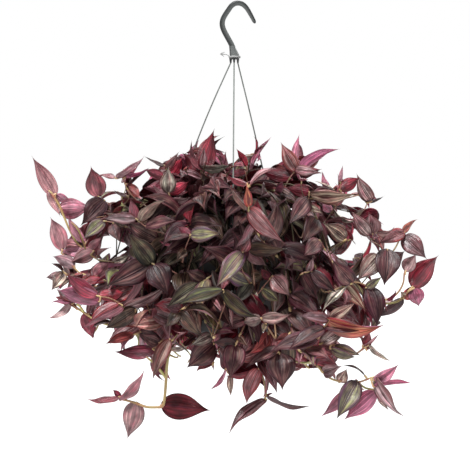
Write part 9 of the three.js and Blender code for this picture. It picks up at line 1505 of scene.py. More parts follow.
      [-428, 1462, -3162, -257, 1662, -3598, -45, 87, 22, 208, 56, 122, "mr", "mr", 1],
      [-624, 1401, -3213, -379, 1726, -3543, -51, 77, 38, 254, 58, 122, "mr", "mv", 1],
      [-332, 1539, -3936, -552, 1717, -4295, -30, 77, 56, 200, 85, 179, "gs", "pm", 1],
      [-533, 1320, -2741, -897, 1277, -3042, -46, 77, 45, 244, 98, 207, "dk", "pu", 1],
      [-787, 1459, -4023, -1163, 1377, -4405, -70, 39, 60, 246, 117, 122, "md", "mr", 1],
      [-284, 1591, -4299, 187, 1645, -4569, 21, 82, 53, 237, 113, 129, "db", "ml", 1],
      [-482, 1336, -2701, -174, 1612, -2963, -19, 78, 60, 213, 57, 206, "gs", "ml", 1],
      [-787, 1459, -4023, -894, 1791, -4390, -14, 71, 69, 224, 49, 105, "mr", "rm", 1],
      [-688, 1429, -3548, -591, 1714, -4111, 3, 89, 46, 315, 45, 176, "ms", "pu", 1],
      [-521, 950, -2642, -1096, 909, -2939, -35, 75, 57, 325, 52, 165, "dk", "pu", 2],
      [-568, 1361, -2917, -313, 1641, -2955, -52, 56, 65, 184, 54, 151, "dk", "mv", 1],
      [-1073, 1539, -2909, -1581, 1344, -2847, -33, 93, 18, 255, 135, 162, "mr", "mr", 1],
      [-1058, 1484, -3086, -1123, 1821, -2823, -55, -58, 60, 174, 51, 186, "mm", "ml", 1],
      [-89, 1180, -3518, 185, 1278, -3708, 3, 87, 49, 155, 133, 207, "md", "mv", 2],
      [-224, 1288, -3544, 277, 1447, -3676, -24, 94, 23, 239, 62, 174, "mm", "pu", 2],
      [-318, 1421, -3557, -135, 1059, -3373, 53, 58, 62, 188, 99, 163, "md", "dm", 2],
      [-766, 1067, -4558, -1085, 1293, -4927, -75, 1, 66, 245, 51, 107, "md", "mr", 1],
      [-803, 1233, -4467, -523, 792, -4627, 9, -29, 95, 243, 104, 214, "dk", "mr", 1],
      [-837, 1367, -4391, -1113, 964, -4512, -83, 49, 26, 239, 63, 151, "rb", "mr", 1],
      [-1162, 1447, -3869, -1469, 1455, -3681, 2, 100, -1, 183, 139, 126, "mr", "mr", 1],
      [-1012, 1422, -3913, -1310, 1273, -3554, -59, 79, -16, 238, 65, 205, "md", "pu", 1],
      [-492, 845, -3922, -576, 928, -4203, -94, 11, 32, 148, 119, 151, "dk", "ml", 2],
      [-566, 1003, -3871, -707, 612, -3929, -74, 17, 65, 215, 66, 152, "dk", "rp", 2],
      [-621, 1150, -3833, -711, 805, -4232, -85, 48, -22, 225, 131, 216, "gd", "pm", 1],
      [-675, 1298, -3788, -921, 989, -4044, -80, 17, 57, 194, 119, 153, "dk", "pm", 1],
      [-667, 931, -3714, -512, 624, -3792, -43, -42, 80, 183, 135, 215, "db", "nk", 2],
      [-682, 1090, -3719, -836, 658, -3936, -95, 25, 17, 258, 82, 104, "dk", "mv", 2],
      [-705, 1272, -3730, -998, 1056, -3982, -75, 42, 51, 179, 73, 219, "gs", "pu", 1],
      [-622, 1951, -3485, -458, 2242, -3545, -70, 50, 50, 143, 91, 218, "go", "ml", 1],
      [-550, 1796, -3486, -853, 2137, -3290, 74, 67, -3, 225, 91, 181, "rb", "mr", 1],
      [-542, 871, -4701, -166, 1198, -4859, -42, 74, 52, 245, 98, 206, "ms", "cr", 1],
      [-696, 1147, -4537, -272, 1063, -4709, -1, 89, -46, 218, 44, 145, "gs", "mr", 1],
      [-88, 1263, -4675, 180, 1310, -4890, 16, 90, 40, 159, 106, 164, "mv", "mv", 1],
      [-174, 1373, -4575, -185, 1541, -5130, -3, 94, 33, 312, 131, 191, "dm", "rm", 1],
      [-221, 1495, -4493, -418, 1453, -4876, -24, 97, 2, 186, 60, 211, "ms", "pm", 1],
      [-1258, 1530, -3934, -1517, 1769, -4058, -13, 34, 93, 171, 114, 206, "gs", "ml", 1],
      [-960, 1459, -3991, -1487, 1563, -4088, 10, 91, 40, 279, 136, 191, "gs", "mr", 1],
      [-1185, 1290, -2734, -988, 1405, -2427, -79, 53, 31, 183, 59, 147, "dm", "mr", 1],
      [-1062, 1246, -2865, -983, 1693, -2790, -97, 13, 22, 217, 102, 136, "dm", "mr", 1],
      [-920, 1248, -2991, -1239, 1491, -2825, -66, -47, -59, 181, 62, 105, "go", "ml", 1],
      [-569, 1334, -4547, -546, 1553, -4898, 4, 85, 53, 202, 42, 198, "gs", "mb", 1],
      [-462, 1430, -4498, -525, 1566, -4963, -54, 78, 30, 203, 129, 163, "mm", "mr", 1],
      [-335, 1548, -4422, -368, 1514, -4889, -74, 67, 0, 224, 100, 206, "ms", "mr", 1],
      [-1267, 1140, -4670, -1392, 1099, -4345, -79, 38, -48, 155, 57, 146, "ms", "mr", 1],
      [-1129, 1212, -4669, -1484, 826, -4828, -76, 59, 26, 237, 63, 128, "mg", "pm", 1],
      [-1037, 1304, -4570, -1290, 848, -4657, -62, 20, 76, 221, 133, 157, "mm", "mr", 1],
      [-960, 1389, -4457, -1258, 1654, -4825, -70, 17, 69, 276, 102, 119, "rb", "ml", 1],
      [-803, 976, -4268, -985, 684, -4302, -81, 47, 35, 156, 66, 136, "db", "rm", 1],
      [-825, 1320, -4304, -1181, 983, -4205, -45, 66, 60, 207, 133, 153, "dk", "mr", 1],
      [-493, 824, -4809, -337, 1150, -5028, 77, 4, 64, 132, 125, 340, "mm", "dm", 1],
      [-680, 1167, -4527, -437, 1183, -4881, -5, 100, 1, 198, 128, 131, "mg", "mr", 1],
      [-809, 1491, -4399, -540, 1624, -4782, -10, 96, 26, 252, 72, 169, "mm", "rm", 1],
      [-820, 1515, -4428, -594, 1614, -4781, -44, 90, -3, 206, 56, 200, "md", "pu", 1],
      [-842, 1324, -4480, -606, 1457, -4789, -32, 94, 14, 214, 78, 190, "gr", "cr", 1]]),
    ("shoot_left_01",
     [[-685, 162, -3080, 200, -707, 145, -2803, 191, -952, 55, -2646, 182, -1235, -34, -2586, 173, -1438, -54, -2795, 164, -1549, -36, -3079, 155, -1634, -10, -3371, 146, -1709, 19, -3666, 137, -1782, 47, -3961, 128, -1864, 70, -4255, 119, -1927, 73, -4405, 110],
      [-1634, -10, -3371, 150, -1636, -69, -3075, 127, -1725, -130, -2828, 105],
      [-707, 145, -2803, 150, -921, 45, -2762, 141, -1164, -59, -2767, 132, -1418, -159, -2798, 123, -1664, -250, -2836, 114, -1885, -325, -2862, 105],
      [-1634, -10, -3371, 150, -1802, 211, -3485, 127, -1968, 373, -3608, 105],
      [-1438, -54, -2795, 150, -1473, -66, -3084, 142, -1455, -106, -3394, 135, -1420, -161, -3701, 127, -1404, -215, -3980, 120, -1443, -254, -4207, 112, -1573, -265, -4358, 105],
      [-1473, -66, -3084, 135, -1269, -23, -3234, 118, -1188, 30, -3320, 100],
      [-1443, -254, -4207, 135, -1392, -147, -4370, 123, -1316, -8, -4528, 112, -1355, 37, -4610, 100],
      [-1404, -215, -3980, 135, -1219, -125, -4012, 123, -993, -1, -4000, 112, -968, 66, -3990, 100],
      [-1443, -254, -4207, 135, -1359, -181, -4380, 126, -1211, -69, -4568, 118, -1105, 23, -4718, 109, -1148, 39, -4777, 100],
      [-1443, -254, -4207, 135, -1414, -134, -4351, 126, -1342, 43, -4498, 118, -1303, 193, -4618, 109, -1370, 232, -4681, 100],
      [-1438, -54, -2795, 135, -1530, 93, -2689, 123, -1616, 281, -2516, 112, -1675, 399, -2514, 100]],
     [[-1862, 70, -4250, -1975, 285, -4507, -91, 3, 42, 162, 84, 167, "dk", "mr", 1],
      [-1819, 57, -4094, -1982, -16, -4437, -90, 2, 43, 158, 41, 194, "rb", "rm", 1],
      [-1767, 41, -3899, -1959, 463, -4185, -88, -8, 48, 232, 90, 157, "dk", "pu", 1],
      [-1718, 22, -3700, -1853, -194, -4119, -85, -30, 43, 237, 115, 114, "rb", "rm", 1],
      [-1662, 1, -3482, -1675, 327, -3898, -99, -10, -4, 212, 52, 167, "rb", "rm", 1],
      [-1720, -127, -2842, -1833, -125, -2680, -73, -47, -51, 97, 92, 198, "dk", "pm", 1],
      [-1679, -99, -2955, -1698, -410, -2784, -84, 30, 46, 97, 65, 340, "dk", "dm", 1],
      [-1636, -64, -3099, -1603, 183, -2684, -32, -80, 50, 207, 63, 169, "rm", "mr", 1],
      [-1731, -273, -2844, -2010, -113, -2988, -56, -27, 78, 151, 79, 180, "gg", "pu", 1],
      [-1587, -221, -2824, -1698, -717, -2824, -59, 13, 79, 261, 118, 113, "mm", "dm", 1],
      [-1422, -161, -2798, -1950, 117, -2891, -44, -61, 67, 245, 67, 132, "go", "dm", 1],
      [-1265, -99, -2779, -1578, -496, -2933, -79, 61, 3, 259, 58, 177, "dk", "nk", 1],
      [-1959, 364, -3601, -2124, 441, -3872, -77, 30, 56, 99, 94, 340, "rd", "mr", 1],
      [-1875, 283, -3540, -2010, 698, -3718, -74, 5, 67, 197, 81, 215, "ms", "mr", 1],
      [-1758, 172, -3466, -2000, 96, -3892, -72, 42, 55, 264, 109, 182, "ms", "mr", 1],
      [-1563, -264, -4347, -1712, -418, -4558, -84, 50, 23, 87, 52, 340, "pm", "rm", 1],
      [-1489, -258, -4261, -1635, 33, -4475, -36, 43, 83, 164, 98, 195, "mv", "pm", 1],
      [-1408, -219, -4001, -1698, 237, -4416, -90, -24, 37, 300, 67, 188, "rm", "pu", 1],
      [-1412, -189, -3847, -1372, -697, -4203, -66, -46, 59, 322, 59, 207, "dk", "dm", 1],
      [-1421, -160, -3699, -1283, 131, -4042, 70, 38, 60, 240, 110, 174, "go", "ml", 2],
      [-1438, -134, -3549, -1366, -665, -3897, -92, -29, 26, 306, 75, 166, "dk", "mr", 2],
      [-1440, -252, -4191, -1489, -507, -4705, -99, -5, 12, 241, 82, 176, "dk", "rp", 1],
      [-1123, 1, -2610, -1475, 229, -2883, -71, -49, 51, 230, 85, 149, "go", "mm", 1],
      [-1407, -204, -3926, -1544, -228, -4328, -89, -34, 32, 217, 129, 110, "gd", "mr", 1],
      [-1577, -214, -2823, -1657, -784, -2808, -80, 12, 59, 210, 91, 208, "ms", "mm", 1],
      [-1427, -150, -3640, -1484, 31, -4046, -99, -9, 10, 180, 91, 218, "dk", "pu", 1],
      [-1444, -56, -2841, -1571, -395, -3187, -97, 14, 22, 244, 84, 215, "db", "pm", 2],
      [-1662, 1, -3483, -1601, -398, -3809, -85, -41, 34, 254, 66, 159, "gd", "dm", 1],
      [-867, 86, -2700, -1211, 111, -3015, -61, 38, 70, 192, 116, 120, "db", "dm", 2],
      [-1743, 28, -3763, -1934, -301, -4065, -91, 40, 13, 231, 124, 178, "db", "mr", 1],
      [-1630, -11, -3357, -1820, -45, -3716, -86, -18, 47, 174, 70, 188, "dk", "mm", 1],
      [-1790, 196, -3477, -1762, 606, -3560, -85, 16, 51, 198, 107, 216, "ms", "rm", 1],
      [-736, 135, -2784, -1121, 160, -2977, -43, 15, 89, 209, 137, 137, "dm", "nk", 2],
      [-1906, 304, -3572, -2237, 238, -3948, -60, 1, 80, 286, 127, 219, "mv", "mr", 1],
      [-1460, -50, -2850, -1539, 324, -3166, -87, 19, 45, 250, 111, 117, "md", "mm", 1],
      [-1459, -98, -3330, -1279, -560, -3576, -76, -51, 41, 275, 89, 133, "ng", "nk", 2],
      [-1778, 45, -3946, -1577, 393, -4344, -89, 45, -5, 270, 79, 114, "gd", "rp", 1],
      [-1778, 45, -3946, -1730, 436, -4388, -97, 24, 10, 247, 121, 210, "dm", "mb", 1],
      [-867, 86, -2700, -1278, -42, -2846, -41, 34, 85, 209, 104, 185, "md", "mm", 2],
      [-1715, -267, -2842, -2090, -203, -3142, -63, -10, 77, 204, 89, 210, "mr", "mm", 1],
      [-1074, -20, -2765, -1359, 19, -3146, -77, -36, 54, 215, 66, 141, "dk", "nk", 2],
      [-1770, 196, -3472, -1911, 600, -3490, -51, -9, 85, 201, 124, 152, "gd", "dm", 1],
      [-1407, -204, -3926, -1422, -469, -4341, -93, -30, 22, 223, 51, 189, "ms", "pu", 1],
      [-1444, -56, -2841, -1440, 98, -3250, -99, 10, 3, 175, 129, 112, "mm", "rp", 2],
      [-1897, 304, -3555, -1798, 740, -3648, -87, 28, 40, 199, 65, 199, "gg", "mb", 1],
      [-1825, 59, -4117, -1991, -290, -4297, 16, -51, 84, 171, 50, 220, "ms", "pu", 1],
      [-1459, -98, -3330, -1642, -19, -3846, -94, -17, 31, 251, 84, 139, "mv", "rm", 1],
      [-1733, 28, -3763, -1711, 438, -4026, -60, 45, 66, 236, 95, 203, "mm", "mr", 1],
      [-1825, 59, -4117, -2062, 401, -4395, -86, -21, 47, 246, 56, 117, "mr", "mr", 1],
      [-1440, -252, -4191, -1511, -216, -4627, -97, 17, 17, 207, 80, 160, "mm", "rp", 1],
      [-1470, -61, -2991, -1349, -452, -3303, -95, -27, 14, 266, 73, 164, "mq", "dk", 1],
      [-1693, 68, -3411, -1740, 520, -3675, -64, 34, 69, 233, 51, 207, "db", "dk", 1],
      [-1194, 26, -3313, -1224, 246, -3548, -98, -18, -4, 161, 109, 144, "dk", "nk", 2],
      [-1294, -28, -3216, -955, 214, -3264, -52, 79, 31, 202, 113, 123, "md", "nk", 2],
      [-1418, -54, -3124, -1268, 124, -3610, -96, 7, -27, 220, 67, 129, "dm", "nk", 2],
      [-1351, 32, -4601, -1371, 280, -4798, -75, 37, 54, 87, 104, 340, "rb", "mr", 1],
      [-1403, -170, -4335, -1500, 258, -4531, -83, 7, 56, 243, 111, 175, "md", "ml", 1],
      [-971, 56, -3992, -1180, 345, -4032, -72, -44, 54, 154, 132, 165, "db", "ml", 2],
      [-1100, -60, -4006, -1225, 332, -4358, -76, 28, 58, 240, 106, 142, "ms", "mr", 1],
      [-1143, -18, -4644, -1018, 153, -5116, -99, -5, -8, 197, 63, 148, "db", "pm", 1],
      [-1363, 229, -4674, -1547, 501, -4750, -72, -31, 62, 137, 94, 187, "mg", "rm", 1],
      [-1555, 120, -2678, -1921, 285, -2781, -32, -17, 93, 156, 50, 198, "mr", "mm", 1]]),
    ("shoot_back_02",
     [[-233, 332, -3080, 200, -234, 295, -2807, 178, -78, 237, -2574, 155, -172, 267, -2318, 133, -251, 319, -2208, 110],
      [-234, 295, -2807, 150, -330, 305, -2504, 135, -502, 340, -2197, 120, -721, 429, -2011, 105]],
     [[-243, 313, -2219, -324, 425, -2002, -93, 4, -37, 73, 107, 340, "rd", "ml", 1],
      [-163, 264, -2343, -483, 375, -2254, 41, 68, 62, 106, 107, 340, "mr", "pu", 2],
      [-115, 246, -2486, -110, 487, -2123, 14, 86, -48, 188, 79, 126, "mv", "mr", 2],
      [-129, 256, -2650, -417, 16, -2336, -24, 86, 44, 229, 82, 114, "nk", "dk", 2],
      [-710, 424, -2021, -881, 547, -2061, 30, 65, 69, 63, 122, 340, "br", "pu", 1],
      [-508, 342, -2192, -953, 566, -2376, -17, 41, 90, 256, 58, 127, "mm", "mr", 1],
      [-436, 327, -2314, -466, 645, -1847, -18, -82, 55, 250, 73, 161, "rm", "pu", 1],
      [-361, 311, -2449, -858, 97, -2288, -33, 92, 21, 280, 113, 150, "nk", "dm", 1],
      [-201, 286, -2278, -354, 398, -1856, 10, 97, -22, 205, 123, 126, "rm", "pu", 1],
      [-311, 303, -2564, -768, 385, -2371, 6, 96, -27, 242, 63, 138, "dk", "dm", 2],
      [-555, 361, -2152, -1023, 409, -2086, 12, 98, 16, 231, 83, 134, "mr", "mm", 1],
      [-234, 303, -2864, -566, -90, -2802, -59, 39, -70, 221, 51, 153, "ng", "dk", 2],
      [-82, 238, -2580, 418, 391, -2508, -29, 62, 73, 224, 87, 146, "dk", "dm", 2],
      [-467, 333, -2259, -827, 168, -1997, -18, 93, 33, 204, 54, 138, "mg", "ml", 1],
      [-655, 402, -2067, -1158, 467, -2420, -32, 74, 59, 251, 109, 164, "mg", "mv", 1],
      [-311, 303, -2564, -676, 154, -2598, -25, 41, 88, 187, 57, 129, "ng", "dk", 2],
      [-257, 298, -2734, -53, 423, -2502, -76, 5, 64, 168, 61, 210, "dk", "dk", 2],
      [-257, 298, -2734, -526, 550, -2558, 23, -38, 90, 169, 70, 131, "dk", "dm", 2],
      [-480, 333, -2263, -206, 634, -1726, -89, 45, 4, 281, 134, 112, "mq", "dm", 1],
      [-82, 238, -2580, 290, 442, -2418, -48, 20, 85, 205, 78, 183, "gd", "dm", 2],
      [-654, 402, -2052, -1020, 590, -2155, 0, 37, 93, 227, 62, 123, "mg", "pm", 1],
      [-557, 361, -2139, -555, 673, -1783, -76, 35, -55, 240, 56, 113, "mb", "pu", 1],
      [-201, 286, -2278, -338, 393, -1867, 80, 59, 11, 186, 103, 137, "gs", "mr", 1]]),
    ("shoot_right_01",
     [[189, 219, -3080, 200, 284, 288, -2816, 189, 497, 419, -2635, 178, 734, 570, -2509, 166, 958, 741, -2585, 155, 1090, 870, -2832, 144, 1192, 979, -3103, 133, 1288, 1085, -3378, 121, 1352, 1149, -3520, 110],
      [497, 419, -2635, 150, 774, 507, -2614, 141, 1060, 580, -2660, 132, 1347, 633, -2731, 123, 1629, 662, -2783, 114, 1897, 664, -2773, 105],
      [497, 419, -2635, 150, 644, 405, -2439, 127, 791, 461, -2280, 105],
      [1090, 870, -2832, 150, 970, 747, -2596, 135, 810, 566, -2273, 120, 812, 571, -2111, 105],
      [734, 570, -2509, 150, 936, 573, -2651, 139, 1183, 596, -2799, 127, 1432, 633, -2982, 116, 1639, 673, -3225, 105],
      [1629, 662, -2783, 135, 1712, 737, -2950, 118, 1793, 794, -3127, 100],
      [1347, 633, -2731, 135, 1405, 498, -2640, 118, 1474, 422, -2572, 100],
      [1192, 979, -3103, 135, 1215, 1125, -3000, 118, 1273, 1269, -2869, 100],
      [1288, 1085, -3378, 135, 1408, 1038, -3334, 118, 1534, 1024, -3272, 100],
      [970, 747, -2596, 135, 1017, 901, -2597, 118, 1096, 1064, -2672, 100],
      [1432, 633, -2982, 135, 1456, 516, -2945, 118, 1495, 414, -2930, 100],
      [1183, 596, -2799, 135, 1330, 523, -2704, 123, 1477, 428, -2560, 112, 1604, 399, -2545, 100],
      [1183, 596, -2799, 135, 1315, 510, -2711, 123, 1444, 400, -2576, 112, 1565, 383, -2544, 100],
      [1183, 596, -2799, 135, 1327, 511, -2705, 123, 1469, 401, -2560, 112, 1601, 374, -2537, 100]],
     [[1346, 1143, -3508, 1468, 1211, -3741, 87, 9, 48, 125, 103, 131, "gg", "mr", 1],
      [1284, 1080, -3366, 1197, 1302, -3630, 44, 75, 49, 167, 66, 126, "mr", "ml", 1],
      [1174, 960, -3054, 1050, 1452, -3392, 70, 51, 49, 300, 75, 141, "gg", "pm", 1],
      [1105, 886, -2872, 1471, 909, -3258, 73, 2, 69, 215, 51, 151, "rm", "pu", 1],
      [1012, 794, -2686, 1136, 1241, -2995, 68, 28, 68, 223, 71, 218, "mg", "rm", 1],
      [905, 701, -2567, 1418, 568, -2595, 23, 76, 61, 268, 44, 213, "gs", "mr", 1],
      [1699, 663, -2780, 1968, 812, -2918, 20, 44, 87, 90, 65, 340, "pm", "mr", 1],
      [1530, 651, -2771, 1897, 472, -2838, 23, 42, 88, 187, 48, 165, "dk", "mr", 1],
      [1154, 596, -2691, 1407, 357, -2950, 70, 11, 70, 169, 80, 203, "mr", "mv", 1],
      [781, 458, -2290, 1021, 677, -2196, -56, 76, -34, 101, 95, 340, "rd", "mr", 1],
      [684, 420, -2396, 976, 171, -2373, 62, 75, 25, 175, 84, 207, "ms", "mr", 1],
      [801, 570, -2125, 855, 400, -1827, 68, 65, 34, 137, 123, 199, "rm", "pm", 1],
      [810, 566, -2263, 617, 897, -2084, 89, 36, 30, 193, 115, 156, "md", "mr", 1],
      [922, 693, -2500, 610, 1097, -2226, 81, 27, 52, 298, 104, 213, "rb", "mv", 1],
      [1393, 627, -2953, 1613, 1063, -3043, 23, 9, 97, 210, 64, 157, "mv", "mv", 1],
      [1237, 604, -2839, 1525, 347, -3076, 55, -15, 82, 210, 99, 114, "ms", "mr", 1],
      [980, 577, -2677, 1025, 855, -3066, 98, 11, 19, 237, 110, 189, "md", "rm", 2],
      [1034, 813, -2722, 875, 1244, -2855, 67, 43, 60, 202, 67, 215, "ms", "mb", 1],
      [829, 571, -2575, 1200, 336, -2737, 38, -4, 92, 192, 77, 156, "dk", "rm", 1],
      [409, 365, -2710, 728, 117, -2609, 0, 38, 93, 189, 84, 207, "dm", "ng", 2],
      [571, 412, -2537, 514, 794, -2166, 98, 18, -4, 241, 67, 125, "mr", "mb", 1],
      [1342, 1130, -3494, 1945, 970, -3817, 51, 36, 78, 288, 125, 173, "md", "mr", 1],
      [1269, 1064, -3322, 1163, 1437, -3756, 87, 46, 18, 233, 41, 113, "md", "rp", 1],
      [1344, 621, -2939, 1769, 480, -3043, 37, 60, 71, 183, 112, 159, "mr", "mb", 1],
      [1106, 589, -2753, 1310, 162, -2938, 88, 24, 42, 211, 71, 104, "go", "dk", 1],
      [1679, 663, -2781, 2044, 959, -3042, 61, -5, 79, 220, 115, 110, "mg", "mv", 1],
      [923, 714, -2573, 1138, 1213, -2555, 47, -23, 85, 233, 91, 188, "ms", "mr", 1],
      [1072, 582, -2663, 1354, 893, -2958, 82, -26, 51, 248, 105, 114, "mr", "mr", 1],
      [999, 781, -2662, 1210, 1190, -2960, 58, 26, 77, 262, 71, 202, "mr", "mb", 1],
      [1679, 663, -2781, 1901, 1024, -3045, 51, 28, 81, 222, 75, 108, "mm", "mv", 1],
      [409, 365, -2710, 962, 330, -2656, -2, 71, 71, 247, 76, 160, "dk", "dk", 2],
      [1221, 602, -2827, 1578, 442, -3137, 67, 58, 46, 210, 48, 170, "dk", "rp", 1],
      [288, 290, -2813, 659, 379, -2754, -24, 41, 88, 188, 133, 111, "nk", "dm", 2],
      [999, 781, -2662, 1291, 1190, -2890, 60, 2, 80, 262, 41, 132, "mm", "mr", 1],
      [1269, 1064, -3322, 1401, 1418, -3611, 69, 29, 66, 220, 87, 102, "mr", "rm", 1],
      [811, 568, -2213, 855, 985, -1891, 80, -42, 43, 221, 93, 100, "mb", "mv", 1],
      [1119, 900, -2908, 1590, 896, -3036, 21, 61, 77, 197, 48, 204, "mv", "mr", 1],
      [1166, 951, -3032, 1155, 1419, -3093, 69, 11, 72, 191, 53, 108, "ms", "pu", 1],
      [814, 568, -2219, 1160, 192, -2045, 11, 58, 81, 320, 45, 128, "mv", "rm", 1],
      [1536, 653, -2766, 1811, 1029, -2777, 35, -23, 91, 191, 77, 168, "mm", "cr", 1],
      [1333, 1130, -3478, 1675, 1189, -3890, 30, 88, 38, 258, 50, 133, "ms", "pm", 1],
      [841, 601, -2335, 761, 114, -2107, 77, 17, 62, 259, 128, 126, "md", "mv", 1],
      [893, 677, -2489, 1152, 389, -2499, 55, 74, 39, 190, 62, 129, "mr", "mr", 1],
      [1341, 621, -2930, 1700, 400, -3027, 53, 67, 52, 179, 88, 148, "md", "rm", 1],
      [1221, 602, -2827, 1417, 1082, -2925, 81, -22, 54, 240, 87, 115, "ms", "rp", 1],
      [1034, 813, -2722, 695, 1201, -2386, 81, 23, 54, 302, 87, 119, "gs", "mv", 1],
      [1100, 900, -2914, 1404, 786, -3281, 79, 44, 42, 207, 57, 159, "md", "nk", 1],
      [1548, 653, -2750, 2034, 556, -2926, 43, 79, 43, 210, 71, 136, "ms", "ml", 1],
      [1711, 748, -2985, 1985, 789, -3380, 52, 71, 47, 277, 134, 199, "gr", "mm", 1],
      [1660, 690, -2846, 1944, 1093, -3034, 18, 31, 93, 268, 43, 171, "mv", "rm", 1],
      [1392, 528, -2660, 1441, 514, -2261, 93, 36, -10, 207, 85, 169, "gs", "rp", 1],
      [1270, 1262, -2878, 1340, 1378, -2518, 5, 95, -30, 196, 122, 169, "rm", "rp", 1],
      [1226, 1154, -2974, 1413, 1610, -3044, 34, 0, 94, 251, 73, 187, "mr", "rp", 1],
      [1379, 1055, -3364, 1616, 1221, -2834, 71, -69, -11, 276, 47, 153, "rm", "mr", 1],
      [1092, 1055, -2668, 1076, 1392, -2713, 91, 10, 40, 155, 125, 110, "ms", "mb", 1],
      [1024, 916, -2604, 1216, 1299, -2678, 20, 9, 98, 194, 127, 105, "ms", "mr", 1],
      [1485, 423, -2945, 1694, 222, -3076, 80, 34, 50, 99, 73, 340, "br", "mv", 1],
      [1608, 401, -2528, 1829, 495, -2745, 32, 8, 94, 156, 121, 168, "dk", "rp", 1],
      [1361, 509, -2698, 1800, 387, -2913, 43, 2, 90, 227, 105, 104, "dk", "mr", 1],
      [1555, 385, -2546, 1865, 484, -2613, 25, -14, 96, 139, 139, 194, "rm", "pu", 1],
      [1299, 520, -2722, 1404, 287, -2255, 91, 41, 0, 266, 87, 155, "mv", "rm", 1],
      [1588, 376, -2550, 1945, 503, -2624, 12, -1, 99, 198, 76, 118, "md", "mr", 1],
      [1310, 521, -2716, 1373, 272, -2260, 92, 39, 8, 259, 95, 177, "dm", "pm", 1]]),
    ("shoot_right_02",
     [[392, 115, -3080, 200, 459, 141, -2814, 190, 661, 348, -2729, 180, 866, 461, -2893, 170, 1009, 476, -3161, 160, 1133, 472, -3440, 150, 1247, 462, -3722, 140, 1355, 451, -4007, 130, 1461, 450, -4293, 120, 1517, 467, -4445, 110],
      [1009, 476, -3161, 150, 1153, 417, -3440, 141, 1280, 305, -3716, 132, 1395, 187, -3981, 123, 1505, 111, -4228, 114, 1616, 124, -4448, 105],
      [1505, 111, -4228, 135, 1367, 94, -4495, 118, 1277, 56, -4587, 100],
      [1461, 450, -4293, 135, 1422, 670, -4307, 118, 1457, 838, -4279, 100],
      [1133, 472, -3440, 135, 1202, 294, -3335, 118, 1280, 188, -3281, 100],
      [1461, 450, -4293, 135, 1410, 592, -4434, 123, 1337, 767, -4561, 112, 1373, 830, -4593, 100],
      [1461, 450, -4293, 135, 1319, 383, -4447, 126, 1094, 281, -4606, 118, 910, 216, -4719, 109, 893, 257, -4735, 100],
      [1461, 450, -4293, 135, 1350, 379, -4433, 128, 1163, 265, -4586, 121, 970, 156, -4719, 114, 839, 99, -4797, 107, 840, 138, -4785, 100],
      [1280, 305, -3716, 135, 1464, 389, -3626, 123, 1676, 512, -3463, 112, 1821, 506, -3442, 100]],
     [[1461, 450, -4293, 1734, 313, -4499, 62, 7, 78, 160, 119, 152, "ms", "pm", 1],
      [1413, 450, -4164, 1534, 750, -4494, 96, -12, 25, 200, 92, 106, "ms", "ml", 1],
      [1362, 451, -4025, 1602, 88, -4447, 92, 26, 30, 282, 107, 150, "rb", "pu", 1],
      [1304, 456, -3871, 1285, 710, -4396, 85, 49, 21, 275, 70, 175, "dk", "pu", 1],
      [1233, 463, -3687, 1474, 142, -4114, 90, 14, 41, 241, 76, 146, "mr", "rp", 1],
      [1159, 470, -3505, 1420, 750, -3985, 50, 60, 62, 293, 72, 198, "mr", "ml", 1],
      [1077, 474, -3314, 1346, 160, -3767, 78, -20, 60, 279, 74, 106, "go", "rm", 2],
      [1609, 124, -4434, 1757, 158, -4629, 80, -20, 57, 69, 75, 340, "pm", "rm", 1],
      [1461, 141, -4129, 1728, -129, -4341, 51, -16, 84, 197, 75, 201, "mg", "rm", 1],
      [1374, 208, -3932, 1313, 468, -4226, 78, 54, 32, 184, 76, 110, "mm", "mr", 1],
      [1302, 282, -3767, 1421, -107, -3811, 96, 29, 2, 165, 115, 134, "mr", "mr", 1],
      [1319, 455, -3912, 1431, 868, -4115, 68, 16, 71, 221, 75, 105, "dk", "pu", 1],
      [1004, 476, -3150, 1166, 705, -3588, 91, 10, 39, 223, 93, 212, "dk", "mv", 2],
      [1477, 130, -4164, 1628, -197, -4340, 93, 33, 19, 169, 123, 127, "mm", "mb", 1],
      [1115, 433, -3366, 1450, 324, -3780, 77, -2, 63, 263, 68, 122, "dk", "pu", 2],
      [1271, 459, -3785, 1391, 835, -4030, 78, 15, 61, 237, 96, 198, "dk", "mv", 1],
      [1063, 474, -3282, 1350, 188, -3458, 55, 4, 83, 225, 99, 186, "dk", "pu", 2],
      [1374, 451, -4058, 1693, 626, -4407, 76, -9, 65, 219, 117, 162, "mr", "rm", 1],
      [879, 462, -2917, 1090, 770, -3252, 82, 6, 57, 258, 64, 135, "mm", "dk", 2],
      [1170, 469, -3533, 1378, 915, -3738, 91, -28, 31, 266, 124, 121, "ms", "mb", 1],
      [941, 469, -3033, 1138, 205, -3408, 91, 31, 26, 208, 100, 206, "dk", "mr", 2],
      [1477, 130, -4164, 1752, -212, -4508, 78, 0, 63, 278, 94, 141, "rm", "pm", 1],
      [1374, 451, -4058, 1720, 782, -4323, 56, 8, 82, 259, 107, 130, "gg", "ml", 1],
      [1115, 433, -3366, 1216, 33, -3630, 97, 10, 21, 229, 108, 139, "ng", "dm", 2],
      [1031, 467, -3202, 1096, 851, -3496, 99, -8, 12, 244, 88, 181, "rm", "ml", 2],
      [1319, 455, -3912, 1316, 833, -4177, 79, 36, 50, 188, 64, 173, "dk", "rp", 1],
      [941, 469, -3033, 1180, 147, -3262, 78, 15, 60, 217, 44, 153, "db", "mm", 2],
      [1436, 450, -4226, 1505, 884, -4487, 79, 22, 58, 260, 114, 182, "db", "ml", 1],
      [1221, 464, -3657, 1502, 121, -3958, 77, 6, 64, 265, 128, 162, "rm", "pm", 1],
      [1555, 117, -4327, 1698, -150, -4656, 95, 17, 27, 201, 85, 101, "go", "cr", 1],
      [1170, 469, -3533, 1377, 861, -3864, 60, 31, 74, 269, 139, 179, "md", "mr", 1],
      [1436, 450, -4226, 1380, 813, -4511, 65, 53, 54, 197, 92, 169, "mm", "mv", 1],
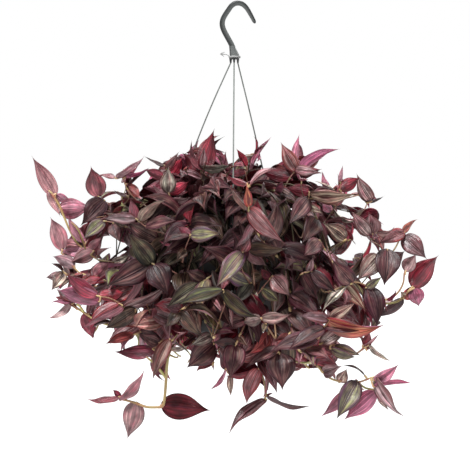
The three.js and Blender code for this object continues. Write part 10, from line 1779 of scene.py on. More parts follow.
      [1221, 464, -3657, 1639, 348, -4090, 73, 22, 64, 300, 66, 176, "dk", "rm", 1],
      [879, 462, -2917, 871, 106, -3287, 100, 2, -4, 215, 42, 183, "nk", "dk", 2],
      [1272, 59, -4579, 1172, -238, -4861, 81, -58, 7, 216, 104, 159, "mg", "pu", 1],
      [1455, 828, -4281, 1468, 1035, -4047, 95, 20, -23, 142, 124, 165, "mv", "mr", 1],
      [1275, 196, -3285, 1377, -2, -2982, 96, 12, -25, 104, 139, 340, "mr", "mr", 2],
      [1357, 823, -4596, 1509, 1183, -4803, 72, -5, 69, 103, 51, 340, "rb", "pm", 1],
      [1376, 673, -4493, 1133, 1013, -4436, 81, 55, 19, 200, 132, 178, "dk", "rm", 1],
      [897, 248, -4732, 553, 454, -4682, 52, 82, 21, 165, 94, 134, "mg", "mb", 1],
      [1035, 260, -4642, 791, -130, -4884, 83, -55, 5, 243, 108, 155, "ms", "rm", 1],
      [1180, 320, -4545, 1175, -6, -4850, 74, -47, 49, 222, 85, 154, "go", "rm", 1],
      [1317, 382, -4449, 907, 173, -4500, 12, -46, 88, 209, 72, 117, "gd", "ml", 1],
      [840, 129, -4788, 804, 463, -4924, 67, 34, 66, 184, 134, 121, "dk", "pu", 1],
      [954, 150, -4731, 580, 59, -4944, 35, -84, -42, 248, 47, 198, "mg", "mr", 1],
      [1636, 495, -3466, 1861, 649, -3158, 84, -12, -53, 221, 71, 163, "mb", "mv", 1]]),
    ("shoot_back_03",
     [[8, 377, -3080, 200, 88, 438, -2852, 191, 320, 591, -2763, 182, 548, 770, -2738, 173, 668, 974, -2882, 164, 663, 1136, -3124, 155, 626, 1275, -3378, 146, 576, 1404, -3636, 137, 523, 1527, -3896, 128, 473, 1648, -4157, 119, 460, 1713, -4293, 110],
      [320, 591, -2763, 150, 386, 726, -2917, 144, 434, 868, -3132, 137, 460, 1014, -3386, 131, 460, 1161, -3653, 124, 431, 1306, -3910, 118, 369, 1446, -4133, 111, 271, 1579, -4299, 105],
      [626, 1275, -3378, 135, 422, 1393, -3356, 118, 309, 1538, -3294, 100],
      [523, 1527, -3896, 135, 455, 1704, -3822, 118, 470, 1865, -3738, 100]],
     [[461, 1706, -4280, 412, 1773, -4514, -2, 96, 28, 77, 72, 340, "mr", "mb", 1],
      [473, 1650, -4162, 642, 1792, -4458, 23, 82, 53, 164, 117, 172, "dm", "mb", 1],
      [503, 1576, -4002, 156, 1853, -4246, 40, 83, 39, 259, 61, 155, "rb", "rm", 1],
      [533, 1503, -3845, 812, 1755, -4219, 17, 75, 64, 253, 95, 111, "mv", "mr", 1],
      [568, 1424, -3678, 81, 1534, -3784, -7, 51, 86, 246, 104, 123, "md", "mr", 1],
      [603, 1335, -3498, 810, 1504, -3857, 51, 63, 59, 226, 72, 218, "md", "mr", 1],
      [633, 1248, -3329, 312, 1538, -3545, 8, 65, 76, 232, 87, 190, "mg", "mr", 1],
      [661, 1140, -3133, 839, 1319, -3510, 47, 69, 55, 231, 65, 188, "md", "pm", 1],
      [277, 1570, -4288, 232, 1698, -4530, 17, 88, 43, 83, 85, 340, "pm", "pu", 1],
      [329, 1501, -4202, -19, 1651, -4353, 22, 90, 38, 210, 45, 172, "mm", "mr", 1],
      [379, 1424, -4098, 514, 1620, -4519, 25, 85, 47, 245, 95, 197, "gs", "ml", 1],
      [417, 1339, -3962, 115, 1671, -4302, 2, 73, 69, 242, 42, 189, "rb", "mr", 1],
      [442, 1250, -3811, 653, 1516, -4256, 25, 78, 58, 228, 87, 192, "ms", "rp", 1],
      [460, 1151, -3635, 151, 1406, -4013, -6, 81, 59, 269, 94, 121, "db", "dm", 1],
      [460, 1067, -3483, 791, 1152, -3909, 76, 18, 63, 237, 106, 114, "mr", "mb", 2],
      [358, 669, -2851, 190, 990, -3108, 68, 64, 35, 181, 88, 186, "nk", "ng", 2],
      [434, 1290, -3881, 70, 1389, -4310, -29, 85, 44, 232, 42, 160, "gs", "ml", 1],
      [421, 829, -3073, 270, 1122, -3465, 11, 82, 57, 243, 54, 180, "db", "ng", 2],
      [358, 622, -2759, 479, 898, -3051, 35, 61, 72, 216, 100, 106, "nk", "nk", 2],
      [312, 1524, -4230, -31, 1582, -4600, -29, 87, 40, 241, 104, 214, "mb", "mr", 1],
      [441, 908, -3202, 805, 1090, -3464, 8, 76, 64, 236, 50, 157, "nk", "nk", 2],
      [83, 434, -2867, -6, 772, -2748, 82, 1, 57, 153, 102, 155, "dk", "dk", 2],
      [457, 1001, -3363, 383, 1299, -3695, 51, 69, 51, 196, 87, 111, "gd", "ml", 2],
      [668, 976, -2884, 660, 1233, -3211, 45, 71, 54, 200, 48, 146, "gd", "mv", 2],
      [616, 1301, -3430, 946, 1260, -3892, 36, 92, 18, 264, 133, 129, "rm", "mv", 1],
      [504, 1572, -3993, 834, 1599, -4511, 71, 51, 48, 260, 101, 174, "gg", "mr", 1],
      [395, 752, -2957, 768, 755, -3263, 23, 93, 29, 205, 81, 108, "md", "dm", 1],
      [557, 1448, -3729, 935, 1354, -4048, 58, 64, 50, 207, 100, 102, "dk", "mr", 1],
      [369, 1447, -4134, 417, 1682, -4599, 68, 62, 39, 241, 130, 179, "mv", "pm", 1],
      [665, 1077, -3037, 361, 1291, -3320, 55, 83, 4, 230, 60, 114, "ms", "mr", 2],
      [460, 1149, -3632, 63, 1325, -3865, 37, 93, 6, 254, 47, 130, "md", "rp", 1],
      [460, 1079, -3504, 818, 1140, -3986, 33, 87, 36, 286, 98, 108, "gd", "pu", 1],
      [657, 1155, -3161, 378, 1469, -3308, 52, 70, 50, 204, 69, 184, "rm", "mr", 1],
      [640, 1222, -3283, 288, 1538, -3401, 17, 51, 84, 232, 80, 215, "dk", "pm", 1],
      [460, 1079, -3504, 144, 1307, -3613, 40, 78, 48, 189, 43, 122, "db", "mb", 1],
      [369, 1447, -4134, -103, 1193, -4050, -23, 66, 72, 254, 106, 204, "md", "mr", 1],
      [528, 1514, -3869, 897, 1468, -4168, 51, 68, 52, 241, 59, 125, "db", "mb", 1],
      [589, 1370, -3568, 453, 1776, -3948, 12, 70, 71, 246, 121, 158, "dk", "pm", 1],
      [421, 829, -3073, -17, 1104, -3004, 49, 63, 60, 219, 77, 100, "db", "nk", 2],
      [657, 1155, -3161, 172, 1449, -3155, 46, 76, 46, 243, 90, 167, "dk", "mv", 2],
      [479, 1635, -4130, 574, 1746, -4665, 41, 88, 25, 232, 107, 179, "rb", "mb", 1],
      [479, 1635, -4130, 98, 1821, -4546, -26, 77, 58, 267, 121, 202, "rm", "mr", 1],
      [616, 1301, -3430, 1032, 1457, -3745, 4, 87, 49, 242, 134, 220, "ms", "pu", 1],
      [528, 1514, -3869, 583, 1818, -4285, 17, 79, 60, 223, 107, 201, "mg", "mv", 1],
      [589, 1370, -3568, 234, 1733, -3706, 52, 70, 50, 233, 138, 140, "gd", "pu", 1],
      [668, 976, -2884, 209, 1312, -3107, 42, 82, 38, 252, 62, 142, "dk", "mv", 2],
      [312, 1524, -4230, 179, 1617, -4647, -12, 96, 25, 221, 139, 188, "go", "ml", 1],
      [83, 434, -2867, 434, 463, -2828, -13, 76, 64, 150, 50, 137, "nk", "nk", 2],
      [504, 1572, -3993, 114, 1905, -4150, 37, 72, 59, 259, 76, 203, "mv", "mr", 1],
      [315, 1530, -3298, 285, 1920, -3407, -22, 25, 94, 195, 128, 166, "rm", "rp", 1],
      [410, 1408, -3350, 18, 1400, -3175, 23, 80, 56, 207, 104, 102, "db", "pu", 1],
      [547, 1321, -3370, 32, 1262, -3220, -3, 96, 29, 237, 68, 118, "md", "mr", 2],
      [469, 1856, -3742, 308, 1815, -3371, -60, 79, -17, 163, 85, 108, "mm", "rm", 1],
      [457, 1722, -3813, 637, 2123, -3861, -76, 40, 52, 192, 41, 158, "dk", "rm", 1]]),
    ("shoot_back_04",
     [[245, 298, -3080, 200, 268, 373, -2793, 178, 384, 648, -2669, 155, 419, 913, -2493, 133, 428, 1058, -2385, 110]],
     [[427, 1046, -2393, 442, 1339, -2337, -4, -19, 98, 90, 54, 340, "mr", "rp", 1],
      [418, 901, -2500, 401, 1127, -2222, 68, 59, -44, 177, 92, 198, "mm", "rm", 1],
      [396, 741, -2607, 557, 1142, -2872, 45, 36, 82, 259, 66, 198, "mg", "pm", 2],
      [358, 586, -2697, 203, 1029, -2543, 94, 24, 24, 256, 94, 168, "mm", "dk", 2],
      [416, 890, -2508, 579, 1310, -2680, 17, 32, 93, 248, 115, 172, "mm", "mr", 1],
      [371, 618, -2683, 212, 885, -2177, 60, 77, -22, 305, 122, 213, "gd", "mr", 2],
      [426, 1016, -2416, 789, 1101, -2035, -55, 75, 36, 235, 98, 121, "mg", "mb", 1],
      [316, 485, -2743, 82, 707, -2470, 83, 34, 44, 209, 79, 147, "md", "nk", 2],
      [426, 1016, -2416, 653, 1373, -2148, -88, 28, 38, 236, 76, 161, "mr", "pm", 1],
      [400, 770, -2588, 438, 1031, -2246, 92, -36, 18, 186, 102, 137, "dk", "rp", 1],
      [316, 485, -2743, 588, 726, -2751, 25, -25, 94, 173, 56, 117, "dk", "dm", 2]]),
    ("shoot_left_02",
     [[-681, 238, -3080, 200, -748, 277, -2809, 178, -1000, 472, -2879, 155, -1248, 616, -2760, 133, -1377, 677, -2644, 110],
      [-1000, 472, -2879, 135, -1107, 458, -3007, 118, -1197, 472, -3141, 100]],
     [[-1367, 672, -2653, -1527, 776, -2469, -60, -79, -8, 112, 95, 181, "dm", "mr", 1],
      [-1286, 634, -2725, -1694, 521, -2757, -26, 77, 58, 178, 55, 137, "dm", "nk", 1],
      [-1179, 576, -2793, -1547, 218, -2940, -61, 34, 72, 221, 41, 121, "mg", "mb", 2],
      [-1072, 514, -2844, -1205, 1052, -2746, -97, -25, 6, 267, 89, 202, "gg", "rp", 2],
      [-941, 426, -2862, -1455, 261, -2996, -38, 72, 57, 280, 121, 111, "gs", "mv", 2],
      [-734, 269, -2867, -881, 713, -2777, 15, -15, 98, 190, 49, 160, "dk", "nk", 2],
      [-1213, 596, -2777, -1642, 954, -2862, -61, -62, 49, 290, 93, 200, "ms", "mr", 1],
      [-985, 460, -2874, -1432, 526, -3132, -48, -52, 71, 261, 133, 122, "nk", "nk", 2],
      [-838, 347, -2834, -1158, 327, -3089, -54, 54, 64, 166, 103, 150, "ng", "dm", 2],
      [-1349, 664, -2670, -1657, 1177, -2585, -46, -41, 79, 282, 45, 173, "mv", "pu", 1],
      [-985, 460, -2874, -1561, 512, -3017, -17, 47, 86, 264, 70, 174, "mv", "mv", 2],
      [-1349, 664, -2670, -1645, 1096, -2752, -45, -14, 88, 219, 125, 126, "md", "mr", 1],
      [-1213, 596, -2777, -1445, 1156, -2994, -92, -39, -2, 274, 62, 208, "mv", "mr", 1],
      [-838, 347, -2834, -853, 777, -2939, -70, 15, 70, 214, 52, 193, "db", "nk", 2],
      [-1191, 471, -3133, -1439, 204, -3289, -78, 56, 29, 181, 121, 172, "mm", "dm", 2]]),
    ("shoot_right_03",
     [[303, -55, -3080, 200, 302, -10, -2792, 178, 405, 139, -2552, 155, 551, 132, -2290, 133, 645, 137, -2162, 110],
      [405, 139, -2552, 150, 226, 47, -2334, 127, 236, 21, -2138, 105],
      [226, 47, -2334, 135, 202, -97, -2094, 118, 252, -200, -2007, 100],
      [226, 47, -2334, 135, 201, -86, -2087, 118, 249, -200, -1995, 100],
      [405, 139, -2552, 135, 452, 47, -2278, 118, 538, -23, -2163, 100]],
     [[636, 137, -2174, 887, 192, -1972, -55, -30, 77, 137, 69, 181, "md", "mr", 1],
      [564, 133, -2273, 897, -21, -2176, 10, 67, 74, 109, 103, 340, "mr", "mr", 1],
      [498, 135, -2385, 596, 554, -2202, 81, -38, 45, 238, 56, 106, "rm", "pu", 1],
      [414, 138, -2536, 675, -308, -2306, 45, 60, 66, 233, 119, 176, "mr", "mr", 2],
      [230, 41, -2272, 286, -330, -2158, 33, 42, 85, 121, 43, 340, "mq", "dm", 1],
      [287, 78, -2408, 126, 276, -2015, 92, -1, 39, 194, 61, 195, "ms", "mr", 1],
      [350, 59, -2680, 565, 304, -2500, -72, 13, 68, 175, 81, 214, "md", "nk", 2],
      [413, 138, -2538, 850, -133, -2575, 52, 80, 30, 251, 133, 216, "md", "pu", 2],
      [259, 64, -2374, 103, 494, -2138, 80, -4, 60, 209, 102, 167, "mm", "rp", 2],
      [586, 134, -2233, 1151, -132, -2199, 50, 81, 30, 226, 67, 187, "gd", "mm", 1],
      [593, 134, -2232, 903, -273, -2132, 57, 58, 59, 222, 50, 185, "mg", "mv", 1],
      [499, 135, -2383, 663, 739, -2253, 51, -31, 80, 296, 122, 146, "ms", "mr", 1],
      [499, 135, -2383, 733, 502, -2136, 78, -60, 16, 256, 41, 218, "db", "mb", 1],
      [206, -73, -2134, 184, -456, -2172, 74, -11, 67, 159, 60, 166, "md", "dm", 1],
      [244, -193, -1990, 235, -256, -1775, 97, -18, 16, 100, 59, 218, "rm", "cr", 1],
      [533, -19, -2170, 779, -288, -2174, 65, 58, 49, 95, 127, 340, "mr", "mr", 1],
      [452, 53, -2278, 683, -395, -2342, 66, 37, 65, 250, 126, 104, "mg", "rm", 1]]),
    ("shoot_back_05",
     [[-135, 323, -3080, 200, -100, 392, -2805, 185, 8, 643, -2640, 170, 118, 917, -2517, 155, 205, 1217, -2487, 140, 203, 1482, -2663, 125, 229, 1608, -2776, 110],
      [-135, 323, -3080, 150, -143, 395, -2763, 139, -192, 478, -2441, 127, -232, 611, -2207, 116, -211, 834, -2157, 105],
      [205, 1217, -2487, 135, 437, 1259, -2396, 118, 614, 1333, -2352, 100]],
     [[227, 1597, -2766, 313, 1746, -2930, 14, 70, 70, 115, 74, 166, "rb", "mv", 1],
      [208, 1504, -2683, 110, 1697, -2988, 79, 60, 13, 94, 124, 340, "pk", "mv", 1],
      [204, 1370, -2588, 476, 1622, -2835, 11, 63, 77, 217, 90, 164, "mv", "mb", 1],
      [205, 1230, -2495, -131, 1556, -2661, 44, 73, 53, 254, 40, 139, "mr", "mr", 1],
      [164, 1076, -2501, 611, 1210, -2429, -25, 33, 91, 199, 109, 165, "go", "mv", 1],
      [116, 912, -2520, 23, 1392, -2671, 64, 34, 69, 225, 56, 136, "dm", "mr", 1],
      [-192, 478, -2440, 203, 741, -2111, -63, 76, 15, 267, 74, 194, "rb", "mb", 1],
      [-163, 428, -2633, -607, 465, -2365, 36, 79, 50, 227, 108, 141, "rm", "mv", 2],
      [-150, 406, -2721, -472, 722, -2925, 14, 63, 76, 202, 121, 183, "ng", "nk", 2],
      [-231, 788, -2168, 43, 1069, -2237, -25, 29, 92, 181, 130, 171, "db", "pm", 1],
      [-212, 544, -2324, 82, 1055, -2303, 85, -48, -24, 264, 106, 115, "ms", "pu", 1],
      [45, 736, -2598, 362, 1058, -2874, -2, 66, 75, 219, 107, 165, "dm", "mr", 2],
      [225, 1590, -2759, 498, 1724, -3131, 33, 78, 53, 199, 78, 160, "ms", "mv", 1],
      [204, 1341, -2569, 615, 1416, -2850, 17, 86, 48, 241, 65, 116, "dk", "pu", 1],
      [149, 1024, -2506, 525, 1341, -2271, -72, 52, 45, 231, 61, 149, "mm", "mr", 1],
      [-188, 470, -2470, 257, 464, -2416, -2, 96, 29, 191, 128, 147, "md", "rm", 2],
      [203, 1472, -2656, 192, 1944, -2878, 72, 31, 62, 251, 90, 148, "ms", "mr", 1],
      [203, 1472, -2656, 81, 1960, -2791, -18, 22, 96, 243, 86, 125, "gs", "mv", 1],
      [201, 1203, -2488, 25, 1680, -2652, 68, 45, 58, 259, 113, 157, "mr", "mb", 1],
      [225, 1590, -2759, 653, 1759, -3067, 17, 75, 64, 225, 60, 186, "md", "mr", 1],
      [605, 1329, -2354, 911, 1491, -2433, 31, -12, 94, 101, 94, 340, "pm", "rm", 1],
      [444, 1262, -2394, 748, 1499, -2578, 10, 52, 85, 187, 120, 180, "dk", "mb", 1]]),
    ("shoot_left_03",
     [[-379, 64, -3080, 200, -460, 156, -2829, 190, -633, 365, -2690, 180, -827, 586, -2613, 170, -1023, 765, -2723, 160, -1150, 830, -2992, 150, -1248, 862, -3279, 140, -1336, 886, -3571, 130, -1424, 918, -3862, 120, -1481, 959, -4009, 110],
      [-1150, 830, -2992, 150, -1211, 812, -3225, 142, -1258, 757, -3506, 135, -1308, 683, -3808, 127, -1374, 606, -4103, 120, -1471, 543, -4364, 112, -1615, 510, -4564, 105],
      [-1150, 830, -2992, 150, -1266, 957, -3213, 139, -1415, 1073, -3463, 127, -1539, 1172, -3728, 116, -1585, 1246, -3991, 105],
      [-1266, 957, -3213, 135, -1377, 1082, -3162, 123, -1500, 1222, -3054, 112, -1635, 1332, -3015, 100],
      [-1471, 543, -4364, 135, -1244, 543, -4433, 123, -937, 559, -4465, 112, -871, 620, -4482, 100],
      [-1258, 757, -3506, 135, -1252, 575, -3464, 118, -1301, 453, -3426, 100],
      [-1308, 683, -3808, 135, -1081, 608, -3876, 123, -789, 535, -3905, 112, -710, 563, -3963, 100],
      [-1471, 543, -4364, 135, -1300, 491, -4500, 118, -1203, 478, -4628, 100],
      [-1308, 683, -3808, 135, -1367, 477, -3799, 118, -1400, 362, -3823, 100],
      [-1336, 886, -3571, 135, -1304, 976, -3716, 128, -1232, 1091, -3866, 121, -1161, 1216, -4006, 114, -1134, 1338, -4120, 107, -1192, 1441, -4192, 100],
      [-1471, 543, -4364, 135, -1327, 496, -4491, 123, -1124, 454, -4608, 112, -1056, 499, -4709, 100],
      [-1415, 1073, -3463, 135, -1319, 1192, -3465, 118, -1223, 1324, -3472, 100],
      [-1023, 765, -2723, 135, -1089, 736, -2567, 123, -1146, 684, -2339, 112, -1209, 723, -2252, 100],
      [-1471, 543, -4364, 135, -1334, 623, -4510, 123, -1141, 738, -4647, 112, -1121, 812, -4766, 100],
      [-1266, 957, -3213, 135, -1466, 850, -3165, 118, -1672, 793, -3121, 100],
      [-1471, 543, -4364, 135, -1524, 688, -4387, 123, -1574, 885, -4366, 112, -1666, 1013, -4313, 100],
      [-1374, 606, -4103, 135, -1272, 595, -4277, 128, -1105, 582, -4476, 121, -930, 586, -4656, 114, -805, 628, -4770, 107, -786, 729, -4774, 100],
      [-1266, 957, -3213, 135, -1420, 1053, -3207, 123, -1593, 1156, -3149, 112, -1742, 1268, -3088, 100],
      [-1471, 543, -4364, 135, -1315, 573, -4522, 126, -1062, 623, -4690, 118, -852, 688, -4798, 109, -829, 758, -4775, 100]],
     [[-1475, 955, -3995, -1531, 1078, -4181, -63, 55, 55, 67, 84, 340, "mr", "mr", 1],
      [-1424, 918, -3861, -1639, 835, -4084, -74, 15, 66, 148, 112, 207, "rm", "mr", 1],
      [-1379, 902, -3712, -1451, 1089, -4146, -63, 67, 39, 202, 105, 160, "mm", "ml", 1],
      [-1316, 881, -3505, -1681, 665, -3771, -68, 34, 65, 200, 107, 213, "rm", "mr", 1],
      [-1252, 863, -3293, -1199, 1234, -3623, -34, 65, 68, 258, 95, 194, "mb", "mr", 1],
      [-1184, 841, -3093, -1425, 537, -3463, -87, 46, 19, 278, 129, 105, "go", "pm", 2],
      [-1114, 812, -2916, -1126, 1160, -3201, -90, 26, 36, 218, 82, 173, "dm", "pm", 2],
      [-1526, 530, -4440, -1564, 714, -4725, -92, 26, 29, 142, 68, 134, "mr", "pu", 1],
      [-1462, 555, -4312, -1585, 167, -4614, -94, 34, 1, 194, 107, 105, "rb", "mr", 1],
      [-1398, 590, -4184, -1363, 965, -4546, -60, -58, -56, 218, 120, 211, "ms", "pm", 1],
      [-1345, 639, -3975, -1558, 183, -4253, -88, 14, 45, 252, 99, 142, "db", "mr", 1],
      [-1306, 685, -3797, -1446, 833, -4236, -66, 62, 42, 209, 105, 104, "go", "ml", 1],
      [-1583, 1242, -3977, -1673, 1258, -4244, -74, 61, 29, 88, 73, 340, "mr", "mr", 1],
      [-1556, 1199, -3825, -1266, 1464, -3951, -40, 72, 57, 181, 100, 177, "mg", "mr", 1],
      [-1508, 1147, -3662, -1806, 1059, -3967, -33, 94, 5, 225, 86, 154, "gg", "mr", 1],
      [-1434, 1088, -3503, -1444, 1534, -3895, -75, 42, 50, 260, 57, 176, "md", "mr", 1],
      [-1350, 1022, -3362, -1737, 1101, -3570, -30, 35, 89, 238, 110, 101, "rm", "pm", 1],
      [-1189, 818, -3141, -862, 1192, -3411, -55, 75, 38, 258, 102, 136, "gd", "mr", 2],
      [-1253, 864, -3297, -1138, 1401, -3519, -56, 42, 71, 244, 120, 166, "rm", "pm", 1],
      [-1271, 737, -3586, -1316, 968, -4113, -44, 81, 39, 238, 73, 104, "db", "mv", 1],
      [-1094, 801, -2873, -1455, 890, -3297, -76, -3, 64, 270, 117, 160, "dk", "mr", 2],
      [-1306, 878, -3473, -1694, 844, -3869, -72, 9, 69, 282, 100, 111, "mv", "rm", 1],
      [-1242, 776, -3408, -1629, 456, -3540, -65, 75, 9, 226, 129, 151, "mr", "ml", 2],
      [-1544, 1180, -3756, -1474, 1510, -4187, -33, 78, 54, 240, 60, 136, "mm", "ml", 1],
      [-1297, 699, -3742, -1444, 595, -4083, -86, 44, 24, 184, 89, 170, "gd", "pu", 1],
      [-454, 149, -2847, -469, 555, -2914, -92, 3, 38, 209, 120, 182, "ng", "ng", 2],
      [-834, 593, -2617, -992, 1047, -3025, -53, 46, 72, 257, 72, 136, "md", "rp", 2],
      [-1418, 1076, -3469, -1317, 1385, -3910, 4, 81, 58, 225, 139, 144, "rm", "pu", 1],
      [-1409, 912, -3812, -1744, 619, -4186, -78, 58, 24, 299, 97, 124, "mv", "pm", 1],
      [-1352, 1024, -3358, -1466, 1433, -3647, -92, 2, 39, 262, 109, 209, "mm", "pm", 1],
      [-1412, 581, -4206, -1585, 715, -4672, -91, 16, 38, 248, 84, 129, "rb", "ml", 1],
      [-620, 349, -2700, -690, 544, -2308, -98, 3, -19, 214, 132, 174, "nk", "nk", 2],
      [-1568, 1218, -3891, -1864, 1347, -4171, -57, 33, 75, 187, 101, 189, "rb", "ml", 1],
      [-1466, 949, -3971, -1802, 1008, -4264, -57, 39, 73, 199, 116, 185, "dk", "mb", 1],
      [-1252, 864, -3306, -1700, 603, -3605, -55, 37, 75, 298, 75, 142, "ms", "mr", 1],
      [-1189, 818, -3141, -1480, 447, -3322, -82, 50, 29, 211, 79, 144, "dk", "mv", 2],
      [-1568, 1218, -3891, -1861, 929, -4302, -85, 41, 32, 252, 53, 172, "gs", "rm", 1],
      [-1409, 912, -3812, -1829, 832, -4026, -46, 55, 70, 208, 59, 205, "rm", "rp", 1],
      [-1297, 699, -3742, -1698, 507, -3792, -29, 39, 87, 204, 82, 131, "dk", "ml", 1],
      [-1352, 1024, -3358, -1772, 743, -3719, -62, 77, 12, 296, 139, 116, "rm", "dm", 1],
      [-1242, 776, -3408, -1456, 420, -3675, -67, -15, 73, 254, 89, 141, "gd", "mr", 2],
      [-1475, 1121, -3592, -1946, 1236, -3716, -15, 37, 92, 238, 103, 157, "rm", "mr", 1],
      [-931, 681, -2671, -986, 1245, -2852, -90, 5, 44, 241, 102, 184, "mv", "mr", 1],
      [-1466, 949, -3971, -1824, 1075, -4344, -31, 77, 56, 232, 81, 131, "dm", "pm", 1],
      [-1356, 894, -3639, -1295, 1359, -4005, -56, 56, 62, 254, 101, 200, "rm", "mv", 1],
      [-1418, 1076, -3469, -1279, 1447, -3787, -58, 64, 50, 233, 97, 175, "gs", "pu", 1],
      [-737, 483, -2649, -1188, 480, -2745, -19, 49, 85, 234, 126, 150, "mq", "dk", 2],
      [-620, 349, -2700, -594, 606, -2320, -96, 24, -10, 209, 107, 163, "db", "dk", 2],
      [-1475, 1121, -3592, -1878, 780, -3706, -58, 46, 68, 223, 47, 186, "rm", "mr", 1],
      [-1271, 737, -3586, -1647, 699, -3804, -22, 95, 22, 199, 125, 212, "dk", "mv", 1],
      [-1094, 801, -2873, -1099, 1171, -3024, -73, 25, 63, 193, 126, 212, "gd", "mr", 1],
      [-1544, 1180, -3756, -1381, 1388, -4109, 32, 74, 59, 205, 72, 193, "rm", "pu", 1],
      [-1208, 893, -3101, -1239, 1389, -3456, -9, 58, 81, 278, 123, 209, "dk", "rm", 1],
      [-1270, 961, -3204, -1710, 654, -3385, -58, 22, 78, 274, 43, 135, "dm", "dm", 1],
      [-1316, 654, -3903, -1077, 1063, -4138, -89, 45, -5, 246, 120, 168, "db", "rm", 1],
      [-1628, 1326, -3017, -1987, 1332, -2934, 14, 83, 54, 174, 74, 198, "mm", "rp", 1],
      [-1507, 1227, -3052, -1943, 1063, -2819, -28, 95, 15, 234, 43, 210, "mb", "rp", 1],
      [-1400, 1108, -3142, -1536, 1510, -2974, -95, -23, -22, 202, 119, 128, "gg", "pm", 1],
      [-878, 613, -4480, -761, 898, -4553, -83, 43, 36, 143, 73, 132, "dk", "mr", 1],
      [-1030, 554, -4456, -839, 895, -4723, -47, 69, 55, 215, 101, 121, "mv", "pm", 1],
      [-1215, 544, -4436, -1294, 933, -4694, -72, 28, 64, 241, 99, 198, "gg", "pm", 1],
      [-1369, 543, -4395, -959, 405, -4201, -17, 60, 78, 214, 81, 190, "db", "mb", 1],
      [-1298, 461, -3429, -1367, 367, -3089, -96, 27, -12, 180, 116, 169, "dk", "mm", 2],
      [-1253, 603, -3470, -1414, 271, -3875, -95, 10, 29, 280, 100, 173, "db", "rm", 2],
      [-718, 560, -3958, -803, 640, -4276, -91, 27, 31, 85, 124, 340, "br", "pm", 2],
      [-1208, 650, -3838, -812, 464, -3960, 49, 69, 53, 223, 81, 153, "gd", "rm", 2],
      [-1209, 479, -4620, -1097, 307, -4876, -71, 40, -58, 154, 73, 130, "gs", "mr", 1],
      [-1311, 494, -4491, -980, 721, -4761, 37, 44, 82, 229, 83, 152, "db", "mb", 1],
      [-1397, 371, -3821, -1552, 373, -4137, -88, 18, 43, 175, 42, 122, "mv", "mr", 1],
      [-1350, 536, -3802, -1728, 466, -4142, -64, -20, 75, 215, 121, 148, "md", "ml", 1],
      [-1179, 1185, -3971, -1320, 1360, -4458, -77, 50, 40, 224, 117, 149, "mr", "mr", 1],
      [-1236, 1084, -3858, -1514, 1249, -4259, -31, 78, 54, 247, 123, 152, "mr", "mr", 1],
      [-1062, 496, -4701, -1032, 596, -5010, -55, 81, 21, 137, 120, 201, "db", "mv", 1],
      [-1350, 503, -4471, -936, 561, -4681, 9, 90, 43, 229, 84, 137, "rb", "rm", 1],
      [-1228, 1316, -3472, -1280, 1650, -3668, -69, 29, 67, 193, 136, 166, "mv", "rm", 1],
      [-1077, 731, -2549, -1195, 980, -2179, -41, 71, -58, 242, 138, 114, "dk", "rp", 1],
      [-1122, 807, -4758, -1204, 878, -5038, -46, 82, 34, 88, 73, 340, "mr", "pu", 1],
      [-1179, 716, -4620, -799, 847, -4342, -56, 72, 42, 202, 112, 137, "dk", "mr", 1],
      [-1303, 642, -4533, -1097, 995, -4735, -89, 34, -30, 223, 99, 135, "ms", "ml", 1],
      [-1495, 842, -3159, -1767, 590, -2894, -80, 37, -47, 208, 109, 210, "db", "pm", 1],
      [-1568, 864, -4373, -1710, 1233, -4554, -86, -37, 35, 251, 54, 116, "mm", "rm", 1],
      [-1001, 584, -4582, -982, 684, -4993, -80, 60, 11, 190, 50, 171, "ms", "mb", 1],
      [-1135, 584, -4440, -619, 671, -4347, -23, 82, 53, 261, 88, 110, "mr", "mb", 1],
      [-1734, 1262, -3091, -1485, 1517, -3067, -69, 70, -20, 162, 112, 121, "mb", "pm", 1],
      [-1498, 1099, -3181, -1829, 973, -2989, -20, 94, 28, 201, 126, 212, "rm", "ml", 1],
      [-933, 658, -4758, -926, 843, -5135, -89, 38, 24, 238, 125, 188, "db", "ml", 1]]),
    ("shoot_back_06",
     [[-25, 590, -3080, 200, -68, 654, -2825, 182, -322, 708, -2720, 164, -555, 778, -2587, 146, -683, 877, -2357, 128, -741, 938, -2244, 110],
      [-322, 708, -2720, 150, -402, 704, -2385, 127, -484, 763, -2122, 105]],
     [[-734, 932, -2256, -830, 1085, -2095, 51, 75, -41, 60, 125, 340, "rd", "mb", 1],
      [-681, 874, -2363, -1056, 990, -2328, 30, 95, 7, 168, 42, 126, "mg", "mr", 1],
      [-610, 820, -2488, -412, 1020, -2082, -88, 40, 23, 243, 97, 138, "md", "mr", 1],
      [-504, 763, -2616, -980, 918, -2947, -39, 47, 79, 274, 57, 111, "md", "nk", 2],
      [-331, 711, -2715, -618, 743, -2457, -46, 66, -59, 161, 64, 197, "md", "nk", 2],
      [-480, 760, -2136, -557, 832, -1917, 48, 87, -12, 100, 113, 114, "mb", "pu", 1],
      [-433, 726, -2286, -806, 782, -2277, 13, 79, 60, 177, 56, 154, "mv", "rm", 1],
      [-388, 705, -2445, -156, 970, -2224, -82, 53, 22, 172, 83, 151, "go", "ml", 1],
      [-435, 742, -2656, -613, 1023, -2995, 1, 77, 64, 192, 65, 192, "go", "dm", 2],
      [-278, 699, -2739, -593, 870, -3095, -38, 65, 65, 221, 105, 184, "nk", "dk", 2],
      [-714, 910, -2296, -1191, 1117, -2290, 31, 70, 64, 247, 68, 117, "rm", "mv", 1],
      [-54, 633, -2911, -160, 917, -2682, 96, 20, 20, 156, 75, 109, "gd", "nk", 2],
      [-481, 759, -2142, -264, 1083, -1667, -27, -70, 66, 224, 87, 197, "mr", "rm", 1],
      [-126, 667, -2801, -493, 1004, -2914, 48, 70, 54, 210, 96, 201, "ng", "ng", 2],
      [-576, 794, -2550, -1032, 881, -2540, 13, 61, 78, 209, 139, 170, "mr", "mr", 1],
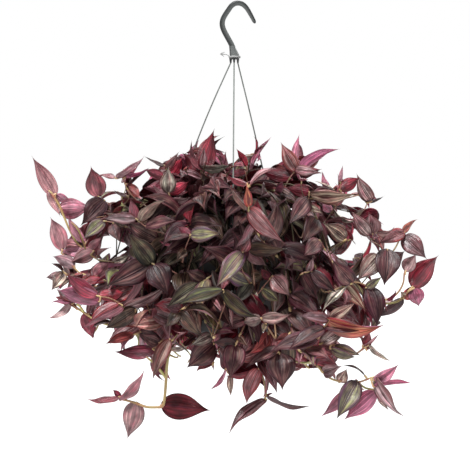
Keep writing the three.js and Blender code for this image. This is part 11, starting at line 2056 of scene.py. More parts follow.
      [-714, 910, -2296, -785, 1278, -1951, -65, 45, -61, 259, 65, 154, "mr", "mr", 1],
      [-126, 667, -2801, -266, 1030, -3106, 20, 67, 71, 215, 120, 171, "dm", "nk", 1],
      [-492, 759, -2123, -161, 1088, -1926, -64, 7, 77, 233, 102, 147, "dk", "pu", 1]]),
    ("shoot_right_04",
     [[156, 319, -3080, 200, 194, 307, -2804, 192, 321, 464, -2600, 184, 471, 658, -2451, 175, 648, 863, -2467, 167, 776, 978, -2696, 159, 876, 1058, -2954, 151, 965, 1127, -3219, 143, 1050, 1192, -3487, 135, 1132, 1259, -3754, 126, 1218, 1341, -4017, 118, 1268, 1405, -4135, 110],
      [965, 1127, -3219, 135, 1030, 1318, -3213, 118, 1114, 1509, -3208, 100],
      [876, 1058, -2954, 135, 883, 1237, -2952, 123, 876, 1456, -2897, 112, 910, 1648, -2885, 100]],
     [[1263, 1399, -4123, 1264, 1531, -4329, 71, 59, 38, 99, 113, 183, "ms", "mv", 1],
      [1213, 1336, -4002, 1432, 1286, -4287, 63, 68, 37, 162, 62, 185, "mg", "rm", 1],
      [1170, 1295, -3870, 1103, 1464, -4204, 72, 67, 19, 182, 109, 204, "mr", "pm", 1],
      [1111, 1242, -3686, 1471, 1206, -3908, 26, 92, 28, 176, 51, 155, "go", "rp", 1],
      [1048, 1191, -3482, 1059, 1530, -3870, 86, 37, 35, 233, 46, 151, "mv", "pm", 1],
      [980, 1138, -3267, 1349, 1085, -3679, 64, 59, 50, 260, 62, 153, "rm", "ml", 1],
      [922, 1094, -3092, 874, 1278, -3594, 85, 52, 11, 249, 71, 148, "go", "mr", 1],
      [863, 1047, -2920, 1187, 900, -3198, 58, 77, 27, 182, 75, 131, "mm", "rp", 1],
      [750, 955, -2650, 573, 1458, -2833, 39, 43, 81, 268, 43, 217, "mr", "ml", 1],
      [1121, 1250, -3719, 1493, 1203, -4043, 66, 9, 74, 249, 96, 215, "mm", "pm", 1],
      [1218, 1341, -4017, 1045, 1758, -4228, 37, 54, 76, 255, 137, 181, "rm", "mr", 1],
      [818, 1011, -2804, 782, 1400, -3291, 23, 77, 60, 263, 95, 211, "dk", "mr", 1],
      [1165, 1291, -3855, 1419, 1052, -4286, 87, 39, 30, 238, 54, 212, "mr", "pm", 1],
      [236, 359, -2736, 527, 348, -2499, -8, 99, 14, 155, 50, 158, "db", "ng", 2],
      [1025, 1173, -3409, 1336, 1007, -3875, 77, 55, 32, 236, 84, 151, "dk", "mr", 1],
      [686, 897, -2535, 824, 1456, -2700, 26, 21, 94, 256, 72, 124, "db", "pm", 1],
      [882, 1062, -2972, 1224, 855, -3431, 81, 7, 58, 297, 60, 129, "gd", "mv", 1],
      [236, 359, -2736, 546, 343, -2437, 13, 99, -8, 186, 110, 214, "md", "dk", 2],
      [979, 1137, -3263, 1311, 1207, -3703, 23, 92, 32, 232, 84, 187, "gd", "pm", 1],
      [1218, 1341, -4017, 1541, 1342, -4372, 73, 13, 67, 209, 71, 167, "mv", "mr", 1],
      [496, 687, -2453, 929, 816, -2609, 10, 61, 79, 223, 123, 197, "mr", "mv", 1],
      [1165, 1291, -3855, 1467, 1091, -4223, 80, 11, 59, 267, 83, 130, "mr", "ml", 1],
      [1121, 1250, -3719, 1400, 1347, -4087, 81, -16, 57, 228, 49, 164, "mr", "pm", 1],
      [311, 452, -2614, 172, 942, -2379, 92, 35, -19, 239, 99, 204, "db", "mv", 2],
      [1110, 1500, -3208, 926, 1852, -3208, 43, 22, -88, 169, 108, 193, "mm", "pm", 1],
      [1043, 1346, -3212, 1177, 1803, -3075, -73, 1, 68, 247, 101, 146, "ms", "pu", 1],
      [908, 1638, -2885, 692, 1907, -2762, 75, 34, 57, 152, 69, 191, "rb", "pm", 1],
      [876, 1443, -2900, 1334, 1713, -2983, -6, 39, 92, 239, 82, 215, "mv", "pu", 1],
      [881, 1296, -2937, 1155, 1593, -3013, 64, -42, 64, 210, 52, 219, "gs", "mr", 1]]),
    ("shoot_right_05",
     [[190, 123, -3080, 200, 234, 127, -2792, 185, 551, 103, -2738, 170, 874, 74, -2720, 155, 1193, 37, -2674, 140, 1503, -15, -2593, 125, 1679, -48, -2547, 110],
      [234, 127, -2792, 150, 514, 110, -2790, 142, 799, 91, -2816, 135, 1083, 69, -2851, 127, 1355, 44, -2877, 120, 1608, 13, -2876, 112, 1833, -24, -2830, 105],
      [1608, 13, -2876, 135, 1606, 183, -2859, 118, 1626, 339, -2878, 100]],
     [[1665, -45, -2551, 1872, -120, -2622, 43, 81, 41, 64, 126, 340, "pm", "pu", 1],
      [1172, 39, -2677, 1418, 384, -2685, 14, -7, 99, 219, 82, 128, "ms", "mr", 1],
      [991, 61, -2703, 1233, -226, -2799, 40, 3, 92, 175, 55, 106, "mr", "mb", 2],
      [810, 80, -2723, 1188, 407, -2877, 67, -54, 50, 255, 123, 142, "mm", "nk", 2],
      [1628, 10, -2872, 1912, 199, -2987, 52, -30, 80, 165, 76, 154, "md", "ml", 1],
      [1466, 30, -2877, 1746, -80, -3021, 42, -11, 90, 157, 61, 192, "mv", "pm", 1],
      [1267, 52, -2868, 1507, 333, -3098, 69, 1, 73, 213, 88, 112, "dk", "mm", 1],
      [1023, 74, -2843, 1381, -135, -3042, 54, 14, 83, 221, 128, 164, "md", "dm", 1],
      [478, 113, -2790, 829, 318, -3047, 45, 28, 85, 233, 120, 103, "nk", "dm", 2],
      [1589, 15, -2876, 1901, 467, -2922, 62, -36, 70, 282, 131, 123, "db", "mr", 1],
      [1589, 15, -2876, 1866, 262, -3063, 71, -31, 64, 214, 58, 104, "mg", "mv", 1],
      [1107, 47, -2684, 1613, 396, -2810, 46, -41, 79, 223, 75, 179, "nk", "nk", 1],
      [631, 96, -2733, 985, 247, -2828, 13, 28, 95, 206, 138, 105, "db", "ng", 2],
      [338, 121, -2791, 541, 405, -2882, 82, -57, 6, 171, 40, 104, "nk", "nk", 2],
      [1625, 329, -2877, 1645, 707, -2929, 93, 0, 36, 195, 121, 184, "md", "mv", 1],
      [1606, 156, -2862, 1865, 533, -3125, 81, -16, 57, 258, 77, 128, "db", "mb", 1]]),
    ("shoot_left_04",
     [[-501, 144, -3080, 200, -542, 195, -2812, 187, -811, 195, -2711, 174, -1098, 191, -2677, 161, -1382, 215, -2710, 149, -1632, 276, -2843, 136, -1858, 348, -3009, 123, -1975, 389, -3091, 110],
      [-1858, 348, -3009, 135, -1883, 577, -3112, 118, -1945, 741, -3216, 100],
      [-1382, 215, -2710, 135, -1433, 318, -2524, 118, -1499, 370, -2410, 100],
      [-1382, 215, -2710, 135, -1521, 99, -2590, 118, -1613, 63, -2524, 100],
      [-1382, 215, -2710, 135, -1420, 322, -2504, 118, -1490, 414, -2362, 100],
      [-1632, 276, -2843, 135, -1641, 472, -2751, 123, -1607, 706, -2611, 112, -1638, 841, -2619, 100],
      [-1382, 215, -2710, 135, -1439, 116, -2586, 118, -1512, 61, -2482, 100],
      [-1632, 276, -2843, 135, -1600, 317, -2674, 123, -1525, 357, -2439, 112, -1556, 378, -2358, 100],
      [-1098, 191, -2677, 135, -1245, 272, -2639, 126, -1384, 379, -2584, 118, -1519, 491, -2538, 109, -1652, 589, -2521, 100],
      [-1858, 348, -3009, 135, -1881, 418, -3131, 118, -1893, 489, -3255, 100]],
     [[-1963, 385, -3083, -2140, 540, -3258, -78, -22, 59, 75, 81, 340, "pm", "ml", 1],
      [-1863, 350, -3013, -2145, 201, -3256, -59, -18, 79, 173, 100, 120, "rm", "rp", 1],
      [-1740, 310, -2923, -1928, 678, -3104, -77, -8, 63, 208, 86, 121, "mm", "mv", 1],
      [-1613, 271, -2834, -2150, 90, -3104, -51, 57, 64, 301, 111, 116, "md", "mr", 1],
      [-1479, 239, -2762, -1904, 661, -2951, -48, -9, 88, 259, 66, 199, "mg", "rm", 1],
      [-1334, 211, -2705, -1394, -238, -2535, -93, 23, 28, 230, 70, 161, "dk", "dk", 1],
      [-1150, 195, -2683, -1472, 518, -2819, -21, 19, 96, 241, 127, 148, "mg", "pu", 2],
      [-550, 195, -2809, -933, 186, -2498, -52, 58, -63, 211, 120, 190, "dm", "nk", 2],
      [-1539, 253, -2794, -1881, 172, -3187, -75, 26, 60, 240, 87, 139, "dk", "mm", 1],
      [-722, 195, -2745, -632, 57, -2302, -96, 16, 25, 242, 78, 118, "dk", "mv", 2],
      [-1767, 319, -2942, -2108, -4, -3256, -77, 24, 59, 250, 78, 161, "mr", "mv", 1],
      [-1912, 365, -3055, -1766, 827, -3116, -78, 25, 57, 251, 54, 150, "dk", "mr", 1],
      [-1908, 365, -3044, -2395, 315, -3321, -49, 35, 80, 262, 110, 158, "ms", "ml", 1],
      [-1653, 282, -2859, -2119, 85, -2939, -23, 15, 96, 237, 54, 140, "go", "mr", 1],
      [-1767, 319, -2942, -2112, 139, -3427, -80, 43, 41, 293, 64, 112, "mb", "ml", 1],
      [-1402, 220, -2721, -1572, 551, -3039, -87, 2, 49, 225, 103, 144, "md", "rp", 1],
      [-1539, 253, -2794, -1948, 719, -2965, -3, 32, 95, 277, 44, 202, "rb", "mr", 1],
      [-1942, 733, -3210, -2079, 1096, -3308, -93, -28, 25, 185, 106, 201, "rm", "pm", 1],
      [-1887, 586, -3117, -2203, 891, -3407, -74, -14, 66, 253, 136, 169, "rm", "mb", 1],
      [-1427, 307, -2545, -1522, 650, -2309, -96, -10, -25, 213, 43, 126, "mg", "ml", 1],
      [-1470, 142, -2634, -1447, 66, -2117, -100, -6, 3, 259, 50, 182, "rm", "mr", 1],
      [-1419, 322, -2507, -1529, 781, -2660, -51, 12, 85, 207, 113, 163, "rm", "mr", 1],
      [-1625, 831, -2638, -1884, 1006, -2854, -54, -12, 83, 162, 51, 188, "md", "rp", 1],
      [-1634, 520, -2722, -1712, 931, -2890, -96, -24, -15, 191, 59, 184, "mg", "mr", 1],
      [-1426, 139, -2615, -1431, 114, -2198, -94, -33, -3, 196, 47, 171, "gd", "dm", 1],
      [-1552, 375, -2367, -1500, 651, -2164, -99, 7, 16, 154, 82, 154, "ms", "mb", 1],
      [-1640, 583, -2515, -1944, 528, -2685, -8, -17, 98, 182, 129, 152, "gd", "mm", 1],
      [-1911, 484, -3246, -1858, 745, -3445, -93, 33, 14, 177, 126, 145, "db", "cr", 1]]),
    ("shoot_back_07",
     [[-164, 565, -3080, 200, -143, 547, -2807, 189, -119, 737, -2600, 178, -87, 988, -2481, 166, -42, 1248, -2567, 155, 1, 1471, -2736, 144, 42, 1680, -2923, 133, 81, 1887, -3113, 121, 100, 1999, -3201, 110],
      [-143, 547, -2807, 150, -205, 627, -2413, 127, -262, 787, -2208, 105],
      [81, 1887, -3113, 135, 272, 1880, -3276, 118, 476, 1908, -3380, 100]],
     [[98, 1987, -3191, 212, 2239, -3340, -41, 59, 69, 161, 88, 150, "mg", "mr", 1],
      [81, 1886, -3112, -92, 2116, -3400, -2, 77, 63, 106, 104, 340, "rb", "ml", 1],
      [60, 1775, -3011, 374, 1955, -3280, -21, 91, 36, 205, 48, 213, "db", "pu", 1],
      [36, 1649, -2895, -245, 2038, -3123, 64, 68, 37, 249, 68, 127, "rb", "rm", 1],
      [12, 1530, -2789, 130, 1611, -3229, 38, 89, 26, 211, 55, 213, "db", "mr", 1],
      [-15, 1386, -2672, -334, 1742, -2977, 49, 78, 39, 285, 109, 117, "mm", "pu", 1],
      [-73, 1068, -2508, -387, 1384, -2824, 38, 82, 44, 227, 43, 166, "rb", "pu", 1],
      [-259, 778, -2220, -448, 1000, -2058, 78, 62, 6, 151, 42, 202, "go", "rp", 1],
      [-223, 678, -2348, 80, 877, -2076, -52, 85, -4, 186, 97, 122, "rm", "mb", 1],
      [-193, 612, -2486, -462, 646, -2019, -54, 76, -37, 235, 126, 100, "db", "mr", 1],
      [-57, 1158, -2538, -473, 1424, -2698, 31, 80, 51, 219, 43, 123, "db", "ml", 1],
      [17, 1555, -2811, 284, 1898, -3010, -10, 56, 83, 221, 55, 138, "mv", "rp", 1],
      [82, 1894, -3119, 339, 2081, -3416, 18, 76, 63, 201, 52, 152, "mg", "rp", 1],
      [-7, 1432, -2707, -189, 1807, -2784, -41, -1, 91, 186, 92, 178, "mm", "pm", 1],
      [64, 1795, -3029, 477, 1939, -3272, -14, 94, 31, 260, 85, 199, "mr", "mr", 1],
      [64, 1795, -3029, 543, 1924, -3326, -20, 97, 10, 241, 92, 200, "mv", "rp", 1],
      [82, 1894, -3119, 502, 2159, -3267, 0, 49, 87, 260, 118, 209, "mg", "mr", 1],
      [44, 1694, -2936, 305, 1859, -3352, -5, 94, 34, 213, 59, 142, "mm", "mr", 1],
      [17, 1555, -2811, 233, 1973, -2982, -22, 46, 86, 224, 135, 161, "rm", "ml", 1],
      [467, 1907, -3375, 744, 1918, -3629, 45, 73, 52, 155, 67, 130, "mr", "pm", 1],
      [329, 1888, -3305, 512, 2039, -3670, 56, 63, 54, 217, 101, 102, "mv", "mr", 1],
      [205, 1883, -3219, 673, 1851, -3355, 19, 88, 44, 218, 67, 120, "md", "mr", 1]]),
    ("shoot_back_08",
     [[-19, 497, -3080, 200, 15, 550, -2812, 191, -2, 754, -2607, 182, -29, 994, -2447, 173, -64, 1252, -2490, 164, -91, 1390, -2742, 155, -115, 1491, -3014, 146, -136, 1579, -3290, 137, -156, 1665, -3567, 128, -175, 1766, -3838, 119, -185, 1846, -3959, 110],
      [-136, 1579, -3290, 135, 25, 1411, -3281, 118, 119, 1333, -3276, 100]],
     [[-184, 1837, -3947, -307, 1952, -4190, -41, 73, 55, 135, 105, 198, "ms", "pu", 1],
      [-174, 1753, -3808, 0, 1889, -4185, -53, 84, 11, 211, 84, 175, "mr", "pm", 1],
      [-163, 1702, -3667, -512, 1857, -3930, -14, 76, 64, 194, 63, 167, "md", "mr", 1],
      [-152, 1647, -3508, 325, 1744, -3935, 44, 64, 63, 284, 58, 166, "dk", "ml", 1],
      [-138, 1587, -3318, -436, 1776, -3759, 45, 89, 8, 256, 49, 145, "ms", "mr", 1],
      [-123, 1526, -3123, 115, 1762, -3612, -13, 92, 38, 259, 46, 203, "ms", "ml", 1],
      [-109, 1467, -2949, -442, 1587, -3298, 19, 97, 15, 238, 124, 184, "ms", "mr", 1],
      [-92, 1391, -2744, 93, 1527, -3203, 42, 81, 41, 228, 68, 111, "gg", "ml", 1],
      [-42, 1089, -2463, -155, 1488, -2407, 63, 7, 77, 182, 95, 181, "ms", "pu", 1],
      [-5, 779, -2590, 133, 1298, -2762, -35, 38, 86, 250, 44, 115, "ms", "pm", 2],
      [-93, 1396, -2758, -365, 1499, -3069, -62, 41, 67, 217, 94, 159, "mm", "mr", 1],
      [-121, 1517, -3097, 211, 1640, -3526, 33, 81, 48, 262, 80, 102, "dk", "mr", 1],
      [-144, 1612, -3397, -343, 1915, -3644, 42, 72, 55, 183, 122, 139, "rm", "mr", 1],
      [-166, 1715, -3701, 98, 2026, -3985, 1, 67, 74, 231, 89, 137, "ms", "mb", 1],
      [-59, 1218, -2484, -386, 1557, -2515, 51, 55, 67, 222, 121, 180, "dm", "mr", 1],
      [-175, 1764, -3833, -641, 1795, -4132, -22, 87, 43, 240, 94, 177, "ms", "pm", 1],
      [-59, 1218, -2484, -487, 1484, -2364, 40, 23, 89, 243, 89, 210, "md", "pm", 1],
      [-166, 1715, -3701, -624, 1926, -3955, -38, 25, 89, 275, 109, 131, "md", "mr", 1],
      [-155, 1662, -3555, 162, 1927, -3866, -2, 77, 63, 230, 61, 133, "md", "mr", 1],
      [-93, 1396, -2758, 151, 1502, -3215, 4, 97, 25, 240, 98, 185, "ms", "mr", 1],
      [-121, 1517, -3097, 192, 1524, -3475, 51, 74, 43, 239, 122, 184, "dk", "mr", 1],
      [-175, 1764, -3833, -742, 1747, -4122, -39, 54, 74, 304, 82, 164, "mr", "rp", 1],
      [-155, 1662, -3555, -687, 1782, -3665, 9, 86, 50, 270, 127, 202, "go", "mr", 1],
      [112, 1340, -3276, 314, 1340, -3534, 32, 91, 25, 150, 86, 157, "dk", "pu", 2],
      [-19, 1456, -3283, -32, 1027, -3104, 50, 32, 80, 198, 79, 142, "mq", "dk", 2]]),
    ("shoot_back_09",
     [[386, 351, -3080, 200, 425, 416, -2808, 190, 665, 524, -2656, 180, 768, 668, -2901, 170, 803, 779, -3192, 160, 825, 882, -3487, 150, 843, 982, -3783, 140, 863, 1082, -4079, 130, 896, 1189, -4372, 120, 938, 1258, -4521, 110],
      [896, 1189, -4372, 135, 811, 1046, -4469, 126, 675, 822, -4538, 118, 580, 616, -4606, 109, 617, 527, -4700, 100],
      [896, 1189, -4372, 135, 794, 1302, -4525, 123, 663, 1428, -4665, 112, 641, 1495, -4658, 100],
      [896, 1189, -4372, 135, 824, 1073, -4445, 128, 702, 887, -4493, 121, 584, 688, -4531, 114, 524, 535, -4570, 107, 576, 489, -4625, 100],
      [896, 1189, -4372, 135, 783, 1104, -4504, 128, 607, 949, -4646, 121, 427, 792, -4766, 114, 304, 700, -4838, 107, 297, 741, -4831, 100]],
     [[934, 1252, -4507, 985, 1388, -4754, 29, 81, 51, 78, 110, 340, "mr", "mv", 1],
      [900, 1195, -4386, 1160, 1285, -4648, 48, 57, 67, 167, 77, 179, "go", "pu", 1],
      [878, 1132, -4216, 705, 1500, -4495, -1, 60, 80, 239, 62, 137, "ms", "ml", 1],
      [862, 1080, -4072, 1122, 991, -4521, 75, 58, 32, 252, 82, 119, "md", "mv", 1],
      [852, 1027, -3916, 561, 1305, -4222, 42, 83, 36, 229, 68, 134, "mm", "rm", 1],
      [841, 972, -3754, 1191, 1024, -4226, 26, 92, 29, 238, 94, 214, "mg", "rp", 1],
      [828, 900, -3542, 661, 1292, -3829, 67, 60, 43, 253, 121, 185, "md", "pu", 1],
      [817, 842, -3372, 1190, 726, -3738, 53, 79, 30, 250, 44, 127, "go", "pm", 2],
      [837, 947, -3679, 1173, 906, -4027, 65, 49, 58, 249, 90, 144, "md", "rp", 1],
      [668, 528, -2664, 361, 897, -2683, 41, 38, 83, 194, 119, 217, "go", "dk", 2],
      [773, 683, -2939, 818, 1141, -3203, 90, 15, 42, 269, 116, 160, "mr", "mr", 2],
      [807, 797, -3243, 1041, 617, -3546, 69, 72, 11, 216, 56, 152, "mm", "mm", 2],
      [872, 1111, -4158, 811, 1426, -4629, -9, 82, 56, 285, 90, 185, "mv", "mr", 1],
      [919, 1227, -4454, 1301, 1214, -4813, 64, 38, 67, 253, 95, 142, "mm", "rp", 1],
      [889, 1165, -4308, 1313, 1171, -4629, 52, 51, 69, 249, 115, 172, "mr", "ml", 1],
      [872, 1111, -4158, 669, 1563, -4484, 69, 60, 41, 291, 52, 215, "mv", "rp", 1],
      [919, 1227, -4454, 935, 1557, -4757, 57, 54, 62, 211, 127, 210, "dk", "rp", 1],
      [837, 947, -3679, 963, 565, -4152, 95, -5, 30, 252, 133, 112, "mm", "pu", 1],
      [829, 903, -3551, 1157, 694, -3861, 74, 20, 64, 247, 68, 188, "md", "rm", 2],
      [847, 1005, -3851, 1016, 901, -4192, 80, 56, 22, 192, 118, 168, "gs", "mr", 1],
      [889, 1165, -4308, 1069, 861, -4656, 71, -31, 64, 250, 55, 175, "mg", "mr", 1],
      [858, 1058, -4008, 1209, 1271, -4309, 25, 63, 74, 264, 76, 173, "mm", "rm", 1],
      [615, 533, -4693, 824, 396, -4941, 78, 49, 39, 100, 108, 340, "pm", "mr", 1],
      [671, 814, -4541, 853, 580, -4967, 89, 44, 14, 225, 110, 130, "mg", "mr", 1],
      [756, 955, -4497, 1088, 849, -4890, 77, 17, 61, 233, 125, 202, "mr", "rm", 1],
      [644, 1485, -4659, 522, 1670, -4426, 83, 56, -1, 161, 60, 157, "ms", "rm", 1],
      [719, 1374, -4605, 351, 1530, -4701, 36, 93, 12, 184, 96, 144, "mg", "rp", 1],
      [805, 1291, -4509, 642, 1367, -4940, -30, 91, 28, 215, 94, 199, "rm", "mr", 1],
      [570, 495, -4619, 832, 515, -4855, 58, 44, 68, 100, 72, 340, "mr", "pm", 1],
      [559, 624, -4547, 929, 388, -4777, 66, 62, 43, 201, 100, 220, "mm", "mv", 1],
      [636, 776, -4514, 114, 869, -4647, 16, 99, 6, 282, 41, 179, "db", "ml", 1],
      [299, 731, -4833, 424, 1110, -4927, 0, 24, 97, 175, 49, 100, "mv", "mb", 1],
      [413, 782, -4775, 257, 324, -4646, -46, 38, 80, 208, 110, 165, "ms", "mr", 1],
      [540, 891, -4690, 491, 1051, -5129, 80, 59, 13, 235, 116, 192, "mr", "pu", 1],
      [656, 992, -4606, 634, 719, -5074, 99, 6, -8, 218, 121, 179, "md", "rm", 1]]),
]


def outline_of(v, base, skew, blunt):
    """Half width of the blade along its length: rounded base, widest before the middle, long drawn-out tip."""
    w = np.sin(math.pi * np.clip(v, 0, 1) ** skew) ** (blunt + 1.05 * v**1.6)
    return np.maximum(w, base * (1 - v / 0.12).clip(0, 1))


def make_leaf(leaf, rng, rows, cols):
    b, t, n = (np.array(leaf[i : i + 3], float) for i in (0, 3, 6))
    b, t = b / 10, t / 10
    w, bend, fold = leaf[9] / 10, leaf[10] / 1000, leaf[11] / 1000
    L = np.linalg.norm(t - b)
    a = (t - b) / L
    n = unit(n - a * np.dot(n, a))
    s = np.cross(a, n)
    g = np.linspace(0, 1, rows + 1)
    v = 0.62 * g + 0.38 * (0.5 - 0.5 * np.cos(math.pi * g))
    u = np.sin(np.linspace(-1, 1, cols + 1) * math.pi / 2 * 0.92) / math.sin(math.pi / 2 * 0.92)
    h = outline_of(v, 0.17, rng.uniform(0.60, 0.73), rng.uniform(0.58, 0.82)) * w / 2
    h[-1] = 0.12
    free = leaf[14] > 0  # a leaf that no photographed outline holds may bend more
    curl, sick, twist = rng.uniform(-0.02, 0.13 if free else 0.08), rng.normal(0, 0.035 if free else 0.022), rng.normal(0, 0.32 if free else 0.18)
    wave, ph = rng.uniform(0.05, 0.16), rng.uniform(0, 6.28, 2)
    fold = fold * 1.35 + rng.uniform(0.02, 0.26)
    if free:
        w, fold = w * rng.uniform(0.80, 1.0), fold + rng.uniform(0.0, 0.25)
    arch = bend * L * 4 * v * (1 - v) - curl * L * ((v - 0.72).clip(0, 1) / 0.28) ** 2
    mid = b + np.outer(v * L, a) + np.outer(arch, n) + np.outer(sick * L * 4 * v * (1 - v), s)
    f = fold * (0.85 + 0.7 * v**2)
    U, H = np.meshgrid(u, h)
    Vv = np.repeat(v[:, None], len(u), 1)
    au = np.abs(U)
    lift = H * (np.tan(f)[:, None] * au**1.25) - H * 0.20 * ((au - 0.5).clip(0, 1) / 0.5) ** 2
    lift += H * wave * np.where(U > 0, np.sin(Vv * 9 + ph[0]), np.sin(Vv * 9 + ph[1])) * au**2
    lift -= 0.35 * np.exp(-((U / 0.09) ** 2)) * np.minimum(1, H / 3)
    ang = twist * (Vv - 0.3)
    X, Z = U * H * np.cos(np.arctan(np.tan(f)))[:, None] ** 0.5, lift
    x, z = X * np.cos(ang) - Z * np.sin(ang), X * np.sin(ang) + Z * np.cos(ang)
    S = mid[:, None, :] + x[..., None] * s + z[..., None] * n
    th = 0.34 * np.sqrt(np.clip(1 - U**2, 0, 1)) * np.minimum(1, H / 2.0)
    keel = 0.45 * np.exp(-((U / 0.14) ** 2)) * np.minimum(1, H / 3) * (1 - 0.6 * Vv)
    top = (S + th[..., None] * n).reshape(-1, 3)
    low = (S - (th + keel)[..., None] * n)[1:-1, 1:-1].reshape(-1, 3)
    R1, C1 = rows + 1, cols + 1
    idx_top = np.arange(R1 * C1).reshape(R1, C1)
    idx_low = idx_top.copy()
    idx_low[1:-1, 1:-1] = R1 * C1 + np.arange((R1 - 2) * (C1 - 2)).reshape(R1 - 2, C1 - 2)
    q = lambda I: np.stack([I[:-1, :-1], I[:-1, 1:], I[1:, 1:], I[1:, :-1]], -1).reshape(-1, 4)
    F = np.vstack([q(idx_top), q(idx_low)[:, ::-1]])
    rim = np.ones((R1, C1), bool)
    rim[1:-1, 1:-1] = False
    side = np.concatenate([np.where(rim, 0.5, 1.0).ravel(), np.zeros(len(low))])
    uu = np.concatenate([U.ravel(), U[1:-1, 1:-1].ravel()])
    vv = np.concatenate([Vv.ravel(), Vv[1:-1, 1:-1].ravel()])
    return np.vstack([top, low]), F, uu, vv, side


def tint(c, rng, amount):
    """A small change of lightness and hue from leaf to leaf."""
    k = math.exp(rng.normal(0, amount))
    return np.clip(c * k * np.exp(rng.normal(0, amount * 0.35, 3)), 0, 0.95)


CREAM, OLIVE, PAINTED_SHADE_COLOUR, ROSE, PLUM = lin((222, 214, 150)), lin((158, 156, 74)), lin((42, 30, 22)), lin((152, 102, 92)), lin((112, 80, 58))
total_faces = 0
for number, (name, stems, leaves) in enumerate(SHOOTS):
    VV, FF, SL, A = [], [], [], {k: [] for k in ("u", "v", "side", "rnd", "knot")}
    CA, CB, CL = [], [], []
    count = 0

    def put(V, F, slot, u, v, side, rnd, knot, ca, cb, cl):
        global count
        m = len(V)
        VV.append(V)
        FF.extend(map(tuple, (np.asarray(F) + count).tolist()) if not isinstance(F, list) else [tuple(count + k for k in f) for f in F])
        SL.extend([slot] * len(F))
        for k, a in (("u", u), ("v", v), ("side", side), ("rnd", rnd), ("knot", knot)):
            A[k].append(np.broadcast_to(np.asarray(a, float), (m,)))
        for k, c in ((CA, ca), (CB, cb), (CL, cl)):
            k.append(np.broadcast_to(np.asarray(c, float), (m, 4)))
        count += m

    lines = []
    for s in stems:
        s = np.array(s, float).reshape(-1, 4)
        P, at = smooth_line(s[:, :3] / 10, 4.0)
        lines.append((P, np.interp(at, np.arange(len(s)), s[:, 3] / 100)))
    # where each leaf joins: the nearest point of any stem, with the stem's direction there
    joins = []
    for leaf in leaves:
        b = np.array(leaf[:3], float) / 10
        best = min(((np.linalg.norm(P - b, axis=1).min(), k) for k, (P, _) in enumerate(lines)))
        k = best[1]
        P = lines[k][0]
        i = int(np.linalg.norm(P - b, axis=1).argmin())
        T = unit(P[min(i + 1, len(P) - 1)] - P[max(i - 1, 0)])
        joins.append((k, i, T, best[0]))
    for k, (P, R) in enumerate(lines):
        rng = np.random.default_rng((number, 500 + k))
        knot = np.zeros(len(P))
        for kk, i, T, _ in joins:
            if kk == k:
                d = np.linalg.norm(P - P[i], axis=1)
                knot = np.maximum(knot, np.exp(-((d / 3.2) ** 2)))
        Rr = R * (1 + 0.34 * knot)
        depth = np.linalg.norm((P - [-10, 0, -330]) / [210, 310, 150], axis=1)
        Rr *= 0.55 + (0.42 + 0.26 * np.clip(-P[:, 0] / 80, 0, 1)) * np.clip((depth - 0.88) / 0.26, 0, 1)
        Rr[-1] *= 0.45
        v, f = round_tube(P, Rr, 9)
        m, n = 9, len(P)
        along = np.linspace(0, 1, n)
        q = np.concatenate([np.repeat(along, m), [0, 1]])
        kn = np.concatenate([np.repeat(knot, m), [0, 0]])
        # painted shade: stems are coloured toward a near-black shade colour the deeper they sit inside the mound
        shade = np.clip((1.00 - depth) / 0.26, 0, 1) * 0.92
        r1 = rng.uniform(0, 1)
        base = CREAM * (1 - r1 * 0.75) + OLIVE * r1 * 0.75
        rosy = np.clip((1.08 - depth) / 0.16, 0, 1)[:, None] * (0.35 + 0.55 * rng.uniform(0, 1))
        rosy = np.maximum(rosy, 0.5 * np.clip((P[:, :1] - 120) / 60, 0, 1))
        base = base * (1 - rosy) + PLUM * rosy
        base = base * (0.66 + 0.34 * np.clip((-P[:, :1] - 150) / 50, 0, 1))  # only the outermost stems on the left are pale
        c = base * (1 - shade[:, None]) + PAINTED_SHADE_COLOUR * shade[:, None]
        young = np.clip((along - 0.62) / 0.38, 0, 1)[:, None] * 0.7
        c = c * (1 - young) + ROSE * young
        c = np.vstack([np.repeat(c, m, 0), c[:1], c[-1:]]) * GAIN
        uu = np.concatenate([np.tile(np.arange(m) / m, n), [0, 0]])
        put(v, f, 1, uu, q, 0, rng.uniform(0, 1), kn * 0.8, np.column_stack([c, np.ones(len(c))]), (0, 0, 0, 1), (0, 0, 0, 1))
    for place, (leaf, (k, i, T, gap)) in enumerate(zip(leaves, joins)):
        rng = np.random.default_rng((number, place))
        ca, cb, st = blade_colours(leaf[12])
        cl = under_colour(leaf[13])
        # painted shade: the leaves that no outline holds are darkened, and their gloss lowered, the deeper they sit
        # inside the mound
        depth = np.linalg.norm((np.array(leaf[:3], float) / 20 + np.array(leaf[3:6], float) / 20 - [-10, 0, -330]) / [215, 205, 155])
        inner = np.clip((0.98 - depth) / 0.40, 0, 1) if leaf[14] else 0.0
        dim, gloss = (1.22 if leaf[14] else 1.0) - 0.56 * inner, 1 - 0.65 * inner
        if TONES[leaf[12]][1] in ("n", "K", "x"):
            gloss *= 0.35
        elif TONES[leaf[12]][1] == "d":
            gloss *= 0.65
        rows, cols = ((15, 8), (13, 8), (9, 6))[leaf[14]]
        V, F, u, v, side = make_leaf(leaf, rng, rows, cols)
        rnd = rng.uniform(0, 1)
        k1 = 0.10 if leaf[14] == 0 else 0.16
        put(V, F, 0, u, v, side, rnd, 0, (*tint(ca * dim, rng, k1), 1), (*tint(cb * dim, rng, k1), st * rng.uniform(0.75, 1.05)), (*tint(cl * dim, rng, k1), gloss))
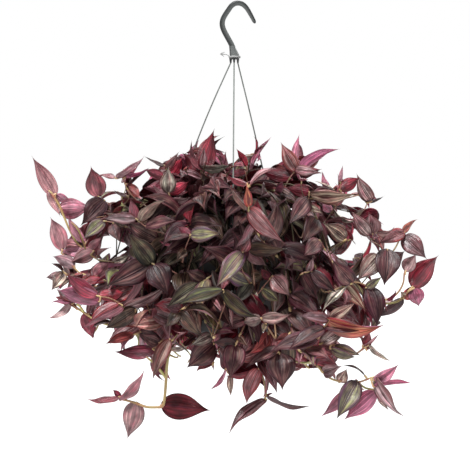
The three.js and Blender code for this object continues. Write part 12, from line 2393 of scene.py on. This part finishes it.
        # the sheath: a short sleeve on the stem under the leaf's base
        P, R = lines[k]
        b = np.array(leaf[:3], float) / 10
        r0 = R[i]
        ax = unit(T)
        tip = np.array(leaf[3:6], float) / 10
        lean = unit(tip - b)
        root = P[i] if gap > 1.5 else b - ax * 2.4
        Q = np.array([root - ax * 2.2, root, b - ax * 0.2, b + (ax * 0.4 + lean * 0.6) * 2.2])
        Qs, at = smooth_line(Q, 1.6)
        r0 = r0 * (0.92 + 0.25 * np.clip((np.linalg.norm((b - [-10, 0, -330]) / [210, 200, 150]) - 0.92) / 0.26, 0, 1))
        rr = np.interp(at, [0, 1, 2, 3], [r0 * 0.80, r0 * 0.98, r0 * 1.06, r0 * 0.65])
        V, f = round_tube(Qs, rr, 8)
        q = np.concatenate([np.repeat(np.linspace(0, 1, len(Qs)), 8), [0, 1]])
        c = (ROSE * 0.35 + CREAM * 0.45 + lin(TONES[leaf[13]][0]) * 0.3) * GAIN
        # painted shade: sheaths deep inside the mound are coloured toward the same shade colour
        inside = np.clip((1.02 - np.linalg.norm((b - [-10, 0, -330]) / [210, 200, 150])) / 0.30, 0, 1) * 0.9
        c = c * (1 - inside) + PAINTED_SHADE_COLOUR * inside
        put(V, f, 1, np.concatenate([np.tile(np.arange(8) / 8, len(Qs)), [0, 0]]), q, 0, rnd, 0.35 * q, (*c, 1), (0, 0, 0, 1), (0, 0, 0, 1))
    o = mesh_object(name + "_foliage", np.vstack(VV), FF, [LEAF, STEM], {k: np.concatenate(a) for k, a in A.items()},
                    {"ca": np.vstack(CA), "cb": np.vstack(CB), "cl": np.vstack(CL)}, SL)
    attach(o, "root")
    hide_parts(name)
    total_faces += len(FF)
print("foliage faces", total_faces)

# ---------------------------------------------------------------- floor, backdrop and lights


def plain(name, colour, emit=0.0):
    m, t, b = shader(name, Roughness=0.9, Specular_IOR_Level=0.1)
    b.inputs["Base Color"].default_value = (*colour, 1)
    if emit:
        b.inputs["Emission Color"].default_value = (1, 1, 1, 1)
        b.inputs["Emission Strength"].default_value = emit
        b.inputs["Specular IOR Level"].default_value = 0
    return m


FLOOR_Z = -0.80
bpy.ops.mesh.primitive_circle_add(vertices=96, radius=29.5, fill_type="NGON", location=(0, 0, FLOOR_Z))
floor = bpy.context.object
floor.name = "floor"
floor.data.materials.append(plain("floor_white", (0.30, 0.30, 0.30), 0.72))
bpy.ops.mesh.primitive_uv_sphere_add(segments=64, ring_count=32, radius=30, location=(0, 0, FLOOR_Z))
dome = bpy.context.object
dome.name = "backdrop"
dome.data.materials.append(plain("backdrop_white", (0, 0, 0), 1.0))
for k in ("visible_diffuse", "visible_glossy", "visible_transmission", "visible_volume_scatter", "visible_shadow"):
    setattr(dome, k, False)

world = bpy.data.worlds.new("studio")
bpy.context.scene.world = world
world.use_nodes = True
world.node_tree.nodes["Background"].inputs[0].default_value = (1.0, 1.0, 1.0, 1)
world.node_tree.nodes["Background"].inputs[1].default_value = 0.32


def sun(name, towards, strength, angle, colour=(1, 1, 1)):
    d = bpy.data.lights.new(name, "SUN")
    d.energy, d.angle, d.color = strength, math.radians(angle), colour
    o = bpy.data.objects.new(name, d)
    bpy.context.scene.collection.objects.link(o)
    o.rotation_mode = "QUATERNION"
    o.rotation_quaternion = Vector(towards).to_track_quat("Z", "Y")
    return o


sun("key", (-0.35, -0.55, 1.0), 4.2, 8)
sun("top", (0.20, 0.05, 1.0), 1.9, 30)
sun("fill", (0.85, -1.0, 0.25), 0.45, 50)
sun("side", (-1.0, -0.7, 0.2), 0.35, 50)
sun("back", (0.30, 1.0, 0.6), 1.3, 40)
